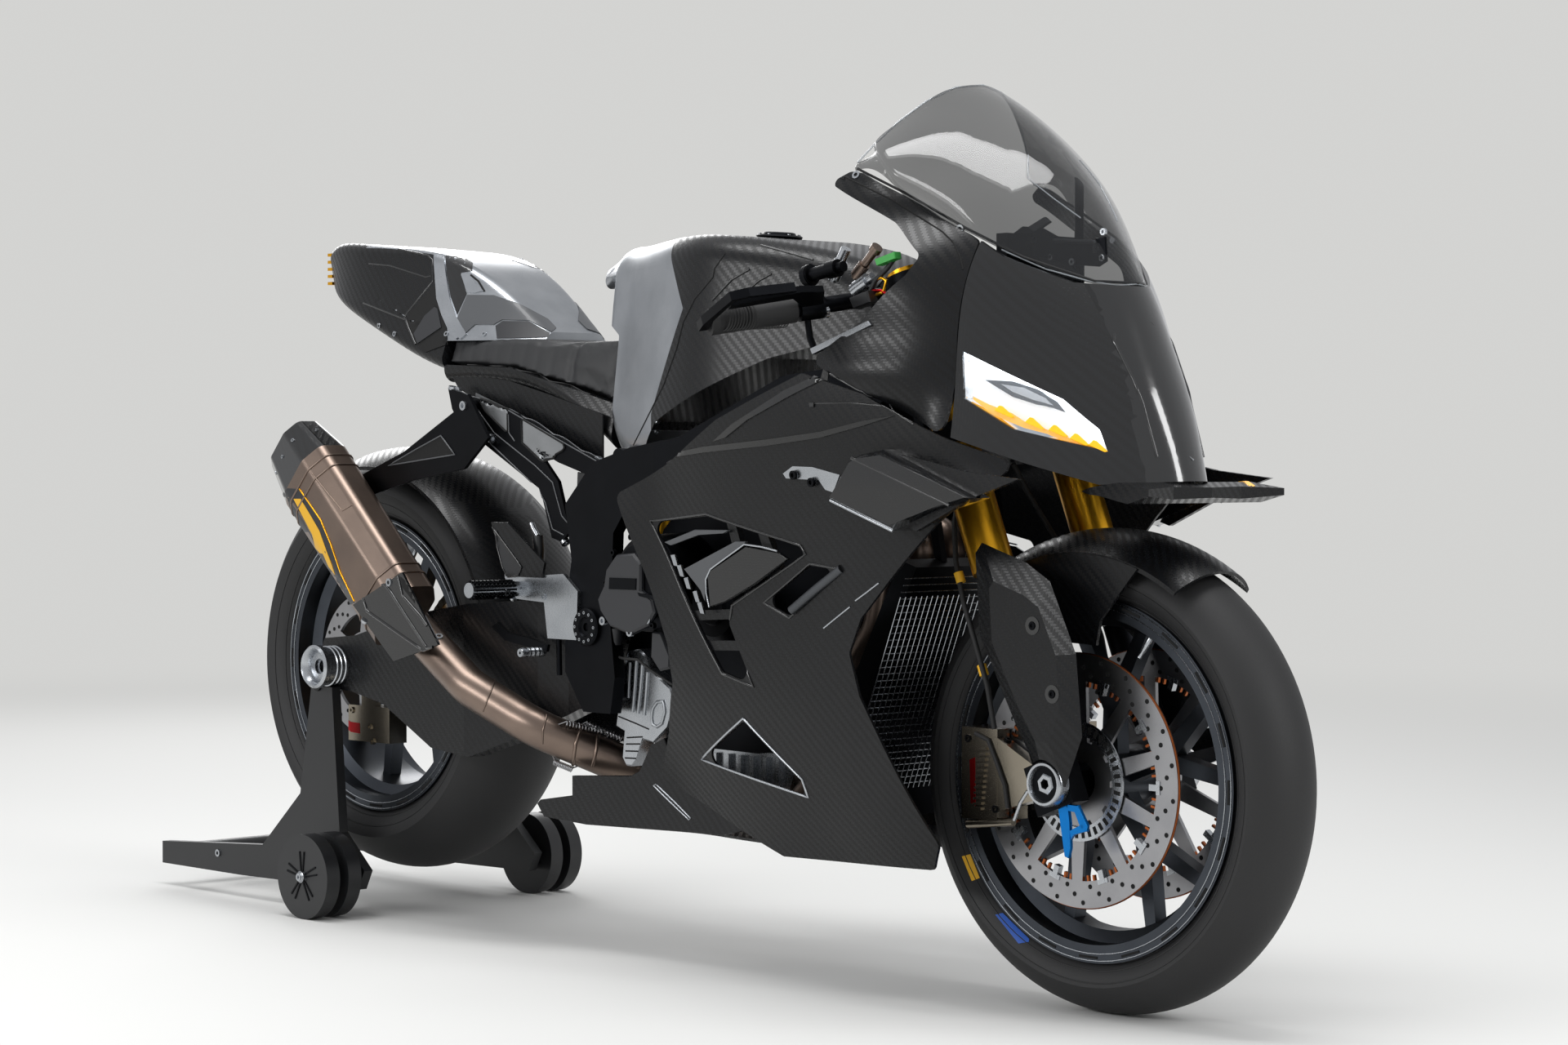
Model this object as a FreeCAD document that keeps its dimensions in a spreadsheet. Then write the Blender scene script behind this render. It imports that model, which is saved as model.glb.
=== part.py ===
"""Sport bike held level by a paddock stand under its swingarm.

Lengths are millimetres. +X points forward, +Y to the rider's left, +Z up, and
the origin lies on the floor below the middle of the machine. Pieces that turn
with the handlebars are drawn in the frame of the steering axis, where +Z runs
up that axis and +X points forward of it, and are placed together at the end.
"""

import FreeCAD, Part
import Sketcher
import math
import os
from FreeCAD import Placement, Rotation, Vector

# Driving dimensions

SIZES = {
    # stance
    "body_half_width": 300,
    "rear_axle_setback": 650,
    "axle_spread": 1454.6,
    "front_axle_height": 300,
    "rear_axle_height": 383,
    # running clearances
    "seat_gap": 0.3,
    "running_gap": 5,
    "overrun": 60,
    "panel_wall": 4,
    "plate_wall": 6,
    # front wheel
    "front_tyre_radius": 300,
    "front_tyre_half": 61,
    "front_rim_half": 51.5,
    "front_hub_half": 42,
    "bead_radius": 216,
    "flange_height": 15,
    "flange_width": 6,
    "rim_wall": 8,
    "tyre_wall": 9,
    "hub_radius": 34,
    "spoke_depth": 22,
    "axle_radius": 12.5,
    "axle_bore": 10,
    "bearing_gap": 0.5,
    # rear wheel
    "rear_tyre_radius": 326,
    "rear_tyre_half": 100,
    "rear_rim_half": 83,
    "rear_hub_half": 62,
    # brake discs
    "front_disc_radius": 160,
    "front_disc_band": 34,
    "front_disc_offset": 64.5,
    "disc_thickness": 5.5,
    "rear_disc_radius": 110,
    "rear_disc_band": 30,
    "rear_disc_offset": 99,
    # final drive
    "sprocket_radius": 104,
    "pinion_radius": 36,
    "chain_gap": 2,
    "chain_height": 14,
    "chain_width": 16,
    "chain_offset": 112,
    "sprocket_thickness": 7,
    # steering
    "rake": 21.8,
    "axle_trail": 31,
    "fork_spread": 105,
    "fork_ahead": 24,
    "stanchion_radius": 22.5,
    "outer_tube_radius": 28,
    "outer_tube_foot": 285,
    "fork_top": 700,
    "clamp_thickness": 28,
    "clamp_reach": 135,
    "stem_radius": 14,
    "head_radius": 32,
    "fork_foot_half": 32,
    "fork_foot_width": 30,
    "axle_nut_radius": 26,
    "axle_half": 133,
    "hose_radius": 3.5,
    # handlebars
    "bar_radius": 11,
    "grip_radius": 17,
    "grip_length": 118,
    "bar_length": 272,
    "bar_sweep": 25,
    "bar_ring_height": 26,
    "perch_width": 34,
    "lever_reach": 62,
    "caliper_angle": 158,
    "caliper_height": 62,
    "caliper_width": 58,
    "caliper_length": 118,
    "cover_offset": 139,
    # swingarm and rear axle
    "arm_inner": 120,
    "arm_outer": 158,
    "rear_axle_half": 183,
    # frame and engine
    "frame_inner": 141,
    "frame_outer": 163,
    "engine_half": 100,
    "cover_reach": 192,
    "subframe_inner": 135.6,
    "peg_length": 96,
    "cover_radius": 70,
    # exhaust
    "header_radius": 20,
    "link_radius": 28,
    "muffler_width": 86,
    "muffler_height": 130,
    "muffler_inner": 163.6,
    # stand
    "stand_wheel_radius": 65,
    "stand_wheel_width": 24,
    "stand_wheel_gap": 16,
    "stand_wheel_offset": 220,
    "stand_tube": 16,
    "stand_arm_inner": 160,
    "spool_radius": 9,
}


class Size(float):
    """A length that remembers the sheet formula it was worked out from."""

    def __new__(cls, value, text):
        made = super().__new__(cls, value)
        made.text = text
        return made

    def __add__(self, other):
        return Size(float(self) + float(other), f"({formula(self)} + {formula(other)})")

    def __radd__(self, other):
        return Size(float(other) + float(self), f"({formula(other)} + {formula(self)})")

    def __sub__(self, other):
        return Size(float(self) - float(other), f"({formula(self)} - {formula(other)})")

    def __rsub__(self, other):
        return Size(float(other) - float(self), f"({formula(other)} - {formula(self)})")

    def __mul__(self, other):
        return Size(float(self) * float(other), f"({formula(self)} * {formula(other)})")

    __rmul__ = __mul__

    def __truediv__(self, other):
        return Size(float(self) / float(other), f"({formula(self)} / {formula(other)})")

    def __neg__(self):
        return Size(-float(self), f"(-1 * {formula(self)})")


def formula(value):
    """Sheet formula of a length, or the plain number when it has none."""
    return value.text if isinstance(value, Size) else repr(float(value))


class Sheet:
    """The sizes, read by name: sizes.rake is the cell whose alias is rake."""

    def __init__(self, document, table):
        self.cells = document.addObject("Spreadsheet::Sheet", "Sizes")
        for row, (alias, value) in enumerate(table.items(), start=1):
            self.cells.set(f"A{row}", alias)
            self.cells.set(f"B{row}", str(value))
            self.cells.setAlias(f"B{row}", alias)
        document.recompute()

    def __getattr__(self, alias):
        return Size(self.cells.get(alias), f"Sizes.{alias}")


doc = FreeCAD.newDocument("SportBike")
sizes = Sheet(doc, SIZES)
NODES = {}

FORWARD = Vector(1, 0, 0)
LEFT = Vector(0, 1, 0)
UP = Vector(0, 0, 1)


# Helpers that draw and bind

def bind(obj, **values):
    """Set properties of an object and tie those that are sizes to the sheet."""
    for name, value in values.items():
        setattr(obj, name, value if isinstance(value, (int, bool)) else float(value))
        if isinstance(value, Size):
            obj.setExpression(name, value.text)
    return obj


def place(obj, x=0, y=0, z=0, axis=UP, angle=0):
    """Place an object, its base and its turn tied to the sheet."""
    obj.Placement = Placement(Vector(x, y, z), Rotation(axis, float(angle)))
    for name, value in (("Base.x", x), ("Base.y", y), ("Base.z", z), ("Rotation.Angle", angle)):
        if isinstance(value, Size):
            obj.setExpression("Placement." + name, value.text)
    return obj


def new_body(name):
    """An empty body."""
    return doc.addObject("PartDesign::Body", name)


def origin_plane(body, role):
    """One of the body's own origin planes."""
    return [item for item in body.Origin.OriginFeatures if item.Role == role][0]


def arc_through(start, end, radius):
    """Arc from start to end; a positive radius turns anticlockwise."""
    chord = end - start
    middle = (start + end) * 0.5
    half = chord.Length * 0.5
    depth = math.sqrt(max(radius * radius - half * half, 0))
    side = Vector(-chord.y, chord.x, 0).normalize()
    centre = middle + side * math.copysign(depth, radius)
    first, last = (start, end) if radius > 0 else (end, start)
    angles = [math.atan2(point.y - centre.y, point.x - centre.x) for point in (first, last)]
    return Part.ArcOfCircle(Part.Circle(centre, Vector(0, 0, 1), abs(radius)), *angles)


def sketch(body, name, role, loops, circles=()):
    """Sketch of closed loops; a corner is (u, v), or (u, v, radius) after an arc."""
    drawing = body.newObject("Sketcher::SketchObject", name)
    drawing.AttachmentSupport = [(origin_plane(body, role), "")]
    drawing.MapMode = "FlatFace"
    rules = []
    ties = []

    def tie(rule, value):
        rules.append(rule)
        if isinstance(value, Size):
            ties.append((len(rules) - 1, value.text))

    def hold(geometry, point, u, v):
        for axis, kind, value in ((-2, "DistanceX", u), (-1, "DistanceY", v)):
            if float(value) == 0:
                tie(Sketcher.Constraint("PointOnObject", geometry, point, axis), value)
            else:
                rule = Sketcher.Constraint(kind, -1, 1, geometry, point, float(value))
                tie(rule, value)

    for loop in loops:
        first = drawing.GeometryCount
        ends = []
        for corner, after in zip(loop, loop[1:] + loop[:1]):
            start = Vector(corner[0], corner[1], 0)
            end = Vector(after[0], after[1], 0)
            if len(after) == 3:
                drawing.addGeometry(arc_through(start, end, float(after[2])), False)
                ends.append((1, 2) if float(after[2]) > 0 else (2, 1))
            else:
                drawing.addGeometry(Part.LineSegment(start, end), False)
                ends.append((1, 2))
        for index, corner in enumerate(loop):
            following = (index + 1) % len(loop)
            tie(Sketcher.Constraint("Coincident", first + index, ends[index][1],
                                    first + following, ends[following][0]), 0)
            hold(first + index, ends[index][0], corner[0], corner[1])
            if len(loop[following]) == 3:
                radius = loop[following][2]
                radius = radius if float(radius) > 0 else -radius
                tie(Sketcher.Constraint("Radius", first + index, float(radius)), radius)
    for u, v, radius in circles:
        at = drawing.addGeometry(Part.Circle(Vector(u, v, 0), Vector(0, 0, 1), float(radius)), False)
        tie(Sketcher.Constraint("Radius", at, float(radius)), radius)
        hold(at, 3, u, v)
    drawing.addConstraint(rules)
    for index, text in ties:
        drawing.setExpression(f"Constraints[{index}]", text)
    return drawing


def pad(body, name, role, loops, length, circles=(), middle=False):
    """Pad a sketch by a length, to both sides when middle is set."""
    feature = body.newObject("PartDesign::Pad", name)
    feature.Profile = sketch(body, name + "_outline", role, loops, circles)
    bind(feature, Length=length)
    if middle:
        feature.SideType = "Symmetric"
    return feature


def pocket(body, name, role, loops, circles=()):
    """Cut a sketch right through the body, to both sides of its plane."""
    feature = body.newObject("PartDesign::Pocket", name)
    feature.Profile = sketch(body, name + "_outline", role, loops, circles)
    feature.SideType = "Symmetric"
    bind(feature, Length=sizes.body_half_width * 2)
    return feature


def revolve(body, name, loop, role="YZ_Plane", axis="H_Axis"):
    """Turn a closed loop about an axis of its sketch."""
    feature = body.newObject("PartDesign::Revolution", name)
    feature.Profile = sketch(body, name + "_section", role, [loop])
    feature.ReferenceAxis = (feature.Profile[0], [axis])
    feature.Angle = 360
    return feature


def polar(body, name, feature, count):
    """Repeat a feature about the normal of its sketch."""
    pattern = body.newObject("PartDesign::PolarPattern", name)
    pattern.Originals = [feature]
    pattern.Axis = (feature.Profile[0], ["N_Axis"])
    pattern.Angle = 360
    pattern.Occurrences = count
    body.Tip = pattern
    return pattern


def cylinder(name, radius, length, y=0, x=0, z=0):
    """Round bar along Y, centred on y."""
    bar = bind(doc.addObject("Part::Cylinder", name), Radius=radius, Height=length)
    return place(bar, x, y + length * 0.5, z, FORWARD, 90)


def box(name, width, depth, height, x, y, z):
    """Block centred on x, y, z."""
    block = bind(doc.addObject("Part::Box", name), Length=width, Width=depth, Height=height)
    return place(block, x - width * 0.5, y - depth * 0.5, z - height * 0.5)


def fuse(name, *parts):
    """Union of objects."""
    joined = doc.addObject("Part::MultiFuse", name)
    joined.Shapes = list(parts)
    return joined


def cut(name, base, tool):
    """One object less another."""
    left_over = doc.addObject("Part::Cut", name)
    left_over.Base = base
    left_over.Tool = tool
    return left_over


def common(name, first, second):
    """What two objects share."""
    shared = doc.addObject("Part::Common", name)
    shared.Base = first
    shared.Tool = second
    return shared


def mirror(obj):
    """The same object on the other side of the machine."""
    other = doc.addObject("Part::Mirroring", obj.Name + "_left")
    other.Source = obj
    other.Normal = LEFT
    return other


def gather(name, *parts):
    """Pieces of one kind that don't touch."""
    group = doc.addObject("Part::Compound", name)
    group.Links = list(parts)
    return group


def feature(name, shape):
    """A shape that is worked out here from the sheet's sizes."""
    obj = doc.addObject("Part::Feature", name)
    obj.Shape = shape
    return obj


def node(name, obj):
    """Register an object as a sub-part."""
    obj.Label = name
    NODES[name] = obj
    return obj


def pair(name, obj):
    """A sub-part with one piece on each side."""
    return node(name, gather(name + "_pair", obj, mirror(obj)))


# Outlines and places as shares of the body's length, height and half width

BODY_LENGTH_SHARE = 1.1
BODY_HEIGHT_SHARE = 1.7142857
UPPER_CLAMP_SHARE = 0.91
LOWER_CLAMP_SHARE = 0.645714
PIVOT_SHARES = (0.380, 0.385833)
PINION_SHARES = (0.421875, 0.379167)

body_length = sizes.axle_spread * BODY_LENGTH_SHARE
body_height = sizes.fork_top * BODY_HEIGHT_SHARE
upper_clamp_level = sizes.fork_top * UPPER_CLAMP_SHARE
lower_clamp_level = sizes.fork_top * LOWER_CLAMP_SHARE


def ahead(share):
    """Distance along the machine, from the rear axle, as a share of its length."""
    return body_length * share - sizes.rear_axle_setback


def level(share):
    """Height above the floor as a share of the machine's height."""
    return body_height * share


def aside(share):
    """Distance from the middle as a share of the half width."""
    return sizes.body_half_width * share


def side_view(shares):
    """Outline seen from the side, from shares of length and height."""
    return [(ahead(across), level(up)) for across, up in shares]


def plan_view(shares):
    """Outline seen from above, from shares of length and half width."""
    return [(ahead(along), aside(out)) for along, out in shares]


def arm_point(along, out):
    """Point by shares of the line from the rear axle to the swingarm's pivot."""
    run = ahead(PIVOT_SHARES[0]) + sizes.rear_axle_setback
    rise = level(PIVOT_SHARES[1]) - sizes.rear_axle_height
    return (run * along - rise * out - sizes.rear_axle_setback,
            sizes.rear_axle_height + rise * along + run * out)


def arm_view(shares):
    """Outline seen from the side, along the swingarm."""
    return [arm_point(along, out) for along, out in shares]


def stand_point(along, up):
    """Point by shares of the rear axle's height, from below the axle."""
    return (sizes.rear_axle_height * along - sizes.rear_axle_setback,
            sizes.rear_axle_height * up)


def rounded(points, radius):
    """Closed wire through points, its corners rounded as far as its sides allow."""
    count = len(points)
    edges = []
    arcs = []
    for index in range(count):
        before = points[index - 1]
        corner = points[index]
        after = points[(index + 1) % count]
        back = (before - corner)
        on = (after - corner)
        turn = back.getAngle(on)
        reach = min(radius / math.tan(turn * 0.5), back.Length * 0.45, on.Length * 0.45)
        if math.pi - turn < 0.06:
            arcs.append((corner, None, corner))
            continue
        start = corner + back.normalize() * reach
        end = corner + on.normalize() * reach
        bisector = (back + on).normalize()
        fitted = reach * math.tan(turn * 0.5)
        centre = corner + bisector * (reach / math.cos(turn * 0.5))
        arcs.append((start, centre - bisector * fitted, end))
    for index in range(count):
        start, middle, end = arcs[index]
        if middle is not None:
            edges.append(Part.Arc(start, middle, end).toShape())
        following = arcs[(index + 1) % count][0]
        edges.append(Part.LineSegment(end, following).toShape())
    return Part.Wire(edges)


def side_prism(shares, radius=0, windows=()):
    """Prism right across the machine over a side outline, less its windows."""
    width = float(aside(4))
    wires = []
    for outline in (shares, *windows):
        points = [Vector(x, width * -0.5, z) for x, z in side_view(outline)]
        wires.append(rounded(points, float(radius)) if radius else
                     Part.makePolygon(points + points[:1]))
    solid = Part.Face(wires[0]).extrude(Vector(0, width, 0))
    for wire in wires[1:]:
        solid = solid.cut(Part.Face(wire).extrude(Vector(0, width, 0)))
    return solid


def right_side(shape):
    """The part of a shape that lies on the right of the middle plane."""
    length = float(body_length) * 2
    width = float(aside(2))
    block = Part.makeBox(length, width, length, Vector(-length * 0.5, -width, 0))
    return shape.common(block)


def skin(table, wall):
    """Sheet with a wall, whose distance from the middle is given over a grid."""
    lengths, rows = table
    grid = []
    for along in lengths:
        at = lengths.index(along)
        grid.append([Vector(ahead(along), -aside(row[1][at]), level(row[0])) for row in rows])
    surface = Part.BSplineSurface()
    surface.interpolate(grid)
    return surface.toShape().extrude(Vector(0, float(wall), 0))


def room_inside(table):
    """Everything on the right between the middle and the inner face of a skin."""
    room = skin(table, aside(1))
    room.translate(Vector(0, float(sizes.panel_wall + sizes.seat_gap), 0))
    return room


def room_outside(table):
    """Everything on the right beyond the outer face of a skin."""
    room = skin(table, -aside(1))
    room.translate(Vector(0, -float(sizes.seat_gap), 0))
    return room


def section(x, low, high, half_low, half_high, radius):
    """Closed wire across the machine: a rounded box that may narrow upwards."""
    corners = [Vector(x, -half_low, low), Vector(x, -half_high, high),
               Vector(x, half_high, high), Vector(x, half_low, low)]
    return rounded(corners, float(radius))


def hull(table, radius):
    """Solid through rounded sections: along, low, high, half width low and high."""
    wires = []
    for along, low, high, half_low, half_high in table:
        wires.append(section(ahead(along), level(low), level(high), aside(half_low),
                             aside(half_high), radius))
    return Part.makeLoft(wires, True, False)


# Wheels

def tyre(name, radius, half, rim_half):
    """Tyre whose beads seat inside the flanges of its rim."""
    seat = sizes.bead_radius + sizes.seat_gap
    bead = rim_half - sizes.flange_width - sizes.seat_gap
    lip = sizes.bead_radius + sizes.flange_height + sizes.seat_gap * 4
    toe = bead - sizes.tyre_wall * 1.2
    shoulder = lip + (radius - lip) * 0.42
    crown = radius - shoulder
    crown_arc = (half * half + crown * crown) / (crown * 2)
    inner_half = half - sizes.tyre_wall
    inner_crown = crown - sizes.tyre_wall
    inner_arc = (inner_half * inner_half + inner_crown * inner_crown) / (inner_crown * 2)
    wall_arc = (shoulder - lip) * 1.4
    body = new_body(name)
    revolve(body, name + "_tread", [
        (-bead, seat), (-toe, seat), (-toe, lip), (-inner_half, shoulder, -wall_arc),
        (inner_half, shoulder, -inner_arc), (toe, lip, -wall_arc), (toe, seat), (bead, seat),
        (bead, lip), (half, shoulder, wall_arc), (-half, shoulder, crown_arc),
        (-bead, lip, wall_arc)])
    return body


def rim(name, rim_half, hub_half, spoke_count):
    """Forged wheel: hub, forked spokes and a drop-centre rim."""
    seat = sizes.bead_radius
    flange = seat + sizes.flange_height
    wall = sizes.rim_wall
    well = seat - sizes.flange_height
    bead = rim_half - sizes.flange_width
    shelf = bead - sizes.flange_height * 1.4
    drop = shelf - sizes.flange_height * 0.6
    bore = sizes.axle_radius + sizes.bearing_gap
    inner = well - wall
    body = new_body(name)
    revolve(body, name + "_hub", [
        (-hub_half, bore), (-hub_half, sizes.hub_radius), (hub_half, sizes.hub_radius),
        (hub_half, bore)])
    root = sizes.hub_radius - sizes.rim_wall * 0.5
    fork = sizes.bead_radius * 0.40
    stem = sizes.spoke_depth * 0.62
    tip = inner + wall * 0.5
    spoke = pad(body, name + "_spoke", "XZ_Plane", [[
        (-stem, root), (-stem * 0.8, fork), (-tip * 0.34, tip), (-tip * 0.245, tip),
        (0, fork + stem * 2), (tip * 0.245, tip), (tip * 0.34, tip), (stem * 0.8, fork),
        (stem, root)]],
        sizes.spoke_depth, middle=True)
    polar(body, name + "_spokes", spoke, spoke_count)
    revolve(body, name + "_rim", [
        (-rim_half, flange), (-bead, flange), (-bead, seat), (-shelf, seat), (-drop, well),
        (drop, well), (shelf, seat), (bead, seat), (bead, flange), (rim_half, flange),
        (rim_half, seat - wall), (shelf, seat - wall), (drop, inner), (-drop, inner),
        (-shelf, seat - wall), (-rim_half, seat - wall)])
    return body


def disc(name, radius, band, offset, thickness, hub_half, arms):
    """Brake disc on the right: slotted band, bobbins and a carrier with arms."""
    body = new_body(name)
    inner = sizes.axle_radius * 2.1
    hub = sizes.hub_radius * 1.5
    revolve(body, name + "_hub", [
        (-offset - thickness, inner), (-offset - thickness, hub), (-offset, hub), (-offset, inner)])
    throw = radius - band
    arm = pad(body, name + "_arm", "XZ_Plane", [[
        (-thickness * 2, hub - thickness), (-thickness, throw + thickness),
        (thickness * 2, throw + thickness), (thickness * 2.4, hub - thickness)]],
        offset + thickness)
    cutter = sketch(body, name + "_clear_section", "YZ_Plane", [[
        (-offset, 0), (-offset, radius), (0, radius), (0, 0)]])
    polar(body, name + "_arms", arm, arms)
    groove = body.newObject("PartDesign::Groove", name + "_clear")
    groove.Profile = cutter
    groove.ReferenceAxis = (cutter, ["H_Axis"])
    groove.Angle = 360
    revolve(body, name + "_band", [
        (-offset - thickness, throw), (-offset - thickness, radius), (-offset, radius),
        (-offset, throw)])
    seat = hub_half + sizes.seat_gap
    revolve(body, name + "_sleeve", [
        (-offset - thickness, inner), (-offset - thickness, hub - thickness),
        (-seat, hub - thickness * 2), (-seat, inner)])
    return body


front_x = sizes.axle_spread - sizes.rear_axle_setback
rear_x = -sizes.rear_axle_setback

front_rim = rim("front_rim", sizes.front_rim_half, sizes.front_hub_half, 5)
node("front_rim", place(front_rim, front_x, 0, sizes.front_axle_height))
front_tyre = tyre("front_tyre", sizes.front_tyre_radius, sizes.front_tyre_half,
                  sizes.front_rim_half)
node("front_tyre", place(front_tyre, front_x, 0, sizes.front_axle_height))
front_disc = disc("front_disc", sizes.front_disc_radius, sizes.front_disc_band,
                  sizes.front_disc_offset, sizes.disc_thickness, sizes.front_hub_half, 10)
pair("front_discs", place(front_disc, front_x, 0, sizes.front_axle_height))

rear_rim = rim("rear_rim", sizes.rear_rim_half, sizes.rear_hub_half, 5)
node("rear_rim", place(rear_rim, rear_x, 0, sizes.rear_axle_height))
rear_tyre = tyre("rear_tyre", sizes.rear_tyre_radius, sizes.rear_tyre_half, sizes.rear_rim_half)
node("rear_tyre", place(rear_tyre, rear_x, 0, sizes.rear_axle_height))
rear_disc = disc("rear_disc", sizes.rear_disc_radius, sizes.rear_disc_band,
                 sizes.rear_disc_offset, sizes.disc_thickness, sizes.rear_hub_half, 6)
node("rear_disc", place(rear_disc, rear_x, 0, sizes.rear_axle_height))


def sprocket():
    """Rear sprocket on the left, with a tooth for each link of chain."""
    body = new_body("rear_sprocket")
    teeth = 40
    tip = sizes.sprocket_radius
    root = tip - sizes.chain_height * 0.5
    pitch = root * (math.pi / teeth)
    start = -(sizes.chain_offset - sizes.sprocket_thickness * 0.5)
    hub = sizes.hub_radius * 1.6
    revolve(body, "sprocket_plate", [
        (-start, hub), (-start, root), (-start + sizes.sprocket_thickness, root),
        (-start + sizes.sprocket_thickness, hub)])
    tooth = pad(body, "sprocket_tooth", "XZ_Plane", [[
        (-pitch * 0.8, root - pitch * 0.5), (-pitch * 0.25, tip), (pitch * 0.25, tip),
        (pitch * 0.8, root - pitch * 0.5)]], sizes.sprocket_thickness)
    tooth.Profile[0].AttachmentOffset = Placement(
        Vector(0, 0, -sizes.chain_offset - sizes.sprocket_thickness * 0.5), Rotation())
    tooth.Profile[0].setExpression("AttachmentOffset.Base.z", formula(
        -sizes.chain_offset - sizes.sprocket_thickness * 0.5))
    polar(body, "sprocket_teeth", tooth, teeth)
    revolve(body, "sprocket_hub", [
        (sizes.rear_hub_half + sizes.seat_gap, sizes.hub_radius * 0.9),
        (sizes.rear_hub_half + sizes.seat_gap, hub + sizes.rim_wall),
        (-start + sizes.sprocket_thickness, hub + sizes.rim_wall),
        (-start + sizes.sprocket_thickness, sizes.hub_radius * 0.9)])
    return body


node("rear_sprocket", place(sprocket(), rear_x, 0, sizes.rear_axle_height))


# Final drive chain, a belt of fixed length round both sprockets

def chain():
    """Closed loop of chain seen from the side, with straight runs and round ends."""
    rear = Vector(rear_x, 0, sizes.rear_axle_height)
    front = Vector(ahead(PINION_SHARES[0]), 0, level(PINION_SHARES[1]))
    width = float(sizes.chain_width)
    start = float(sizes.chain_offset) - width * 0.5

    def belt(rear_radius, front_radius):
        line = front - rear
        tilt = math.atan2(line.z, line.x)
        lean = math.asin((rear_radius - front_radius) / line.Length)
        points = []
        for turn in (math.pi * 0.5 - lean, -(math.pi * 0.5 - lean)):
            direction = Vector(math.cos(tilt + turn), 0, math.sin(tilt + turn))
            points.append((rear + direction * rear_radius, front + direction * front_radius))
        (rear_top, front_top), (rear_low, front_low) = points
        nose = front + line.normalize() * front_radius
        tail = rear - line.normalize() * rear_radius
        return Part.Wire([
            Part.LineSegment(rear_top, front_top).toShape(),
            Part.Arc(front_top, nose, front_low).toShape(),
            Part.LineSegment(front_low, rear_low).toShape(),
            Part.Arc(rear_low, tail, rear_top).toShape()])

    gap = float(sizes.chain_gap)
    height = float(sizes.chain_height)
    rear_radius = float(sizes.sprocket_radius) + gap
    front_radius = float(sizes.pinion_radius + sizes.seat_gap)
    outer = Part.Face(belt(rear_radius + height, front_radius + height))
    inner = Part.Face(belt(rear_radius, front_radius))
    loop = outer.extrude(Vector(0, width, 0)).cut(inner.extrude(Vector(0, width, 0)))
    loop.translate(Vector(0, start, 0))
    return loop


node("chain", feature("chain_loop", chain()))
pinion = cylinder("pinion_disc", sizes.pinion_radius, sizes.sprocket_thickness,
                  sizes.chain_offset, ahead(PINION_SHARES[0]), level(PINION_SHARES[1]))

# Engine and its covers

ENGINE_SHARES = [(0.388, 0.350), (0.400, 0.268), (0.430, 0.252), (0.562, 0.250), (0.612, 0.262),
                 (0.616, 0.420), (0.672, 0.468), (0.688, 0.533), (0.662, 0.585), (0.580, 0.600),
                 (0.500, 0.570), (0.440, 0.505), (0.418, 0.450)]
COVER_SHARES = (0.4700, 0.4430)
STARTER_COVER_SHARES = (0.5500, 0.4200)


def engine():
    """Crankcase and cylinders as one block."""
    body = new_body("engine_block")
    pad(body, "engine_side", "XZ_Plane", [side_view(ENGINE_SHARES)], sizes.engine_half * 2,
        middle=True)
    return body


engine_block = engine()
drive_shaft = cylinder("drive_shaft", sizes.axle_radius, sizes.chain_offset - sizes.engine_half,
                       (sizes.chain_offset + sizes.engine_half) * 0.5,
                       ahead(PINION_SHARES[0]), level(PINION_SHARES[1]))
node("engine_block", fuse("engine_whole", engine_block, drive_shaft, pinion))


def engine_cover(name, shares, radius, reach):
    """Round cover with a stepped face, on the right."""
    body = new_body(name)
    start = sizes.engine_half + sizes.seat_gap
    revolve(body, name + "_face", [
        (-start, 0), (-start, radius), (-reach + radius * 0.25, radius * 0.96),
        (-reach + radius * 0.10, radius * 0.80), (-reach + radius * 0.10, radius * 0.52),
        (-reach, radius * 0.46), (-reach, 0)])
    return place(body, ahead(shares[0]), 0, level(shares[1]))


clutch = engine_cover("clutch_cover", COVER_SHARES, sizes.cover_radius, sizes.cover_reach)
starter = engine_cover("starter_cover", STARTER_COVER_SHARES, sizes.cover_radius * 0.75,
                       sizes.cover_reach * 0.9)
alternator = engine_cover("alternator_source", STARTER_COVER_SHARES, sizes.cover_radius,
                          sizes.cover_reach * 0.92)
node("engine_covers", gather("engine_cover_set", clutch, starter, mirror(alternator)))

# Oil pan below the crankcase

OIL_PAN_SHARES = [(0.440, 0.248), (0.585, 0.2465), (0.570, 0.205), (0.480, 0.205)]
OIL_PAN_RIB_STARTS = (0.478, 0.494, 0.510, 0.526, 0.542, 0.558)
OIL_PAN_RIB_SHARES = (0.209, 0.242, 0.004)


def oil_pan():
    """Ribbed sump."""
    body = new_body("oil_pan")
    pad(body, "oil_pan_side", "XZ_Plane", [side_view(OIL_PAN_SHARES)], sizes.engine_half * 1.1,
        middle=True)
    ribs = [side_view([(along, OIL_PAN_RIB_SHARES[0]), (along + OIL_PAN_RIB_SHARES[2],
                                                        OIL_PAN_RIB_SHARES[0]),
                       (along + OIL_PAN_RIB_SHARES[2], OIL_PAN_RIB_SHARES[1]),
                       (along, OIL_PAN_RIB_SHARES[1])]) for along in OIL_PAN_RIB_STARTS]
    pad(body, "oil_pan_ribs", "XZ_Plane", ribs, sizes.engine_half * 1.24, middle=True)
    return body


node("oil_pan", oil_pan())

# Radiator and oil cooler behind the front wheel

RADIATOR_SHARES = [(0.7680, 0.470), (0.6900, 0.275), (0.6710, 0.283), (0.7490, 0.478)]
OIL_COOLER_SHARES = [(0.6900, 0.2746), (0.7020, 0.190), (0.6840, 0.188), (0.6710, 0.2826)]
RADIATOR_STAY_SHARES = [(0.7495, 0.4783), (0.7580, 0.4748), (0.7320, 0.6562), (0.7220, 0.6543)]


def cooler(name, shares, half):
    """Flat heat exchanger across the machine."""
    body = new_body(name)
    pad(body, name + "_side", "XZ_Plane", [side_view(shares)], half * 2, middle=True)
    return body


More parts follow.
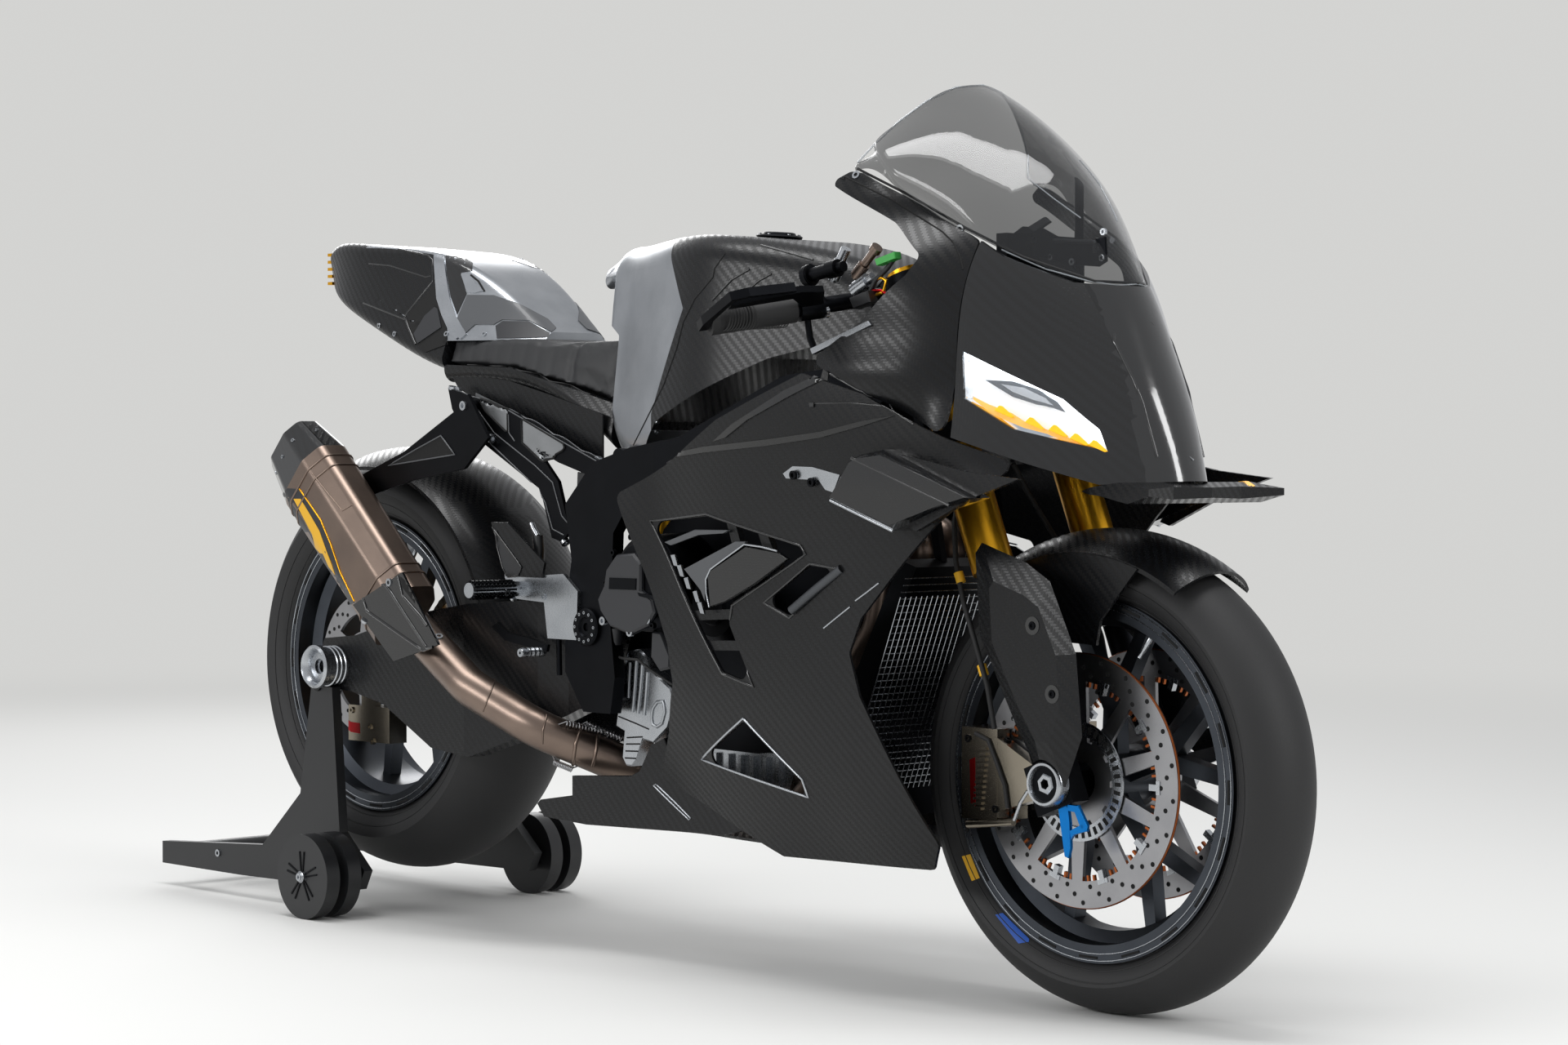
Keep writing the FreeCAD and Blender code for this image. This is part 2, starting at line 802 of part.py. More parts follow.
radiator_core = cooler("radiator", RADIATOR_SHARES, sizes.engine_half * 1.3)
radiator_stay = new_body("radiator_stay")
pad(radiator_stay, "radiator_stay_side", "XZ_Plane", [side_view(RADIATOR_STAY_SHARES)],
    sizes.header_radius * 0.5)
place(radiator_stay, 0, -aside(0.185), 0)
node("radiator", fuse("radiator_whole", radiator_core, radiator_stay, mirror(radiator_stay)))
node("oil_cooler", cooler("oil_cooler", OIL_COOLER_SHARES, sizes.engine_half * 0.9))

# Frame: head tube, two spars and the plates that carry the swingarm

axis_direction = Vector(-math.sin(math.radians(float(sizes.rake))), 0,
                        math.cos(math.radians(float(sizes.rake))))
steer_x = front_x - sizes.axle_trail * math.cos(math.radians(float(sizes.rake)))
steer_z = (sizes.front_axle_height
           - sizes.axle_trail * math.sin(math.radians(float(sizes.rake))))


def steer_place(obj):
    """Put a piece drawn in the frame of the steering axis where it belongs."""
    return place(obj, steer_x, 0, steer_z, LEFT, -sizes.rake)


SPAR_SHARES = [(0.768, 0.705), (0.719, 0.700), (0.625, 0.680), (0.500, 0.612), (0.438, 0.600),
               (0.388, 0.583), (0.350, 0.533), (0.359, 0.467), (0.350, 0.400), (0.350, 0.333),
               (0.375, 0.287), (0.412, 0.287), (0.418, 0.330), (0.412, 0.392), (0.416, 0.500),
               (0.440, 0.540), (0.540, 0.542), (0.625, 0.590), (0.706, 0.652), (0.775, 0.665)]
SHOCK_TOP_SHARES = (0.388, 0.560)
TANK_REST_SHARES = (0.410, 0.600)
ENGINE_BOSS_SHARES = ((0.560, 0.570), (0.400, 0.310))
SHOCK_FOOT_SHARES = (0.9507, 0.065)
SPAR_PLAN_SHARES = [(0.34, 0.9939), (0.47, 0.9939), (0.62, 0.9202), (0.7, 0.5521),
                    (0.78, 0.184), (0.78, 0.0552), (0.755, 0.0552), (0.68, 0.4417),
                    (0.61, 0.7914), (0.47, 0.8706), (0.34, 0.8706)]


def spar():
    """Right spar and pivot plate, one beam that closes in on the head tube."""
    beam = new_body("spar_side")
    pad(beam, "spar_outline", "XZ_Plane", [side_view(SPAR_SHARES)], sizes.body_half_width)
    strip = new_body("spar_plan")
    pad(strip, "spar_strip", "XY_Plane",
        [[(ahead(along), -sizes.frame_outer * out) for along, out in SPAR_PLAN_SHARES]],
        body_height)
    return common("spar", beam, strip)


head_low = lower_clamp_level + sizes.clamp_thickness + sizes.seat_gap
head_high = upper_clamp_level - sizes.seat_gap
head_body = new_body("head_tube")
revolve(head_body, "head_wall", [
    (sizes.stem_radius + sizes.seat_gap, head_low), (sizes.head_radius, head_low),
    (sizes.head_radius, head_high), (sizes.stem_radius + sizes.seat_gap, head_high)],
    role="XZ_Plane", axis="V_Axis")
steer_place(head_body)
head_room = bind(doc.addObject("Part::Cylinder", "head_room"), Radius=sizes.head_radius * 0.8,
                 Height=body_height)
steer_place(head_room)
right_spar = cut("spar_right", spar(), head_room)
pivot_shaft = cylinder("pivot_shaft", sizes.axle_radius, sizes.frame_outer * 2, 0,
                       ahead(PIVOT_SHARES[0]), level(PIVOT_SHARES[1]))
cross_tube = cylinder("cross_tube", sizes.axle_radius, sizes.frame_inner * 2 + sizes.plate_wall, 0,
                      ahead(SHOCK_TOP_SHARES[0]), level(SHOCK_TOP_SHARES[1]))
tank_rest = cylinder("tank_rest", sizes.axle_radius, sizes.frame_inner * 2 + sizes.plate_wall, 0,
                     ahead(TANK_REST_SHARES[0]),
                     level(TANK_REST_SHARES[1]) - sizes.axle_radius - sizes.seat_gap)
engine_bosses = []
for boss_index, (along, up) in enumerate(ENGINE_BOSS_SHARES, start=1):
    boss_length = sizes.frame_inner - sizes.engine_half
    boss = cylinder(f"engine_boss_{boss_index}", sizes.bar_radius, boss_length,
                    -(sizes.engine_half + sizes.seat_gap + boss_length * 0.5), ahead(along),
                    level(up))
    engine_bosses.extend([boss, mirror(boss)])
node("frame", fuse("frame_whole", head_body, right_spar, mirror(right_spar), pivot_shaft,
                   cross_tube, tank_rest, *engine_bosses))

# Swingarm, rear axle and chain side

SWING_SHARES = [(-0.0689, 0.0364), (-0.0403, 0.074), (0.0906, 0.0687), (0.3419, 0.0988),
                (0.5556, 0.1022), (0.801, 0.0877), (0.9943, 0.0563), (1.0466, -0.0058),
                (1.0056, -0.0576), (0.8972, -0.1815), (0.7092, -0.2298), (0.5071, -0.2664),
                (0.364, -0.2337), (0.1827, -0.1112), (0.0565, -0.0709), (-0.0566, -0.0501)]
SWING_PLAN_SHARES = [(-0.1053, 0.7595), (0.6053, 0.7595), (0.7895, 0.6266), (1.0658, 0.5696),
                     (1.0658, 0.8354), (0.8816, 0.8582), (0.7895, 0.9304), (0.5263, 1.0006),
                     (-0.1053, 1.0006)]
SWING_BRIDGE_SHARES = [(0.6298, 0.0865), (0.8005, 0.0838), (0.9808, 0.0542), (1.0414, -0.0051),
                       (0.9637, -0.0758), (0.7788, -0.0811), (0.6551, -0.0214)]
SPOOL_SHARES = (-0.0454, -0.0451)


def swing_arm():
    """Right arm: side outline held to a strip that closes in on the pivot."""
    arm = new_body("arm_side")
    pad(arm, "arm_outline", "XZ_Plane", [arm_view(SWING_SHARES)], sizes.body_half_width)
    pocket(arm, "arm_pivot_bore", "XZ_Plane", [],
           [(ahead(PIVOT_SHARES[0]), level(PIVOT_SHARES[1]), sizes.axle_radius + sizes.seat_gap),
            (rear_x, sizes.rear_axle_height, sizes.axle_radius + sizes.seat_gap)])
    strip = new_body("arm_plan")
    pad(strip, "arm_strip", "XY_Plane",
        [[(arm_point(along, 0)[0], -sizes.arm_outer * out) for along, out in SWING_PLAN_SHARES]],
        body_height)
    return common("arm_right", arm, strip)


def swing_bridge():
    """Cross member just ahead of the tyre."""
    body = new_body("swing_bridge")
    pad(body, "bridge_side", "XZ_Plane", [arm_view(SWING_BRIDGE_SHARES)], sizes.arm_outer * 1.2532,
        middle=True)
    pocket(body, "bridge_bore", "XZ_Plane", [],
           [(ahead(PIVOT_SHARES[0]), level(PIVOT_SHARES[1]),
             sizes.axle_radius + sizes.seat_gap)])
    return body


right_arm = swing_arm()
spool_depth = sizes.stand_arm_inner + sizes.stand_tube - sizes.arm_outer + sizes.plate_wall
spool = cylinder("stand_spool", sizes.spool_radius, spool_depth,
                 -sizes.arm_outer - spool_depth * 0.5 + sizes.plate_wall * 0.5,
                 *arm_point(*SPOOL_SHARES))
swing_whole = fuse("swing_whole", right_arm, mirror(right_arm), swing_bridge(), spool,
                   mirror(spool))
chain_room = doc.addObject("Part::Feature", "chain_room")


def chain_space():
    """Room round the chain's runs inside the left arm and the frame."""
    rear = Vector(rear_x, 0, sizes.rear_axle_height)
    front = Vector(ahead(PINION_SHARES[0]), 0, level(PINION_SHARES[1]))
    reach = float(sizes.sprocket_radius + sizes.chain_height + sizes.running_gap * 2)
    small = float(sizes.pinion_radius + sizes.chain_height + sizes.running_gap * 2)
    start = float(sizes.chain_offset - sizes.chain_width * 0.5 - sizes.running_gap)
    width = float(sizes.chain_width + sizes.running_gap * 2)
    ends = []
    for centre, radius in ((rear, reach), (front, small)):
        ends.append(Part.makeCylinder(radius, width, Vector(centre.x, start, centre.z), LEFT))
    line = (front - rear)
    normal = Vector(-line.z, 0, line.x).normalize()
    corners = [rear + normal * reach, front + normal * small, front - normal * small,
               rear - normal * reach]
    corners = [point + Vector(0, start, 0) for point in corners]
    plate = Part.Face(Part.makePolygon(corners + corners[:1])).extrude(Vector(0, width, 0))
    return ends[0].fuse(ends[1]).fuse(plate)


chain_room.Shape = chain_space()
node("swingarm", cut("swingarm_clear", swing_whole, chain_room))

rear_axle_bar = cylinder("rear_axle_bar", sizes.axle_radius, sizes.rear_axle_half * 2, 0, rear_x,
                         sizes.rear_axle_height)
nut_depth = sizes.rear_axle_half - sizes.arm_outer - sizes.seat_gap
axle_nut = cylinder("rear_nut", sizes.axle_nut_radius, nut_depth,
                    -sizes.rear_axle_half + nut_depth * 0.5, rear_x, sizes.rear_axle_height)
rear_axle_whole = fuse("rear_axle_whole", rear_axle_bar, axle_nut, mirror(axle_nut))
rear_axle_bore = cylinder("rear_axle_bore", sizes.axle_bore, sizes.rear_axle_half * 2.2, 0, rear_x,
                          sizes.rear_axle_height)
node("rear_axle", cut("rear_axle_tube", rear_axle_whole, rear_axle_bore))

# Tank, seat and tail

TANK_LOFT_SHARES = [(0.318, 0.795, 0.822, 0.15, 0.12), (0.350, 0.745, 0.840, 0.25, 0.20),
                    (0.385, 0.590, 0.843, 0.40, 0.26), (0.450, 0.580, 0.846, 0.50, 0.40),
                    (0.520, 0.590, 0.845, 0.57, 0.48), (0.590, 0.600, 0.833, 0.52, 0.42),
                    (0.650, 0.620, 0.815, 0.42, 0.32), (0.700, 0.640, 0.780, 0.32, 0.20)]
TANK_SIDE_SHARES = [(0.310, 0.780), (0.372, 0.735), (0.376, 0.600), (0.443, 0.600),
                    (0.464, 0.630), (0.600, 0.700), (0.650, 0.715), (0.685, 0.727),
                    (0.690, 0.900), (0.310, 0.900)]
TANK_SPLIT_SHARES = [(0.310, 0.500), (0.470, 0.500), (0.455, 0.640), (0.500, 0.760),
                     (0.440, 0.900), (0.310, 0.900)]
SEAT_LOFT_SHARES = [(0.1400, 0.684, 0.750, 0.42, 0.34), (0.200, 0.684, 0.742, 0.43, 0.36),
                    (0.285, 0.664, 0.734, 0.42, 0.34), (0.3717, 0.598, 0.732, 0.36, 0.27)]
SEAT_SIDE_SHARES = [(0.136, 0.7068), (0.240, 0.7000), (0.330, 0.6700), (0.380, 0.6500),
                    (0.380, 0.7280), (0.280, 0.7280), (0.255, 0.7340), (0.136, 0.7360)]
TRAY_SIDE_SHARES = [(0.136, 0.7064), (0.240, 0.6996), (0.330, 0.6696), (0.380, 0.6496),
                    (0.380, 0.5800), (0.136, 0.5800)]
TAIL_LOFT_SHARES = [(-0.085, 0.812, 0.868, 0.20, 0.24), (-0.040, 0.785, 0.872, 0.32, 0.30),
                    (0.020, 0.755, 0.864, 0.38, 0.32), (0.100, 0.715, 0.850, 0.42, 0.28),
                    (0.180, 0.690, 0.805, 0.43, 0.22), (0.245, 0.680, 0.745, 0.40, 0.16)]
TAIL_SPLIT_SHARES = [(-0.010, 0.900), (-0.002, 0.838), (0.016, 0.800), (0.120, 0.745),
                     (0.138, 0.7363), (0.255, 0.7343), (0.260, 0.900)]
TAIL_LOW_SHARES = [(-0.100, 0.600), (-0.100, 0.900), (-0.0104, 0.900), (-0.0024, 0.838),
                   (0.0157, 0.7995), (0.1195, 0.7446), (0.1398, 0.7345), (0.1398, 0.600)]


def tank():
    """Tank shell as a solid, less room for the frame spars."""
    solid = hull(TANK_LOFT_SHARES, sizes.overrun * 0.7)
    return solid.common(side_prism(TANK_SIDE_SHARES, sizes.plate_wall))


tank_solid = tank()
tank_rear_zone = side_prism(TANK_SPLIT_SHARES)
gap_zone = tank_rear_zone.copy()
gap_zone.translate(Vector(float(sizes.seat_gap), 0, 0))
node("tank_rear", feature("tank_rear_shell", tank_solid.common(tank_rear_zone)))
node("tank_cover", feature("tank_front_shell", tank_solid.cut(gap_zone)))
seat_solid = hull(SEAT_LOFT_SHARES, sizes.panel_wall * 5)
node("seat_pad", feature("seat_cushion", seat_solid.common(
    side_prism(SEAT_SIDE_SHARES, sizes.panel_wall))))
node("seat_tray", feature("seat_tray_shell", seat_solid.common(side_prism(TRAY_SIDE_SHARES))))
tail_solid = hull(TAIL_LOFT_SHARES, sizes.panel_wall * 4)
tail_hump = tail_solid.common(side_prism(TAIL_SPLIT_SHARES))
node("tail_hump", feature("tail_hump_shell", tail_hump))
node("tail_unit", feature("tail_shell", tail_solid.common(side_prism(TAIL_LOW_SHARES))))

# Fairing panels

FAIRING_GRID_SHARES = (
    [0.430, 0.500, 0.560, 0.620, 0.690, 0.750, 0.810, 0.870, 0.930],
    [(0.130, [0.42, 0.44, 0.46, 0.47, 0.48, 0.49, 0.49, 0.49, 0.48]),
     (0.220, [0.54, 0.56, 0.59, 0.62, 0.63, 0.64, 0.63, 0.62, 0.60]),
     (0.330, [0.64, 0.67, 0.70, 0.71, 0.71, 0.70, 0.69, 0.68, 0.66]),
     (0.460, [0.68, 0.70, 0.72, 0.74, 0.74, 0.74, 0.72, 0.69, 0.66]),
     (0.580, [0.68, 0.72, 0.75, 0.78, 0.79, 0.79, 0.76, 0.64, 0.46]),
     (0.700, [0.66, 0.70, 0.73, 0.76, 0.78, 0.79, 0.75, 0.60, 0.40])])
SIDE_FAIRING_SHARES = [(0.461, 0.546), (0.494, 0.454), (0.522, 0.375), (0.526, 0.333),
                       (0.509, 0.275), (0.484, 0.218), (0.625, 0.143), (0.806, 0.150),
                       (0.819, 0.179), (0.789, 0.250), (0.753, 0.333), (0.744, 0.379),
                       (0.759, 0.417), (0.841, 0.521), (0.8985, 0.5800), (0.848, 0.6075),
                       (0.775, 0.6550), (0.706, 0.679), (0.600, 0.630), (0.531, 0.583)]
LOUVRE_WINDOW_SHARES = [(0.503, 0.515), (0.581, 0.523), (0.694, 0.492), (0.699, 0.483),
                        (0.609, 0.427), (0.605, 0.404), (0.631, 0.338), (0.594, 0.350),
                        (0.544, 0.438)]
SLOT_WINDOW_SHARES = [(0.704, 0.472), (0.738, 0.468), (0.679, 0.416), (0.650, 0.430)]
LOWER_WINDOW_SHARES = [(0.616, 0.297), (0.550, 0.247), (0.678, 0.218), (0.675, 0.237)]
VANE_SHARES = [[(0.602, 0.527), (0.613, 0.526), (0.636, 0.436), (0.625, 0.430)],
               [(0.640, 0.517), (0.651, 0.514), (0.670, 0.459), (0.659, 0.452)],
               [(0.540, 0.404), (0.540, 0.415), (0.616, 0.421), (0.616, 0.410)],
               [(0.558, 0.372), (0.558, 0.383), (0.624, 0.386), (0.624, 0.375)]]
UPPER_GRID_SHARES = (
    [0.690, 0.740, 0.790, 0.840, 0.880],
    [(0.590, [0.80, 0.80, 0.79, 0.707, 0.567]),
     (0.6575, [0.80, 0.80, 0.783, 0.667, 0.517]),
     (0.7067, [0.80, 0.80, 0.780, 0.650, 0.500]),
     (0.760, [0.79, 0.793, 0.767, 0.617, 0.460]),
     (0.800, [0.777, 0.773, 0.707, 0.550, 0.383]),
     (0.835, [0.740, 0.700, 0.573, 0.450, 0.283]),
     (0.870, [0.693, 0.627, 0.500, 0.333, 0.200]),
     (0.905, [0.617, 0.550, 0.400, 0.250, 0.133])])
UPPER_FAIRING_SHARES = [(0.709, 0.885), (0.726, 0.8965), (0.738, 0.8935), (0.775, 0.8665),
                        (0.806, 0.8425), (0.838, 0.8220), (0.8465, 0.8150), (0.8465, 0.6095),
                        (0.775, 0.6568), (0.716, 0.692), (0.738, 0.708), (0.773, 0.733),
                        (0.806, 0.779), (0.812, 0.800), (0.775, 0.838)]

side_fairing = skin(FAIRING_GRID_SHARES, sizes.panel_wall).common(
    side_prism(SIDE_FAIRING_SHARES, sizes.panel_wall * 3,
               (LOUVRE_WINDOW_SHARES, SLOT_WINDOW_SHARES, LOWER_WINDOW_SHARES)))
FAIRING_POST_SHARES = ((0.560, 0.586), (0.575, 0.312))
FAIRING_POST_STARTS = (sizes.frame_outer * 0.9534, sizes.engine_half + sizes.seat_gap)
vane_slab = skin(FAIRING_GRID_SHARES, sizes.panel_wall * 2.5)
vane_slab.translate(Vector(0, float(sizes.panel_wall) * 0.8, 0))
for outline in VANE_SHARES:
    side_fairing = side_fairing.fuse(vane_slab.common(side_prism(outline)))
for (along, up), start in zip(FAIRING_POST_SHARES, FAIRING_POST_STARTS):
    post = Part.makeCylinder(float(sizes.plate_wall), float(aside(1)),
                             Vector(ahead(along), -start, level(up)), -LEFT)
    side_fairing = side_fairing.fuse(post.common(skin(FAIRING_GRID_SHARES, aside(1))))
pair("side_fairings", feature("side_fairing_right", side_fairing))
upper_fairing = skin(UPPER_GRID_SHARES, sizes.panel_wall).common(
    side_prism(UPPER_FAIRING_SHARES, sizes.panel_wall * 3))
pair("upper_fairings", feature("upper_fairing_right", upper_fairing))

# Nose: level, centre, then ridge, cheek and seam as shares of length and half width
NOSE_SECTION_SHARES = [
    (0.5450, 0.9938, (0.9825, 0.150), (0.9260, 0.430), (0.8475, 0.707)),
    (0.5900, 0.9850, (0.9738, 0.153), (0.9156, 0.437), (0.8475, 0.683)),
    (0.6575, 0.9681, (0.9569, 0.167), (0.9069, 0.427), (0.8475, 0.643)),
    (0.7067, 0.9525, (0.9375, 0.187), (0.8975, 0.430), (0.8475, 0.627)),
    (0.7600, 0.9344, (0.9138, 0.207), (0.8856, 0.423), (0.8475, 0.590)),
    (0.8000, 0.9163, (0.8925, 0.207), (0.8744, 0.387), (0.8475, 0.523)),
    (0.8350, 0.8938, (0.8719, 0.200), (0.8631, 0.327), (0.8475, 0.420))]
NOSE_SIDE_SHARES = [(0.8475, 0.8150), (0.8475, 0.6090), (0.9000, 0.5815), (0.945, 0.5600),
                    (1.020, 0.566), (1.020, 0.7675), (0.9325, 0.7675), (0.905, 0.7710),
                    (0.865, 0.7985)]


def nose_shell(front, back):
    """Shell round the nose between two shifts along the machine."""
    wires = []
    for up, centre, ridge, cheek, seam in NOSE_SECTION_SHARES:
        faces = []
        for shift in (front, back):
            spots = [Vector(ahead(along) + shift, aside(out * hand), level(up))
                     for hand in (-1, 1) for along, out in (seam, cheek, ridge)]
            middle = Vector(ahead(centre) + shift, 0, level(up))
            faces.append((spots[0], spots[1], spots[2], middle, spots[5], spots[4], spots[3]))
        outer, inner = faces
        wires.append(Part.Wire([
            Part.Arc(*outer[0:3]).toShape(), Part.Arc(*outer[2:5]).toShape(),
            Part.Arc(*outer[4:7]).toShape(), Part.LineSegment(outer[6], inner[6]).toShape(),
            Part.Arc(*inner[:3:-1]).toShape(), Part.Arc(*inner[4:1:-1]).toShape(),
            Part.Arc(*inner[2::-1]).toShape(), Part.LineSegment(inner[0], outer[0]).toShape()]))
    return Part.makeLoft(wires, True, False)


LAMP_SHARES = [(0.851, 0.699), (0.9175, 0.6483), (0.941, 0.6167), (0.947, 0.5950),
               (0.889, 0.6175), (0.854, 0.650)]
LAMP_RIM_SHARES = [(0.8485, 0.7075), (0.9200, 0.6540), (0.946, 0.6200), (0.953, 0.5880),
                   (0.886, 0.6110), (0.8485, 0.645)]
nose_wall = float(sizes.panel_wall) * 1.4
lamp_face = nose_wall + float(sizes.seat_gap)
lamp_depth = float(sizes.header_radius) * 2.2
node("nose_panel", feature("nose_skin", nose_shell(0, -nose_wall).common(
    side_prism(NOSE_SIDE_SHARES, 0, (LAMP_SHARES,)))))

# Windscreen: its foot from the middle to the rear corner, its rear rim, and its bulge
SCREEN_FOOT_SHARES = [(0.9313, 0.000, 0.7710), (0.9138, 0.167, 0.7727), (0.8738, 0.373, 0.7977),
                      (0.8313, 0.487, 0.8300), (0.7750, 0.540, 0.8700), (0.7256, 0.567, 0.9000)]
SCREEN_RIM_SHARES = [(0.7650, 0.000, 0.9967), (0.7600, 0.150, 0.9917), (0.7513, 0.283, 0.9750),
                     (0.7413, 0.400, 0.9517), (0.7313, 0.493, 0.9267), (0.7244, 0.560, 0.9067)]
SCREEN_BULGE_SHARES = [(0.0069, 0.000, 0.0250), (0.0075, 0.027, 0.0233), (0.0088, 0.053, 0.0183),
                       (0.0075, 0.073, 0.0117), (0.0038, 0.053, 0.0050), (0.0000, 0.007, 0.0000)]
SCREEN_ROW_SHARES = (0, 0.25, 0.5, 0.75, 1)
SCREEN_WALL_SHARES = (-0.6, 0, -0.8)


def screen_surface():
    """Double-curved bubble that runs back to a corner on each side."""
    rows = []
    for rise in SCREEN_ROW_SHARES:
        swell = rise * (1 - rise) * 4
        side = []
        for foot, rim, bulge in zip(SCREEN_FOOT_SHARES, SCREEN_RIM_SHARES, SCREEN_BULGE_SHARES):
            along, out, up = [low * (1 - rise) + high * rise + extra * swell
                              for low, high, extra in zip(foot, rim, bulge)]
            side.append(Vector(ahead(along), aside(out), level(up)))
        rows.append([Vector(spot.x, -spot.y, spot.z) for spot in side[:0:-1]] + side)
    surface = Part.BSplineSurface()
    surface.interpolate(rows)
    return surface.toShape()


screen_inward = Vector(*SCREEN_WALL_SHARES) * float(sizes.panel_wall)
node("windscreen", feature("screen_bubble", screen_surface().extrude(screen_inward)))

lamp_block = nose_shell(-lamp_face, -lamp_face - lamp_depth).common(side_prism(LAMP_RIM_SHARES))
lamp_hollow = nose_shell(nose_wall, -lamp_face - lamp_depth + nose_wall).common(
    side_prism(LAMP_SHARES))
pair("headlamps", feature("headlamp_right", right_side(lamp_block.cut(lamp_hollow))))

CHIN_SHARES = [(0.925, 0.553), (0.980, 0.5626), (1.025, 0.5535), (0.990, 0.541), (0.960, 0.549)]
CHIN_PLAN_SHARES = [(0.920, 0.30), (0.950, 0.42), (1.012, 0.44), (1.002, 0.22), (1.006, 0.0),
                    (1.002, -0.22), (1.012, -0.44), (0.950, -0.42), (0.920, -0.30)]
chin = new_body("chin_section")
pad(chin, "chin_side", "XZ_Plane", [side_view(CHIN_SHARES)], aside(1), middle=True)
chin_strip = new_body("chin_strip")
pad(chin_strip, "chin_plan", "XY_Plane", [plan_view(CHIN_PLAN_SHARES)], body_height)
node("chin_wing", common("chin_wing_whole", chin, chin_strip))

WINGLET_OFFSET_SHARE = 0.80
WINGLET_POST_SHARES = ((0.815, 0.575), (0.860, 0.560))
WINGLET_SHARES = [(0.790, 0.588), (0.812, 0.593), (0.890, 0.574), (0.945, 0.566),
                  (0.896, 0.546), (0.839, 0.512), (0.767, 0.542)]
winglet = new_body("winglet")
pad(winglet, "winglet_outline", "XZ_Plane", [side_view(WINGLET_SHARES)], sizes.panel_wall * 2)
place(winglet, 0, -aside(WINGLET_OFFSET_SHARE), 0)
winglet_posts = []
for along, up in WINGLET_POST_SHARES:
    post = Part.makeCylinder(float(sizes.plate_wall), float(aside(WINGLET_OFFSET_SHARE)),
                             Vector(ahead(along), -aside(WINGLET_OFFSET_SHARE), level(up)), LEFT)
    winglet_posts.append(post.common(room_outside(FAIRING_GRID_SHARES)))
pair("winglets", fuse("winglet_whole", winglet,
                      feature("winglet_posts", Part.makeCompound(winglet_posts))))

BELLY_PLAN_SHARES = [(0.490, 0.70), (0.722, 0.70), (0.722, -0.70), (0.490, -0.70)]
BELLY_LEVEL_SHARE = 0.155


def belly_pan():
    """Floor between the two side panels, cut to their inner faces."""
    corners = [Vector(x, y, level(BELLY_LEVEL_SHARE)) for x, y in plan_view(BELLY_PLAN_SHARES)]
    floor = Part.Face(Part.makePolygon(corners + corners[:1])).extrude(
        Vector(0, 0, float(sizes.panel_wall)))
    room = skin(FAIRING_GRID_SHARES, aside(1))
    room.translate(Vector(0, float(sizes.panel_wall + sizes.seat_gap), 0))
    right = right_side(floor.common(room))
    return right.fuse(right.mirror(Vector(0, 0, 0), LEFT)).removeSplitter()


node("belly_pan", feature("belly_floor", belly_pan()))

# Seat subframe, rearsets and exhaust hanger

SUBFRAME_SHARES = [(0.164, 0.676), (0.188, 0.668), (0.269, 0.642), (0.392, 0.5800),
                   (0.398, 0.565), (0.380, 0.563), (0.325, 0.583), (0.294, 0.600), (0.325, 0.560),
                   (0.341, 0.500), (0.330, 0.487), (0.316, 0.492), (0.300, 0.550),
                   (0.216, 0.607), (0.188, 0.617), (0.170, 0.650)]
subframe = new_body("subframe_plate")
pad(subframe, "subframe_outline", "XZ_Plane", [side_view(SUBFRAME_SHARES)], sizes.plate_wall)
pocket(subframe, "subframe_bore", "XZ_Plane", [],
       [(ahead(SHOCK_TOP_SHARES[0]), level(SHOCK_TOP_SHARES[1]),
         sizes.axle_radius + sizes.seat_gap)])
place(subframe, 0, -sizes.subframe_inner, 0)
pair("subframe", subframe)

BRACKET_SHARES = [(0.211, 0.667), (0.191, 0.646), (0.113, 0.596), (0.031, 0.560),
                  (0.025, 0.540), (0.037, 0.533), (0.125, 0.560), (0.205, 0.575),
                  (0.241, 0.613)]
HANGER_BOLT_SHARES = [(0.204, 0.652), (0.228, 0.614)]
hanger = new_body("hanger_plate")
pad(hanger, "hanger_outline", "XZ_Plane", [side_view(BRACKET_SHARES)], sizes.plate_wall)
place(hanger, 0, -sizes.muffler_inner + sizes.plate_wall + sizes.seat_gap, 0)
spacer_start = sizes.subframe_inner + sizes.plate_wall + sizes.seat_gap
spacers = [cylinder(f"hanger_spacer_{index}", sizes.plate_wall * 1.5,
                    sizes.muffler_inner - spacer_start - sizes.plate_wall,
                    -(sizes.muffler_inner + spacer_start - sizes.plate_wall) * 0.5,
                    ahead(along), level(up))
           for index, (along, up) in enumerate(HANGER_BOLT_SHARES, start=1)]
node("muffler_bracket", fuse("hanger_whole", hanger, *spacers))

REARSET_SHARES = [(0.269, 0.443), (0.269, 0.462), (0.305, 0.462), (0.318, 0.447), (0.352, 0.450),
                  (0.372, 0.430), (0.370, 0.372), (0.330, 0.372), (0.325, 0.415), (0.281, 0.418)]
PEG_SHARES = (0.290, 0.4300)
HEEL_GUARD_SHARES = [(0.2525, 0.510), (0.276, 0.510), (0.329, 0.4625), (0.325, 0.4445),
                     (0.2735, 0.4445)]
rearset = new_body("rearset_plate")
pad(rearset, "rearset_outline", "XZ_Plane", [side_view(REARSET_SHARES)], sizes.plate_wall)
place(rearset, 0, -sizes.frame_outer * SPAR_PLAN_SHARES[0][1] - sizes.seat_gap, 0)
rearset_face = sizes.frame_outer * SPAR_PLAN_SHARES[0][1] + sizes.seat_gap + sizes.plate_wall
peg = cylinder("foot_peg", sizes.bar_radius, sizes.peg_length, -rearset_face - sizes.peg_length * 0.5
               + sizes.plate_wall * 0.5, ahead(PEG_SHARES[0]), level(PEG_SHARES[1]))
pair("rearsets", fuse("rearset_whole", rearset, peg))
heel_guard = new_body("heel_guard")
pad(heel_guard, "heel_guard_outline", "XZ_Plane", [side_view(HEEL_GUARD_SHARES)], sizes.panel_wall)
place(heel_guard, 0, -rearset_face - sizes.seat_gap, 0)
pair("heel_guards", heel_guard)

# Exhaust

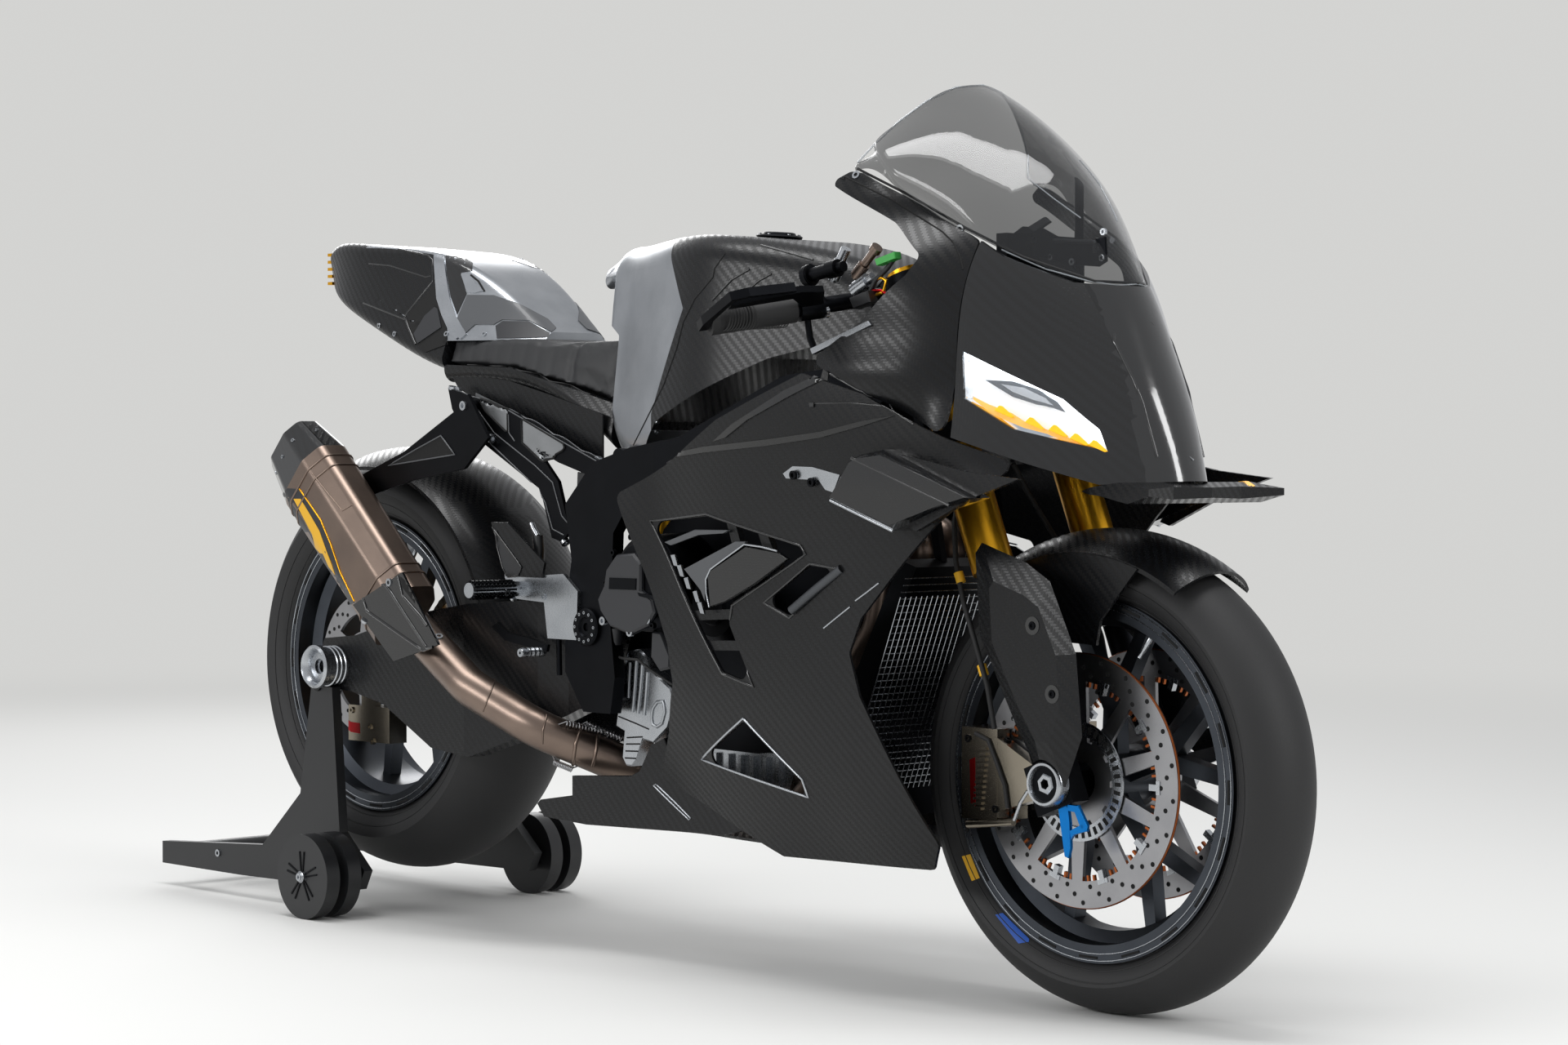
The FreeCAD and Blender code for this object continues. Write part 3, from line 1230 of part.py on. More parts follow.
HEADER_SHARES = [(0.675, 0.510), (0.714, 0.503), (0.700, 0.400), (0.653, 0.330), (0.642, 0.240),
                 (0.600, 0.188), (0.500, 0.188)]
COLLECTOR_SHARES = [(0.500, 0.39, 0.170, 0.203), (0.470, 0.30, 0.166, 0.203),
                    (0.440, 0.13, 0.163, 0.203)]


def tube_along(points, radius, bend):
    """Round bar along straight runs joined by tangent arcs."""
    edges = []
    start = points[0]
    for before, corner, after in zip(points, points[1:], points[2:]):
        back = (before - corner).normalize()
        on = (after - corner).normalize()
        turn = back.getAngle(on)
        reach = min(bend / math.tan(turn * 0.5), (before - corner).Length * 0.45,
                    (after - corner).Length * 0.45)
        enter = corner + back * reach
        leave = corner + on * reach
        fitted = reach * math.tan(turn * 0.5)
        bisector = (back + on).normalize()
        middle = corner + bisector * (reach / math.cos(turn * 0.5) - fitted)
        edges.append(Part.LineSegment(start, enter).toShape())
        edges.append(Part.Arc(enter, middle, leave).toShape())
        start = leave
    edges.append(Part.LineSegment(start, points[-1]).toShape())
    path = Part.Wire(edges)
    ring = Part.Wire(Part.makeCircle(float(radius), points[0], points[1] - points[0]))
    return path.makePipeShell([ring], True, False)


def header():
    """Four pipes from the cylinders down and back to the collector."""
    wires = []
    for along, half, low, high in COLLECTOR_SHARES:
        wires.append(section(ahead(along), level(low), level(high), aside(half), aside(half),
                             sizes.header_radius * 0.8))
    whole = Part.makeLoft(wires, True, False)
    for out in (-0.30, -0.10, 0.10, 0.30):
        points = [Vector(ahead(along), aside(out), level(up)) for along, up in HEADER_SHARES]
        pipe = tube_along(points, sizes.header_radius, float(sizes.header_radius) * 3)
        whole = whole.fuse(pipe.cut(side_prism(ENGINE_SHARES)))
    return whole.removeSplitter()


header_shape = header()
node("exhaust_header", feature("header_set", header_shape))

LINK_SHARES = [(0.4400, 0.0, 0.1830), (0.400, 0.0, 0.188), (0.360, 0.436, 0.225),
               (0.320, 0.871, 0.265), (0.250, 1.016, 0.310), (0.160, 0.995, 0.382)]
muffler_middle = sizes.muffler_inner + sizes.muffler_width * 0.5
link_points = [Vector(ahead(along), -muffler_middle * out, level(up))
               for along, out, up in LINK_SHARES]
link_tube = tube_along(link_points, sizes.link_radius, float(sizes.link_radius) * 3)
node("link_pipe", feature("link_tube", link_tube.cut(header_shape)))

MUFFLER_FRONT_SHARES = (0.150, 0.392)
MUFFLER_REAR_SHARES = (0.010, 0.565)
MUFFLER_END_SHARES = (-0.025, 0.605)


def muffler_section(shares, scale):
    """Six-sided section across the can's axis."""
    rear = Vector(ahead(MUFFLER_REAR_SHARES[0]), 0, level(MUFFLER_REAR_SHARES[1]))
    front = Vector(ahead(MUFFLER_FRONT_SHARES[0]), 0, level(MUFFLER_FRONT_SHARES[1]))
    run = (front - rear).normalize()
    across = Vector(-run.z, 0, run.x)
    centre = Vector(ahead(shares[0]), -sizes.muffler_inner - sizes.muffler_width * 0.5,
                    level(shares[1]))
    half_width = float(sizes.muffler_width) * 0.5 * scale
    half_height = float(sizes.muffler_height) * 0.5 * scale
    corners = []
    for out, up in ((1, 0.5), (0.55, 1), (-0.55, 1), (-1, 0.5), (-1, -0.5), (-0.55, -1),
                    (0.55, -1), (1, -0.5)):
        corners.append(centre + LEFT * (half_width * out) + across * (half_height * up))
    return rounded(corners, half_width * 0.4)


muffler_can = Part.makeLoft([muffler_section(MUFFLER_FRONT_SHARES, 0.95),
                             muffler_section(MUFFLER_REAR_SHARES, 1.0)], True, True)
node("muffler", feature("muffler_can", muffler_can))
muffler_cap = Part.makeLoft([muffler_section(MUFFLER_REAR_SHARES, 1.0),
                             muffler_section(MUFFLER_END_SHARES, 0.78)], True, True)
cap_start = Vector(ahead(MUFFLER_END_SHARES[0]), -sizes.muffler_inner - sizes.muffler_width * 0.5,
                   level(MUFFLER_END_SHARES[1]))
cap_run = Vector(ahead(MUFFLER_REAR_SHARES[0]), 0, level(MUFFLER_REAR_SHARES[1]))
cap_run = (cap_run - Vector(cap_start.x, 0, cap_start.z)).normalize()
outlet = Part.makeCylinder(float(sizes.link_radius) * 0.95, float(sizes.muffler_width) * 0.6,
                           cap_start - cap_run * float(sizes.link_radius), cap_run)
node("muffler_end_cap", feature("muffler_cap", muffler_cap.cut(outlet)))

# Steering: drawn in the frame of the steering axis


def fork_clamp(name, height):
    """Clamp across both fork tubes, on the stem."""
    body = new_body(name)
    reach = sizes.clamp_reach
    bore = sizes.outer_tube_radius + sizes.seat_gap
    depth = sizes.outer_tube_radius * 1.4
    pad(body, name + "_plate", "XY_Plane", [[
        (-depth * 0.5, -reach), (sizes.fork_ahead + depth, -reach),
        (sizes.fork_ahead + depth, reach), (-depth * 0.5, reach), (-depth, 0)]],
        sizes.clamp_thickness, circles=[(sizes.fork_ahead, sizes.fork_spread, bore),
                                        (sizes.fork_ahead, -sizes.fork_spread, bore)])
    return place(body, 0, 0, height)


lower_clamp = fork_clamp("lower_clamp", lower_clamp_level)
upper_clamp = fork_clamp("upper_clamp", upper_clamp_level)
stem = bind(doc.addObject("Part::Cylinder", "stem"), Radius=sizes.stem_radius,
            Height=upper_clamp_level - lower_clamp_level + sizes.clamp_thickness)
place(stem, 0, 0, lower_clamp_level)
clamps = fuse("clamp_set", lower_clamp, upper_clamp, stem)
node("fork_clamps", steer_place(clamps))


def fork_leg():
    """Right leg: slider below, outer tube above."""
    body = new_body("fork_leg")
    foot = sizes.fork_foot_half + sizes.seat_gap
    revolve(body, "leg_profile", [
        (0, foot), (sizes.stanchion_radius, foot),
        (sizes.stanchion_radius, sizes.outer_tube_foot),
        (sizes.outer_tube_radius, sizes.outer_tube_foot),
        (sizes.outer_tube_radius, sizes.fork_top), (0, sizes.fork_top)],
        role="XZ_Plane", axis="V_Axis")
    return place(body, sizes.fork_ahead, -sizes.fork_spread, 0)


leg = fork_leg()
fork_legs = gather("fork_leg_set", leg, mirror(leg))
node("fork_tubes", steer_place(fork_legs))

axle_bar = cylinder("front_axle_bar", sizes.axle_radius, sizes.axle_half * 2, 0, sizes.axle_trail,
                    0)
foot_block = box("fork_foot", sizes.fork_foot_half * 2, sizes.fork_foot_width,
                 sizes.fork_foot_half * 2, sizes.fork_ahead, -sizes.fork_spread, 0)
foot_ring = cylinder("axle_ring", sizes.axle_nut_radius,
                     sizes.axle_half - sizes.fork_spread,
                     -(sizes.axle_half + sizes.fork_spread) * 0.5, sizes.axle_trail, 0)
axle_whole = fuse("front_axle_whole", axle_bar, foot_block, foot_ring, mirror(foot_block),
                  mirror(foot_ring))
axle_bore_tool = cylinder("front_axle_bore", sizes.axle_bore, sizes.axle_half * 2.2, 0,
                          sizes.axle_trail, 0)
front_axle = cut("front_axle_tube", axle_whole, axle_bore_tool)
node("front_axle", steer_place(front_axle))

sweep = float(sizes.bar_sweep)
bar_level = upper_clamp_level + sizes.clamp_thickness + sizes.seat_gap
bar_ring = bind(doc.addObject("Part::Cylinder", "bar_ring"),
                Radius=sizes.outer_tube_radius + sizes.bar_radius,
                Height=sizes.bar_ring_height)
place(bar_ring, sizes.fork_ahead, -sizes.fork_spread, bar_level)
bar_ring_bore = bind(doc.addObject("Part::Cylinder", "bar_ring_bore"),
                     Radius=sizes.outer_tube_radius + sizes.seat_gap,
                     Height=sizes.fork_top + sizes.overrun)
place(bar_ring_bore, sizes.fork_ahead, -sizes.fork_spread, 0)
clip_ahead = sizes.fork_ahead - sizes.outer_tube_radius * 0.6
clip_level = bar_level + sizes.bar_ring_height * 0.5


def on_bar(obj):
    """Turn a piece drawn along Y so that it lies along the right handlebar."""
    return place(obj, clip_ahead, -sizes.fork_spread, clip_level, UP, -sizes.bar_sweep)


clip_bar = bind(doc.addObject("Part::Cylinder", "clip_bar"), Radius=sizes.bar_radius,
                Height=sizes.bar_length)
place(clip_bar, clip_ahead, -sizes.fork_spread, clip_level,
      Vector(math.cos(math.radians(sweep)), -math.sin(math.radians(sweep)), 0), 90)
clip_on = cut("clip_on", fuse("clip_whole", bar_ring, clip_bar), bar_ring_bore)
handlebars = gather("handlebar_set", clip_on, mirror(clip_on))
node("handlebars", steer_place(handlebars))

grip_body = new_body("grip")
revolve(grip_body, "grip_sleeve", [
    (-sizes.bar_length, sizes.bar_radius + sizes.seat_gap),
    (-sizes.bar_length, sizes.grip_radius),
    (-sizes.bar_length + sizes.grip_length, sizes.grip_radius),
    (-sizes.bar_length + sizes.grip_length, sizes.bar_radius + sizes.seat_gap)])
on_bar(grip_body)
node("grips", steer_place(gather("grip_set", grip_body, mirror(grip_body))))

# Levers with their cylinders, and the guards at the bar ends

perch_y = sizes.bar_length - sizes.grip_length - sizes.perch_width * 0.5 - sizes.running_gap


def lever_set():
    """Perch clamped on the bar, master cylinder and a flat lever."""
    body = new_body("lever_set")
    ring = sizes.bar_radius + sizes.plate_wall
    revolve(body, "perch_ring", [
        (-perch_y - sizes.perch_width * 0.5, sizes.bar_radius + sizes.seat_gap),
        (-perch_y - sizes.perch_width * 0.5, ring), (-perch_y + sizes.perch_width * 0.5, ring),
        (-perch_y + sizes.perch_width * 0.5, sizes.bar_radius + sizes.seat_gap)])
    reach = sizes.lever_reach
    pad(body, "lever_blade", "XY_Plane", [[
        (ring * 0.8, -perch_y + sizes.perch_width * 0.4), (reach, -perch_y),
        (reach + sizes.plate_wall * 2, -perch_y - sizes.perch_width),
        (reach, -sizes.bar_length + sizes.plate_wall * 2),
        (reach - sizes.plate_wall * 2, -sizes.bar_length + sizes.plate_wall * 2),
        (reach - sizes.plate_wall * 1.5, -perch_y - sizes.perch_width * 1.2),
        (ring * 0.8, -perch_y - sizes.perch_width * 0.4)]], sizes.plate_wall * 1.5, middle=True)
    return on_bar(body)


levers = lever_set()
node("levers", steer_place(gather("lever_pair", levers, mirror(levers))))


def lever_guard():
    """Bent blade from the bar end forward round the lever's tip."""
    body = new_body("lever_guard")
    end = sizes.bar_length + sizes.seat_gap
    wall = sizes.plate_wall
    reach = sizes.lever_reach + sizes.grip_radius * 1.4
    pad(body, "guard_blade", "XY_Plane", [[
        (-sizes.bar_radius, -end), (-sizes.bar_radius, -end - wall * 2),
        (sizes.bar_radius, -end - wall * 2), (reach, -end + wall), (reach + wall, -end + wall * 5),
        (reach, -end + sizes.grip_length * 0.8), (reach - wall, -end + sizes.grip_length * 0.8),
        (reach, -end + wall * 5), (reach - wall, -end + wall * 2),
        (sizes.grip_radius * 1.2, -end)]],
        sizes.plate_wall * 2, middle=True)
    return on_bar(body)


guard = lever_guard()
node("lever_guards", steer_place(gather("guard_pair", guard, mirror(guard))))

# Front brake calipers and the covers of the fork feet

caliper_turn = float(sizes.caliper_angle)
caliper_middle = sizes.front_disc_radius - sizes.front_disc_band * 0.5
caliper_block = bind(doc.addObject("Part::Box", "caliper_block"), Length=sizes.caliper_height,
                     Width=sizes.caliper_width, Height=sizes.caliper_length)
cal_dir = Vector(math.cos(math.radians(caliper_turn)), 0, math.sin(math.radians(caliper_turn)))
cal_across = Vector(-cal_dir.z, 0, cal_dir.x)
caliper_y = -sizes.front_disc_offset - sizes.disc_thickness * 0.5 - sizes.caliper_width * 0.5
caliper_base = (Vector(sizes.axle_trail, caliper_y, 0)
                + cal_dir * float(caliper_middle - sizes.caliper_height * 0.45)
                - cal_across * float(sizes.caliper_length * 0.5))
caliper_block.Placement = Placement(caliper_base, Rotation(LEFT, -caliper_turn))
disc_room = cylinder("disc_room", sizes.front_disc_radius + sizes.running_gap,
                     sizes.disc_thickness + sizes.running_gap * 1.4,
                     -sizes.front_disc_offset - sizes.disc_thickness * 0.5, sizes.axle_trail, 0)
CALIPER_LUG_SHARES = [(-0.0119, -0.010), (-0.0119, 0.045), (-0.086, 0.129), (-0.136, 0.000)]
caliper_lug = new_body("caliper_lug")
pad(caliper_lug, "caliper_lug_outline", "XZ_Plane",
    [[(sizes.fork_top * along, sizes.fork_top * up) for along, up in CALIPER_LUG_SHARES]],
    sizes.stand_tube * 1.25)
place(caliper_lug, 0, -sizes.front_disc_offset - sizes.disc_thickness - sizes.running_gap * 1.2, 0)
caliper = cut("caliper", fuse("caliper_whole", caliper_block, caliper_lug), disc_room)
node("front_calipers", steer_place(gather("caliper_pair", caliper, mirror(caliper))))

FORK_COVER_SHARES = [(0.040, 0.440), (0.062, 0.452), (0.150, 0.380), (0.190, 0.330),
                     (0.200, 0.190), (0.160, 0.050), (0.090, -0.020), (0.045, 0.000),
                     (0.020, 0.110), (-0.005, 0.300)]
FORK_FACE_SHARE = 0.66
FORK_FACE_CENTRE = (0.100, 0.220)


def fork_cover():
    """Faceted shield beside the slider, on two bosses of the leg."""
    wires = []
    for narrowing, out in ((1, sizes.cover_offset - sizes.panel_wall),
                           (FORK_FACE_SHARE, sizes.cover_offset + sizes.plate_wall)):
        corners = []
        for along, up in FORK_COVER_SHARES:
            along = FORK_FACE_CENTRE[0] + (along - FORK_FACE_CENTRE[0]) * narrowing
            up = FORK_FACE_CENTRE[1] + (up - FORK_FACE_CENTRE[1]) * narrowing
            corners.append(Vector(sizes.fork_top * along, -out, sizes.fork_top * up))
        wires.append(Part.makePolygon(corners + corners[:1]))
    return feature("fork_cover", Part.makeLoft(wires, True, True))


cover_plate = fork_cover()
boss_start = sizes.fork_spread + sizes.stanchion_radius + sizes.seat_gap
bosses = [cylinder(f"cover_boss_{index}", sizes.plate_wall, sizes.cover_offset - boss_start,
                   -(sizes.cover_offset + boss_start) * 0.5, sizes.fork_ahead,
                   sizes.fork_top * share)
          for index, share in enumerate((0.20, 0.30), start=1)]
ring_room = cylinder("ring_room", sizes.axle_nut_radius + sizes.running_gap, aside(1), -aside(0.5),
                     sizes.axle_trail, 0)
cover = cut("cover_notched", fuse("cover_whole", cover_plate, *bosses), ring_room)
node("fork_covers", steer_place(gather("cover_pair", cover, mirror(cover))))


def tyre_sheet(radius, half, wall, angles):
    """Curved sheet over a tyre, turned about the wheel's axle between two angles."""
    edge = radius * 0.9
    points = [Vector(0, -half, edge), Vector(0, 0, radius), Vector(0, half, edge),
              Vector(0, half, edge + wall * 1.4), Vector(0, 0, radius + wall),
              Vector(0, -half, edge + wall * 1.4)]
    face = Part.Face(Part.Wire([
        Part.Arc(points[0], points[1], points[2]).toShape(),
        Part.LineSegment(points[2], points[3]).toShape(),
        Part.Arc(points[3], points[4], points[5]).toShape(),
        Part.LineSegment(points[5], points[0]).toShape()]))
    first, last = angles
    face.rotate(Vector(0, 0, 0), LEFT, 90 - last)
    return face.revolve(Vector(0, 0, 0), LEFT, last - first)


MUDGUARD_ANGLES = (57, 122)
MUDGUARD_SIDE_SHARES = [(0.985, 0.500), (0.972, 0.476), (0.933, 0.419), (0.929, 0.393),
                        (0.890, 0.395), (0.828, 0.462), (0.840, 0.520)]
guard_shape = tyre_sheet(sizes.front_tyre_radius + sizes.running_gap * 2.6,
                         sizes.front_tyre_half + sizes.running_gap * 2.2, sizes.panel_wall,
                         MUDGUARD_ANGLES)
guard_shape.translate(Vector(front_x, 0, sizes.front_axle_height))
guard_side = new_body("mudguard_side")
pad(guard_side, "mudguard_side_outline", "XZ_Plane", [side_view(MUDGUARD_SIDE_SHARES)],
    sizes.panel_wall * 1.2)
place(guard_side, 0, -sizes.front_tyre_half - sizes.running_gap * 1.8, 0)
guard_reach = cylinder("mudguard_reach", (sizes.front_tyre_radius + sizes.running_gap * 2.6) * 0.9
                       + sizes.panel_wall, aside(1), 0, front_x, sizes.front_axle_height)
guard_skirt = common("mudguard_skirt", guard_side, guard_reach)
guard_lug_start = sizes.front_tyre_half + sizes.running_gap * 1.6
guard_lug_end = sizes.fork_spread - sizes.outer_tube_radius - sizes.seat_gap
guard_lug_level = sizes.front_tyre_radius - sizes.running_gap * 2
guard_lug = cylinder("mudguard_lug", sizes.plate_wall * 1.2, guard_lug_end - guard_lug_start,
                     -(guard_lug_end + guard_lug_start) * 0.5, sizes.fork_ahead, guard_lug_level)
guard_lugs = steer_place(gather("mudguard_lugs", guard_lug, mirror(guard_lug)))
node("front_mudguard", fuse("mudguard_whole", feature("mudguard_sheet", guard_shape), guard_skirt,
                            mirror(guard_skirt), guard_lugs))

# Paddock stand

stand_x = stand_point(0.10444, 0)[0]
STAND_ARM_SHARES = [(-0.1086, 0.9149), (0.0334, 0.9149), (0.0836, 0.329), (0.2507, 0.188),
                    (0.2089, 0.1097), (-0.6266, 0.094), (-1.2115, 0.094), (-1.2115, 0.188),
                    (-0.4595, 0.235), (-0.188, 0.47)]
stand_arm = new_body("stand_arm")
pad(stand_arm, "stand_arm_outline", "XZ_Plane",
    [[stand_point(along, up) for along, up in STAND_ARM_SHARES]], sizes.stand_tube)
place(stand_arm, 0, -sizes.stand_arm_inner, 0)
spindle_end = (sizes.stand_wheel_offset + sizes.stand_wheel_gap * 0.5 + sizes.stand_wheel_width
               + sizes.running_gap)
stand_spindle = cylinder("stand_spindle", sizes.stand_tube * 0.5,
                         spindle_end - sizes.stand_arm_inner,
                         -(spindle_end + sizes.stand_arm_inner) * 0.5, stand_x,
                         sizes.stand_wheel_radius)
spool_room = cylinder("spool_room", sizes.spool_radius + sizes.seat_gap, aside(2), 0,
                      *arm_point(*SPOOL_SHARES))
stand_bar = cylinder("stand_bar", sizes.stand_tube, sizes.stand_arm_inner * 2.05, 0,
                     *stand_point(-1.12794, 0.14099))
node("stand_frame", cut("stand_frame_notched", fuse(
    "stand_whole", stand_arm, mirror(stand_arm), stand_bar, stand_spindle,
    mirror(stand_spindle)), spool_room))


def stand_wheels(name):
    """Twin wheels on one spindle, on the right."""
    body = new_body(name)
    bore = sizes.stand_tube * 0.5 + sizes.bearing_gap
    half = sizes.stand_wheel_gap * 0.5
    outer = half + sizes.stand_wheel_width
    radius = sizes.stand_wheel_radius
    neck = sizes.stand_tube
    revolve(body, name + "_pair", [
        (-outer, bore), (-outer, radius), (-half, radius), (-half, neck), (half, neck),
        (half, radius), (outer, radius), (outer, bore)])
    return place(body, stand_x, -sizes.stand_wheel_offset, sizes.stand_wheel_radius)


right_wheels = stand_wheels("stand_wheels")
node("stand_wheels_right", right_wheels)
node("stand_wheels_left", mirror(right_wheels))

# Rear brake, hugger, shock absorber and instrument stay

REAR_CALIPER_SHARES = (0.0323, -0.1546)
rear_caliper_x, rear_caliper_z = arm_point(*REAR_CALIPER_SHARES)
rear_caliper_block = box("rear_caliper_block", sizes.caliper_length * 0.9,
                         sizes.arm_inner - sizes.rear_rim_half - sizes.seat_gap * 12,
                         sizes.caliper_height * 0.9, rear_caliper_x,
                         -(sizes.arm_inner - sizes.seat_gap + sizes.rear_rim_half
                           + sizes.seat_gap * 11) * 0.5, rear_caliper_z)
rear_disc_room = cylinder("rear_disc_room", sizes.rear_disc_radius + sizes.running_gap,
                          sizes.disc_thickness + sizes.running_gap * 1.4,
                          -sizes.rear_disc_offset - sizes.disc_thickness * 0.5, rear_x,
                          sizes.rear_axle_height)
rear_caliper_arm = box("rear_caliper_arm", sizes.caliper_height * 0.6, sizes.running_gap * 1.9,
                       sizes.caliper_height * 1.3, rear_caliper_x,
                       -(sizes.arm_inner - sizes.seat_gap - sizes.running_gap * 0.95),
                       rear_caliper_z + sizes.caliper_height * 0.65)
node("rear_caliper", cut("rear_caliper_cut", fuse("rear_caliper_whole", rear_caliper_block,
                                                  rear_caliper_arm), rear_disc_room))

HUGGER_ANGLES = (14, 100)
HUGGER_LUG_ANGLE = 17


hugger_sheet = tyre_sheet(sizes.rear_tyre_radius + sizes.running_gap * 2.4,
                          sizes.rear_tyre_half + sizes.running_gap * 0.6, sizes.panel_wall,
                          HUGGER_ANGLES)
hugger_sheet.translate(Vector(rear_x, 0, sizes.rear_axle_height))
lug_angle = math.radians(HUGGER_LUG_ANGLE)
lug_radius = (sizes.rear_tyre_radius + sizes.running_gap * 2.4) * 0.91
lug_start = sizes.rear_tyre_half + sizes.running_gap - sizes.panel_wall
hugger_lug = cylinder("hugger_lug", sizes.plate_wall, sizes.arm_inner - sizes.seat_gap - lug_start,
                      -(sizes.arm_inner - sizes.seat_gap + lug_start) * 0.5,
                      rear_x + lug_radius * math.cos(lug_angle),
                      sizes.rear_axle_height + lug_radius * math.sin(lug_angle))
node("rear_hugger", fuse("hugger_whole", feature("hugger_sheet", hugger_sheet), hugger_lug))

shock_top = Vector(ahead(SHOCK_TOP_SHARES[0]), 0, level(SHOCK_TOP_SHARES[1]))
foot_x, foot_z = arm_point(*SHOCK_FOOT_SHARES)
shock_foot = Vector(foot_x, 0, foot_z)


def shock():
    """Damper body, spring sleeve and eye between the swingarm and the cross tube."""
    run = (shock_top - shock_foot).normalize()
    length = shock_top.distanceToPoint(shock_foot)
    spring = Part.makeCylinder(float(sizes.header_radius * 1.3), length * 0.62,
                               shock_foot + run * length * 0.12, run)
    rod = Part.makeCylinder(float(sizes.axle_radius), length * 0.94, shock_foot, run)
    eye_room = Part.makeCylinder(float(sizes.axle_radius + sizes.seat_gap),
                                 float(aside(1)), shock_top - LEFT * float(aside(0.5)), LEFT)
    return spring.fuse(rod).cut(eye_room).removeSplitter()


node("shock_absorber", feature("shock_body", shock()))

STAY_ARM_SHARES = (0.838, 0.755)
SCREEN_PEG_SHARES = (0.870, 0.741)
STAY_SHARES = [(0.768, 0.711), (0.800, 0.713), (0.830, 0.722), (0.856, 0.738), (0.950, 0.728),
               (0.950, 0.742), (0.862, 0.750), (0.850, 0.790), (0.832, 0.815),
               (0.822, 0.808), (0.836, 0.776), (0.838, 0.752), (0.812, 0.735), (0.764, 0.731)]
stay = new_body("instrument_stay")
pad(stay, "stay_side", "XZ_Plane", [side_view(STAY_SHARES)], aside(0.18), middle=True)
stay_room = bind(doc.addObject("Part::Cylinder", "stay_room"),
                 Radius=sizes.head_radius + sizes.seat_gap, Height=body_height)
steer_place(stay_room)
dash = box("dash", sizes.plate_wall * 3, aside(0.5), level(0.055), ahead(0.829), 0, level(0.800))
nose_room = nose_shell(float(aside(1)), -lamp_face)
screen_room = screen_surface()
screen_room.translate(screen_inward + screen_inward * (float(sizes.seat_gap)
                                                       / float(sizes.panel_wall)))
screen_room = screen_room.extrude(Vector(0, 0, float(aside(1))))
stay_arm = Part.makeCylinder(float(sizes.plate_wall), float(aside(1)),
                             Vector(ahead(STAY_ARM_SHARES[0]), 0, level(STAY_ARM_SHARES[1])),
                             -LEFT).common(room_inside(UPPER_GRID_SHARES))
arm = feature("stay_arm_right", stay_arm)
screen_peg = Part.makeCylinder(float(sizes.plate_wall), float(aside(0.7)), Vector(
    ahead(SCREEN_PEG_SHARES[0]), 0, level(SCREEN_PEG_SHARES[1])), UP)
stay_parts = fuse("stay_whole", stay, dash, arm, mirror(arm), feature("screen_peg", screen_peg))
stay_less_room = cut("stay_less_room", stay_parts, stay_room)
stay_less_nose = cut("stay_less_nose", stay_less_room, feature("nose_room", nose_room))
node("instrument_stay", cut("stay_clear", stay_less_nose, feature("screen_room", screen_room)))

HEAT_SHIELD_SHARES = [(0.108, 0.405), (0.184, 0.448), (0.238, 0.362), (0.171, 0.338)]
heat_shield = new_body("heat_shield")
pad(heat_shield, "heat_shield_outline", "XZ_Plane", [side_view(HEAT_SHIELD_SHARES)],
    sizes.panel_wall)
node("heat_shield", place(heat_shield, 0,
                          -sizes.muffler_inner - sizes.muffler_width * 0.985 - sizes.seat_gap, 0))

TAIL_FIN_COUNT = 5
fins = []
for index in range(TAIL_FIN_COUNT):
    fin = box(f"tail_fin_{index + 1}", sizes.plate_wall * 2, sizes.plate_wall * 3,
              sizes.plate_wall * 0.8,
              ahead(TAIL_LOFT_SHARES[0][0]) - sizes.plate_wall - sizes.seat_gap,
              -aside(0.19), level(0.822 + index * 0.0095))
    fins.extend([fin, mirror(fin)])
node("tail_fins", gather("tail_fin_set", *fins))

# Front brake hoses, from the calipers up to the lower clamp

HOSE_ROUTE = [(-44, -112, 96), (-30, -118, 150), (-26, -122, 205), (-28, -120, 262),
              (-32, -108, 318), (-34, -88, 372), (-30, -64, 416), (-22, -44, 449.8)]
hose_shape = tube_along([Vector(*point) for point in HOSE_ROUTE], sizes.hose_radius,
                        float(sizes.stanchion_radius) * 2)
hose = feature("brake_hose", hose_shape)
node("brake_hoses", steer_place(gather("hose_pair", hose, mirror(hose))))

# Build, test and write

doc.recompute()
for item in doc.Objects:
    if "Invalid" in item.State or "Error" in item.State:
        raise RuntimeError(f"{item.Name} failed: {item.State}")
os.makedirs("parts", exist_ok=True)
for name, item in NODES.items():
    shape = item.Shape
    if shape.isNull() or not shape.isValid() or not shape.Solids:
        raise RuntimeError(f"{name} has no valid solid")
    shape.exportStep(f"parts/{name}.step")
    print(name, len(shape.Solids), round(shape.Volume))
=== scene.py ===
"""Dress the sport bike on its paddock stand: finishes, fasteners, lamps, chain, seat and studio."""

import logging
import math
import time
from dataclasses import dataclass
from enum import Enum
from typing import Callable, Iterable, Sequence

import bmesh
import bpy
from mathutils import Matrix, Vector
from mathutils.bvhtree import BVHTree


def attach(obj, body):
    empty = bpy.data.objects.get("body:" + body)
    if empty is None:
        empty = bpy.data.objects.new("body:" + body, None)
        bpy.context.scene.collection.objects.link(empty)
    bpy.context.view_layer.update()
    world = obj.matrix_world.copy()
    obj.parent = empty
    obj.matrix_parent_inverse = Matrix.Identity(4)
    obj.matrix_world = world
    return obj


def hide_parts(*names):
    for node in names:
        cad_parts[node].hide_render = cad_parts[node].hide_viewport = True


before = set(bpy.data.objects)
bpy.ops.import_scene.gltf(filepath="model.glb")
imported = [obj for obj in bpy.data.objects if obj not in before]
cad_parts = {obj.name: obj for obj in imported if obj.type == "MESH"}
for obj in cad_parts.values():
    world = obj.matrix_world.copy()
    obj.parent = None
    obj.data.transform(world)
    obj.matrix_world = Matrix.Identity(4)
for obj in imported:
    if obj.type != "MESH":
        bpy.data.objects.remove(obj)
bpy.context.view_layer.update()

LOG = logging.getLogger("sport_bike")
MM = 0.001
FRONT_AXLE = (0.8046, 0.0, 0.3)
REAR_AXLE = (-0.65, 0.0, 0.383)
RAKE = math.radians(21.8)
STEER_FOOT = (0.77582, 0.28849)
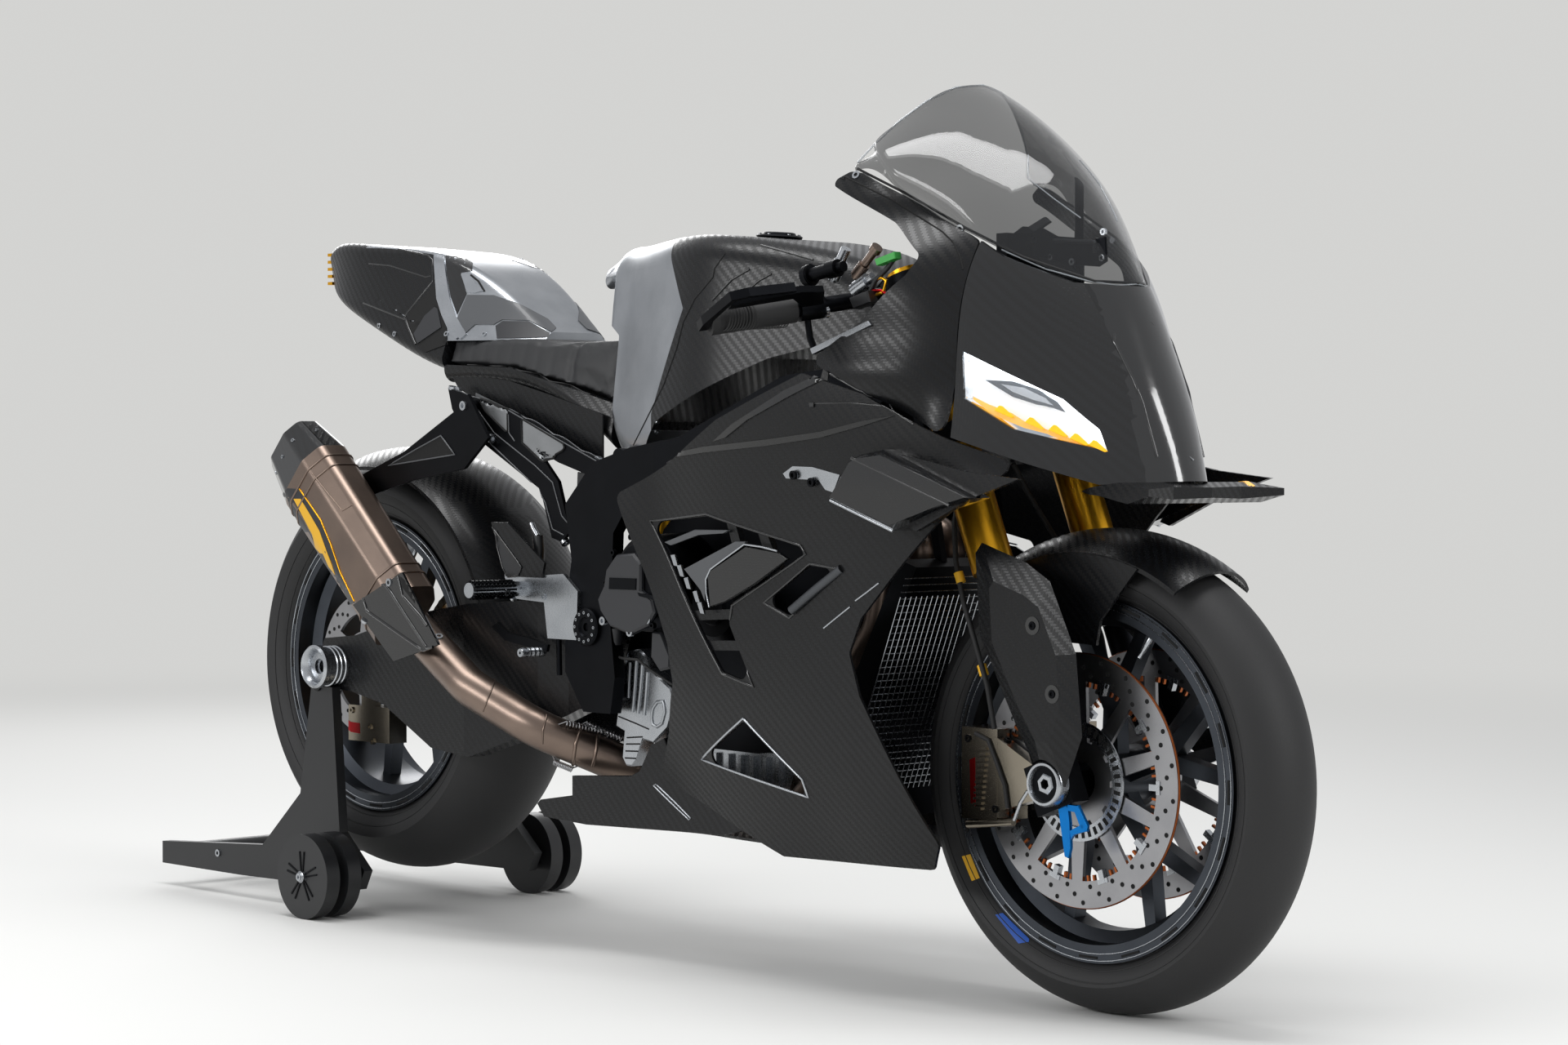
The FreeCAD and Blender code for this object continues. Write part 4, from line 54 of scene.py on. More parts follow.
# lower end of the gold tubes, along the steering axis from its foot
SLIDER_TOP = 0.284
CAMERA_EYE = Vector((3.525, -3.174, 0.7013))
CAMERA_YAW, CAMERA_PITCH = math.radians(136.378), math.radians(-1.072)
CAMERA_WAY = Vector((math.cos(CAMERA_YAW) * math.cos(CAMERA_PITCH),
                     math.sin(CAMERA_YAW) * math.cos(CAMERA_PITCH), math.sin(CAMERA_PITCH)))
CAMERA_LENS, SENSOR_WIDTH = 75.31, 36
NODE_SMOOTH_DEG = 28
PHOTO_WIDTH, PHOTO_HEIGHT = 1920, 1280
BACKDROP = {"Color": "#ececea", "Strength": 0.78}

# size of the drawing box that shares are counted in, its half width for those aside
BOX_MM = (1600, 300, 1200)
RIGHT, FLIP = Vector((0, -1, 0)), Vector((1, -1, 1))
# distances along a ray at which the bike is looked for, in steps of 50 mm
NEAR_STEPS = [step * 0.05 for step in range(66, 110)]

Colour = tuple[float, float, float, float]
Point = Sequence[float]
Spot = tuple[Vector, Vector]
Flat = Sequence[tuple[float, float]]


class Body(Enum):
    """Bodies that pieces ride on."""

    CHASSIS = "chassis"
    STEERING = "steering"
    FRONT_WHEEL = "front_wheel"
    REAR_WHEEL = "rear_wheel"
    STAND_RIGHT = "stand_castor_right"
    STAND_LEFT = "stand_castor_left"


# Colours and shader nodes

def linear(code: str) -> Colour:
    """Turn an sRGB hex colour to linear values.

    Args:
        code: Colour such as "#1a1b1e".

    Returns:
        Red, green, blue and 1.
    """
    parts = [int(code[at:at + 2], 16) / 255 for at in (1, 3, 5)]
    return tuple(part / 12.92 if part <= 0.04045 else ((part + 0.055) / 1.055) ** 2.4
                 for part in parts) + (1.0,)


def add_node(tree: bpy.types.NodeTree, kind: str, settings: dict | None = None,
             values: dict | None = None, links: dict | None = None) -> bpy.types.Node:
    """Add a node with its settings, socket values and incoming links.

    Args:
        tree: Node tree that takes the node.
        kind: The node's type name.
        settings: Properties of the node.
        values: Input socket name or number to constant; a hex colour is made linear.
        links: Input socket name or number to output socket.

    Returns:
        The node.
    """
    made = tree.nodes.new(kind)
    for name, value in (settings or {}).items():
        setattr(made, name, value)
    for name, value in (values or {}).items():
        coded = isinstance(value, str) and value.startswith("#")
        made.inputs[name].default_value = linear(value) if coded else value
    for name, source in (links or {}).items():
        tree.links.new(source, made.inputs[name])
    return made


class Paint:
    """A Principled material being built, with the nodes that the finishes share."""

    def __init__(self, name: str, **constants: object) -> None:
        """Start the material with constants on its shader.

        Args:
            name: Name of the material.
            constants: Socket values, with underscores for spaces; a hex colour is made linear.
        """
        self.material = bpy.data.materials.new(name)
        self.material.use_nodes = True
        self.tree = self.material.node_tree
        self.shader = self.tree.nodes["Principled BSDF"]
        for key, value in constants.items():
            self.shader.inputs[key.replace("_", " ")].default_value = (
                linear(value) if isinstance(value, str) else value)
        self.where = self.node("TexCoord").outputs

    def node(self, kind: str, values: dict | None = None, links: dict | None = None,
             **settings: object) -> bpy.types.Node:
        """Add a shader node.

        Args:
            kind: Its type without the first words.
            values: Constants of its inputs.
            links: Links to its inputs.
            settings: Its properties.

        Returns:
            The node.
        """
        return add_node(self.tree, "ShaderNode" + kind, settings, values, links)

    def link(self, node: bpy.types.Node, socket: str, output: int = 0) -> None:
        """Link an output of a node to the shader.

        Args:
            node: The node.
            socket: Name of the shader's input.
            output: Number of the node's output.
        """
        self.tree.links.new(node.outputs[output], self.shader.inputs[socket])

    def noise(self, scale: float, detail: float, stretch: Point = (1, 1, 1)) -> object:
        """Noise in the machine's own space.

        Args:
            scale: Its scale.
            detail: Its detail.
            stretch: How much finer it is along each axis.

        Returns:
            Its output socket.
        """
        mapped = self.node("Mapping", {"Scale": stretch}, {"Vector": self.where["Object"]})
        return self.node("TexNoise", {"Scale": scale, "Detail": detail},
                         {"Vector": mapped.outputs[0]}).outputs["Fac"]

    def drive(self, socket: str, source: object, low: float, high: float) -> None:
        """Let a value from 0 to 1 move an input of the shader between two ends.

        Args:
            socket: Name of the shader's input.
            source: The value's socket.
            low: Where it starts.
            high: Where it ends.
        """
        self.link(self.node("MapRange", {"To Min": low, "To Max": high}, {"Value": source}), socket)

    def relief(self, height: object, strength: float, depth_mm: float) -> None:
        """Raise the surface.

        Args:
            height: Socket of the height.
            strength: Strength of the bump.
            depth_mm: Its depth in millimetres.
        """
        self.link(self.node("Bump", {"Strength": strength, "Distance": depth_mm * MM},
                            {"Height": height}), "Normal")

    def mottle(self, source: object, colour: str, tint: str) -> None:
        """Mix the base colour with a tint.

        Args:
            source: Socket of the share.
            colour: First colour.
            tint: Second colour.
        """
        self.link(self.node("Mix", {6: colour, 7: tint}, {0: source}, data_type="RGBA"),
                  "Base Color", 2)

    def grain(self, size_mm: float, low: float, high: float, depth_mm: float,
              stretch: Point = (1, 1, 1)) -> None:
        """Vary roughness and relief with one noise.

        Args:
            size_mm: Size of one grain in millimetres.
            low: Least roughness.
            high: Greatest roughness.
            depth_mm: Height of the relief in millimetres.
            stretch: How much finer the grain is along each axis.
        """
        fine = self.noise(1 / (size_mm * MM), 3.0, stretch)
        self.drive("Roughness", fine, low, high)
        self.relief(fine, 0.5, depth_mm)


# Finishes: what each surface really is

@dataclass(frozen=True)
class Metal:
    """Cast, machined or anodised metal with a fine grain."""

    name: str
    colour: str
    roughness: float = 0.32
    grain_mm: float = 1.2
    stretch: tuple[float, float, float] = (1, 1, 1)
    tint: str = ""

    def material(self) -> bpy.types.Material:
        """Build the material.

        Returns:
            The material.
        """
        paint = Paint(self.name, Base_Color=self.colour, Metallic=1.0)
        paint.grain(self.grain_mm, self.roughness * 0.75, self.roughness * 1.3, 0.05, self.stretch)
        paint.mottle(paint.noise(18.0, 4.0), self.colour, self.tint or self.colour)
        return paint.material


@dataclass(frozen=True)
class Polymer:
    """Moulded or painted surface: plastic, rubber, powder coat."""

    name: str
    colour: str
    roughness: float = 0.5
    grain_mm: float = 0.9
    relief_mm: float = 0.06
    coat: float = 0.0
    worn: str = ""

    def material(self) -> bpy.types.Material:
        """Build the material.

        Returns:
            The material.
        """
        paint = Paint(self.name, Base_Color=self.colour, Coat_Weight=self.coat, Coat_Roughness=0.05)
        paint.grain(self.grain_mm, self.roughness * 0.85, self.roughness * 1.15, self.relief_mm)
        paint.mottle(paint.noise(9.0, 6.0), self.colour, self.worn or self.colour)
        return paint.material


@dataclass(frozen=True)
class CarbonTwill:
    """Two-by-two twill of carbon tows under lacquer; real tows are 2 mm, drawn wider to show."""

    name: str
    tow_mm: float = 3.6
    warp: str = "#060607"
    weft: str = "#101113"
    roughness: float = 0.33
    coat: float = 0.10
    coat_roughness: float = 0.28
    steep: float = 0.72

    def material(self) -> bpy.types.Material:
        """Build the material, its weave laid on the plane that the surface faces.

        Returns:
            The material.
        """
        paint = Paint(self.name, Base_Color=self.warp, Coat_Weight=self.coat,
                      Coat_Roughness=self.coat_roughness, IOR=1.45, Specular_IOR_Level=0.3)

        def sums(operation: str, first: object, second: object = 0.0) -> object:
            """Add one sum; returns its output socket."""
            made = paint.node("Math", operation=operation)
            for at, item in enumerate((first, second)):
                if isinstance(item, (int, float)):
                    made.inputs[at].default_value = item
                else:
                    paint.tree.links.new(item, made.inputs[at])
            return made.outputs[0]

        def choose(test: object, yes: object, no: object) -> object:
            """Pick between two values; returns its output socket."""
            return paint.node("Mix", links={0: test, 2: no, 3: yes}).outputs[0]

        def crown(value: object) -> object:
            """Round back of a tow; returns its output socket."""
            return sums("ABSOLUTE", sums("SINE", sums("MULTIPLY", value, math.pi)))

        place = paint.node("SeparateXYZ", links={0: paint.where["Object"]}).outputs
        facing = paint.node("VectorMath", links={0: paint.where["Normal"]}, operation="ABSOLUTE")
        faced = paint.node("SeparateXYZ", links={0: facing.outputs[0]}).outputs
        across = choose(sums("GREATER_THAN", faced[0], self.steep), place[1], place[0])
        up = choose(sums("GREATER_THAN", faced[2], self.steep), place[1], place[2])
        u, v = (sums("MULTIPLY", way, 1 / (self.tow_mm * MM)) for way in (across, up))
        steps = sums("ADD", sums("FLOOR", u), sums("FLOOR", v))
        over = sums("LESS_THAN", sums("FLOORED_MODULO", steps, 4.0), 1.5)
        paint.mottle(over, self.weft, self.warp)
        paint.drive("Roughness", over, self.roughness * 0.8, self.roughness * 1.25)
        paint.relief(choose(over, crown(u), crown(v)), 0.35, 0.12)
        return paint.material


@dataclass(frozen=True)
class Glass:
    """Clear or tinted moulded polycarbonate."""

    name: str
    colour: str
    roughness: float = 0.02
    alpha: float = 0.25

    def material(self) -> bpy.types.Material:
        """Build the material, with clearer and darker bands as thick acrylic shows.

        Returns:
            The material.
        """
        paint = Paint(self.name, Base_Color=self.colour, Roughness=self.roughness, IOR=1.49,
                      Coat_Weight=0.6)
        cloud = paint.noise(6.0, 1.0)
        paint.drive("Alpha", cloud, self.alpha * 0.85, self.alpha * 1.15)
        paint.drive("Roughness", cloud, self.roughness, self.roughness + 0.03)
        return paint.material


@dataclass(frozen=True)
class Glow:
    """Lit lamp strip, and painted glow on parts that give no light."""

    name: str
    colour: str
    strength: float

    def material(self) -> bpy.types.Material:
        """Build the material, its light brightest at the middle of each diode cell.

        Returns:
            The material.
        """
        paint = Paint(self.name, Base_Color=self.colour, Roughness=0.2,
                      Emission_Color=self.colour, Emission_Strength=self.strength)
        cells = paint.node("TexVoronoi", {"Scale": 160.0}, {"Vector": paint.where["Object"]})
        paint.drive("Emission Strength", cells.outputs["Distance"], self.strength,
                    self.strength * 0.75)
        return paint.material


class Finish(Enum):
    """Finishes of the machine."""

    # satin twill of the fairing, and the same cloth under clear gloss
    CARBON = CarbonTwill("satin_carbon_twill")
    CARBON_GLOSS = CarbonTwill("gloss_carbon_twill", warp="#060607", weft="#0d0e10",
                               roughness=0.2, coat=1.0, coat_roughness=0.04)
    # bare sheet of tank and tail, its hairlines along the machine
    BRUSHED_TANK = Metal("brushed_aluminium_sheet", "#b9bcc0", 0.3, 0.9, (0.06, 1, 1), "#8f9398")
    MACHINED = Metal("machined_aluminium", "#c4c7cb", 0.26, 0.8, (1, 1, 0.2), "#9da1a6")
    CAST = Metal("cast_aluminium", "#b9bcc0", 0.42, 1.4, tint="#8f9397")
    FORGED = Metal("graphite_forged_alloy", "#4b4f55", 0.36, 1.5, tint="#3a3d42")
    BLACK_ALLOY = Metal("black_anodised_aluminium", "#1b1c1f", 0.42, 1.0, tint="#131416")
    GOLD = Metal("gold_anodised_aluminium", "#f2b832", 0.3, 1.0, (1, 1, 0.1), "#dc9a1c")
    BLUE = Metal("blue_anodised_aluminium", "#1f7fd0", 0.3, 1.0, tint="#1668ae")
    RED = Metal("red_anodised_aluminium", "#b01a20", 0.3, 1.0, tint="#8c1218")
    DISC_STEEL = Metal("ground_disc_steel", "#a9a9ab", 0.3, 0.6, (1, 0.2, 1), "#8d8d90")
    TITANIUM = Metal("heat_tinted_titanium", "#8d7c70", 0.34, 1.2, tint="#6f625b")
    CHAIN = Metal("oiled_chain_steel", "#6b6459", 0.35, 0.9, tint="#4e4942")
    COPPER = Metal("heat_worn_copper", "#b8683a", 0.34, 0.8, tint="#8c4c2a")
    NICKEL = Metal("nickel_plated_caliper", "#a39b8c", 0.24, 0.8, tint="#857d70")
    REFLECTOR = Metal("metallised_reflector", "#f2f4f6", 0.16, 2.4, tint="#d8dde2")
    SATIN_GREY = Metal("dark_grey_painted_panel", "#595b5e", 0.42, 1.0, tint="#4b4d50")
    # fine mesh behind the subframe windows
    MESH = Metal("woven_aluminium_mesh", "#a5a7a9", 0.4, 1.0, (0.05, 1, 1), "#7f8183")
    STAND = Polymer("black_powder_coat", "#121315", 0.42, 0.7, 0.08, worn="#1a1b1d")
    TYRE = Polymer("slick_tyre_rubber", "#141415", 0.62, 1.4, 0.10, worn="#1d1d1e")
    RUBBER = Polymer("moulded_black_rubber", "#101011", 0.7, 0.8, 0.10, worn="#181819")
    NYLON = Polymer("black_nylon", "#141517", 0.4, 0.6, 0.05, worn="#1c1d1f")
    VINYL = Polymer("grained_seat_vinyl", "#17181a", 0.55, 1.3, 0.22, worn="#1f2022")
    MARK_BLUE = Polymer("blue_sidewall_paint", "#1b4fa8", 0.5)
    MARK_YELLOW = Polymer("yellow_sidewall_paint", "#d9a51e", 0.5)
    # dark projector lens inside the lamp
    DARK_LENS = Polymer("dark_projector_lens", "#3a4047", 0.12, 3.0, 0.02, 0.8, "#20252b")
    # deep lacquer of the nose centre and small clips
    GLOSS_BLACK = Polymer("gloss_black_lacquer", "#0a0b0c", 0.16, 4.0, 0.01, 1.0, "#0d0e10")
    # moulded guards and engine covers
    BLACK_SATIN = Polymer("satin_black_cover", "#1c1d20", 0.45, 0.6, 0.04, worn="#232428")
    GREY_PANEL = Polymer("grey_tail_panel", "#4a4c4f", 0.42, 0.8, 0.03, 0.2, "#3f4144")
    MESH_BLACK = Polymer("black_grip_mesh", "#161719", 0.55, 1.2, 0.5, worn="#222326")
    GREEN = Polymer("green_moulded_tab", "#3fae49", 0.35, 0.8, 0.03, 0.3, "#2e8a38")
    # painted shade: flat black that stands for the unlit void behind perforations, and for the
    # shade in slots, gaps, seams, grooves and windows
    SHADOW = Polymer("unlit_bore", "#050505", 0.9)
    SCREEN = Glass("smoked_acrylic", "#16181b", alpha=0.5)
    # polished rim of the screen, its paleness partly painted sheen, and the same pale acrylic laid
    # on its folds as painted highlight
    SCREEN_EDGE_SHEEN = Glass("polished_acrylic_edge_and_painted_sheen", "#aeb4ba", 0.08, 0.45)
    LENS = Glass("clear_lamp_cover", "#dfe6ee", alpha=0.10)
    # lit daytime strip; painted glow, amber as if lit from behind, on the gold fins, trays and wing
    # tips; and white bowl of the lit lamp
    LIT = Glow("lit_lamp_strip", "#f4f9ff", 5.0)
    AMBER = Glow("amber_painted_glow", "#f2b01c", 0.6)
    LAMP_BOWL = Glow("lit_lamp_bowl", "#eef2f6", 0.45)

    @property
    def material(self) -> bpy.types.Material:
        """The finish's material, built once."""
        return bpy.data.materials.get(self.value.name) or self.value.material()


# Meshes

def spot(x_mm: float, y_mm: float, z_mm: float) -> Vector:
    """Point given in millimetres, with x counted from the rear axle.

    Args:
        x_mm: Distance ahead of the rear axle.
        y_mm: Distance to the rider's left.
        z_mm: Height above the floor.

    Returns:
        The point in metres in the machine's frame.
    """
    return Vector((x_mm * MM + REAR_AXLE[0], y_mm * MM, z_mm * MM))


def boxed(along: float, out: float, up: float) -> Vector:
    """Point given in shares of the drawing box.

    Args:
        along: Share ahead of the rear axle.
        out: Share aside, to the left.
        up: Share above the floor.

    Returns:
        The point in metres in the machine's frame.
    """
    return spot(along * BOX_MM[0], out * BOX_MM[1], up * BOX_MM[2])


def ray(turn: float) -> Vector:
    """Unit way in the upright plane along the machine.

    Args:
        turn: Angle from straight ahead, upwards, in radians.

    Returns:
        The way.
    """
    return Vector((math.cos(turn), 0, math.sin(turn)))


def circle(centre: Point, radius: float, count: int, start_deg: float = 0.0) -> list[Vector]:
    """Points on a circle that faces sideways.

    Args:
        centre: Its centre in metres.
        radius: Its radius in metres.
        count: Number of points.
        start_deg: Angle of the first point.

    Returns:
        The points.
    """
    return [Vector(centre) + ray(math.radians(start_deg) + math.tau * at / count) * radius
            for at in range(count)]


def shares(table: Flat) -> list[tuple[float, float]]:
    """Turn shares of the frame's drawing box to millimetres from the rear axle and floor.

    Args:
        table: Pairs of shares along and up.

    Returns:
        Pairs in millimetres.
    """
    return [(along * BOX_MM[0], up * BOX_MM[2]) for along, up in table]


def both_sides(places: Iterable[Spot]) -> list[Spot]:
    """Add the left-hand twin of each point and facing.

    Args:
        places: Points and facings on the right.

    Returns:
        Those of both sides.
    """
    found = list(places)
    return found + [(point * FLIP, facing * FLIP) for point, facing in found]


def lifted(places: Iterable[Spot], lift_mm: float) -> list[Spot]:
    """Move points off their surface.

    Args:
        places: Points and facings.
        lift_mm: Distance in millimetres.

    Returns:
        The moved points with their facings.
    """
    return [(point + facing * lift_mm * MM, facing) for point, facing in places]


def link_object(name: str, data: bpy.types.ID) -> bpy.types.Object:
    """Put an object in the scene.

    Args:
        name: Its name.
        data: Its mesh, lamp or camera.

    Returns:
        The object.
    """
    made = bpy.data.objects.new(name, data)
    bpy.context.scene.collection.objects.link(made)
    return made


class Shapes:
    """Adds solids to a bmesh."""

    @staticmethod
    def loop_faces(work: bmesh.types.BMesh, rings: Sequence[Sequence[Vector]],
                   closed: bool) -> None:
        """Skin rings of points, each ring closed on itself; an open run gets end faces.

        Args:
            work: The bmesh.
            rings: Rings with the same number of points.
            closed: Whether the last ring joins the first.
        """
        made = [[work.verts.new(point) for point in ring] for ring in rings]
        for first, second in zip(made, made[1:] + made[:closed]):
            for at, corner in enumerate(first):
                after = (at + 1) % len(first)
                work.faces.new((corner, first[after], second[after], second[at]))
        if not closed:
            work.faces.new(made[0][::-1])
            work.faces.new(made[-1])

    @staticmethod
    def tube(work: bmesh.types.BMesh, points: Sequence[Point], radius: float, sides: int = 8,
             closed: bool = False) -> None:
        """Round bar along points.

        Args:
            work: The bmesh.
            points: Middle line in metres.
            radius: Radius in metres.
            sides: Number of sides.
            closed: Whether the bar joins its own start.
        """
        line = [Vector(point) for point in points]
        rings = []
        across = None
        for at, point in enumerate(line):
            before = line[at - 1] if closed or at else point
            after = line[(at + 1) % len(line)] if closed or at < len(line) - 1 else point
            way = (after - before).normalized()
            if across is None:
                across = way.orthogonal().normalized()
            across = (across - way * across.dot(way)).normalized()
            other = way.cross(across)
            rings.append([point + (across * math.cos(turn) + other * math.sin(turn)) * radius
                          for turn in (math.tau * side / sides for side in range(sides))])
        Shapes.loop_faces(work, rings, closed)

    @staticmethod
    def prism(work: bmesh.types.BMesh, base: Sequence[Vector], depth: Vector,
              bevel: float) -> None:
        """Plate over an outline, its far edge bevelled.

        Args:
            work: The bmesh.
            base: Corners in metres.
            depth: Way and length from the outline to the far face.
            bevel: Width of the bevel in metres.
        """
        centre = sum(base, Vector()) / len(base)
        share = 1 - bevel / max(depth.length, bevel * 1.01)
        top = []
        for point in base:
            inward = centre - point
            top.append(point + depth + inward.normalized() * min(bevel, inward.length * 0.5))
        Shapes.loop_faces(work, [base, [point + depth * share for point in base], top], False)

    @staticmethod
    def lathe(work: bmesh.types.BMesh, profile: Flat, centre: Point, axis: Point = (0, -1, 0),
              segments: int = 40) -> None:
        """Closed profile of (along, radius) turned about an axis.

        Args:
            work: The bmesh.
            profile: Closed outline in metres.
            centre: Origin of the profile.
            axis: Way of the axis.
            segments: Number of segments.
        """
        way = Vector(axis).normalized()
        across = way.orthogonal().normalized()
        other = way.cross(across)
        rings = []
        for turn in (math.tau * step / segments for step in range(segments)):
            side = across * math.cos(turn) + other * math.sin(turn)
            rings.append([Vector(centre) + way * along + side * radius
                          for along, radius in profile])
        Shapes.loop_faces(work, rings, True)


class Maker:
    """Builds meshes and hands pieces to their bodies."""

    @staticmethod
    def piece(name: str, mesh: bpy.types.Mesh, finish: Finish, body: Body = Body.CHASSIS,
              smooth: float = 35.0) -> bpy.types.Object:
        """Turn a mesh to a piece that rides on a body.

        Args:
            name: Name of the piece.
            mesh: Its mesh, in the machine's frame.
            finish: Its finish.
            body: Body it rides on.
            smooth: Greatest angle, in degrees, that is shaded smooth.

        Returns:
            The object.
        """
        made = link_object(name, mesh)
        mesh.materials.clear()
        mesh.materials.append(finish.material)
        mesh.shade_smooth()
        mesh.set_sharp_from_angle(angle=math.radians(smooth))
        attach(made, body.value)
        return made

    @staticmethod
    def fill(name: str, finish: Finish, build: Callable[[bmesh.types.BMesh], object],
             body: Body = Body.CHASSIS, twin: bool = False, smooth: float = 35.0
             ) -> bpy.types.Object:
        """Make a piece with bmesh, its doubles merged and its normals outwards.

        Args:
            name: Name of the piece.
            finish: Its finish.
            build: Function that fills the bmesh.
            body: Body it rides on.
            twin: Whether the left-hand copy of what was built is added.
            smooth: Greatest angle, in degrees, that is shaded smooth.

        Returns:
            The object.
        """
        work = bmesh.new()
        build(work)
        if twin:
            made = bmesh.ops.duplicate(work, geom=work.verts[:] + work.edges[:] + work.faces[:])
            for item in made["geom"]:
                if isinstance(item, bmesh.types.BMVert):
                    item.co.y = -item.co.y
            bmesh.ops.reverse_faces(work, faces=[item for item in made["geom"]
                                                 if isinstance(item, bmesh.types.BMFace)])
        bmesh.ops.remove_doubles(work, verts=work.verts, dist=1e-6)
        bmesh.ops.recalc_face_normals(work, faces=work.faces)
        mesh = bpy.data.meshes.new(name)
        work.to_mesh(mesh)
        work.free()
        return Maker.piece(name, mesh, finish, body, smooth)

    @staticmethod
    def turned(name: str, finish: Finish, profiles: Sequence[Flat], centre: Point,
               axis: Point = (0, -1, 0), segments: int = 40, body: Body = Body.CHASSIS,
               twin: bool = False) -> bpy.types.Object:
        """Make a turned part.

        Args:
            name: Name of the piece.
            finish: Its finish.
            profiles: Closed outlines of (along, radius) in metres.
            centre: Origin of the profiles.
            axis: Way of the axis.
            segments: Number of segments.
            body: Body it rides on.
            twin: Whether the other side gets one too.

        Returns:
            The object.
        """
        return Maker.fill(name, finish, lambda work: [
            Shapes.lathe(work, profile, centre, axis, segments) for profile in profiles],
            body, twin)

    @staticmethod
    def tubes(name: str, finish: Finish, lines: Sequence[Sequence[Point]], radius_mm: float,
              sides: int = 8, closed: bool = False, body: Body = Body.CHASSIS,
              twin: bool = False) -> bpy.types.Object:
        """Make round bars.

        Args:
            name: Name of the piece.
            finish: Its finish.
            lines: Middle lines in metres.
            radius_mm: Their radius.
            sides: Number of sides.
            closed: Whether each bar joins its own start.
            body: Body they ride on.
            twin: Whether the other side gets them too.

        Returns:
            The object.
        """
        return Maker.fill(name, finish, lambda work: [
            Shapes.tube(work, line, radius_mm * MM, sides, closed) for line in lines],
            body, twin, 60)


class Probe:
    """Finds points on the surface of carried-over nodes."""

    def __init__(self, *names: str) -> None:
        """Gather the nodes' faces.

        Args:
            names: Nodes that are looked at.
        """
        points, faces = [], []
        for name in names:
            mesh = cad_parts[name].data
            first = len(points)
            points.extend(vertex.co.copy() for vertex in mesh.vertices)
            faces.extend([first + at for at in face.vertices] for face in mesh.polygons)
        self.tree = BVHTree.FromPolygons(points, faces)

    def hit(self, start: Point, way: Point) -> Spot | None:
        """First surface point on a ray.

        Args:
            start: Where the ray starts, in metres.
            way: Its direction.

        Returns:
            Point and outward normal, or None.
        """
        point, normal, _, _ = self.tree.ray_cast(Vector(start), Vector(way).normalized())
        if point is None:
            return None
        return point, (-normal if normal.dot(Vector(way)) > 0 else normal)

    def seen(self, start: Point, way: Point, near: Point) -> Spot:
        """First surface point on a ray, or else the nearest one to a point.

        Args:
            start: Where the ray starts, in metres.
            way: Its direction.
            near: The point, in metres.

        Returns:
            Point and normal.
        """
        return self.hit(start, way) or self.tree.find_nearest(Vector(near))[:2]

    def side(self, x_mm: float, z_mm: float) -> Spot:
        """Surface point seen from the right.

        Args:
            x_mm: Distance ahead of the rear axle.
            z_mm: Height.

        Returns:
            Point and normal.
        """
        return self.seen(spot(x_mm, -800, z_mm), (0, 1, 0), spot(x_mm, -160, z_mm))


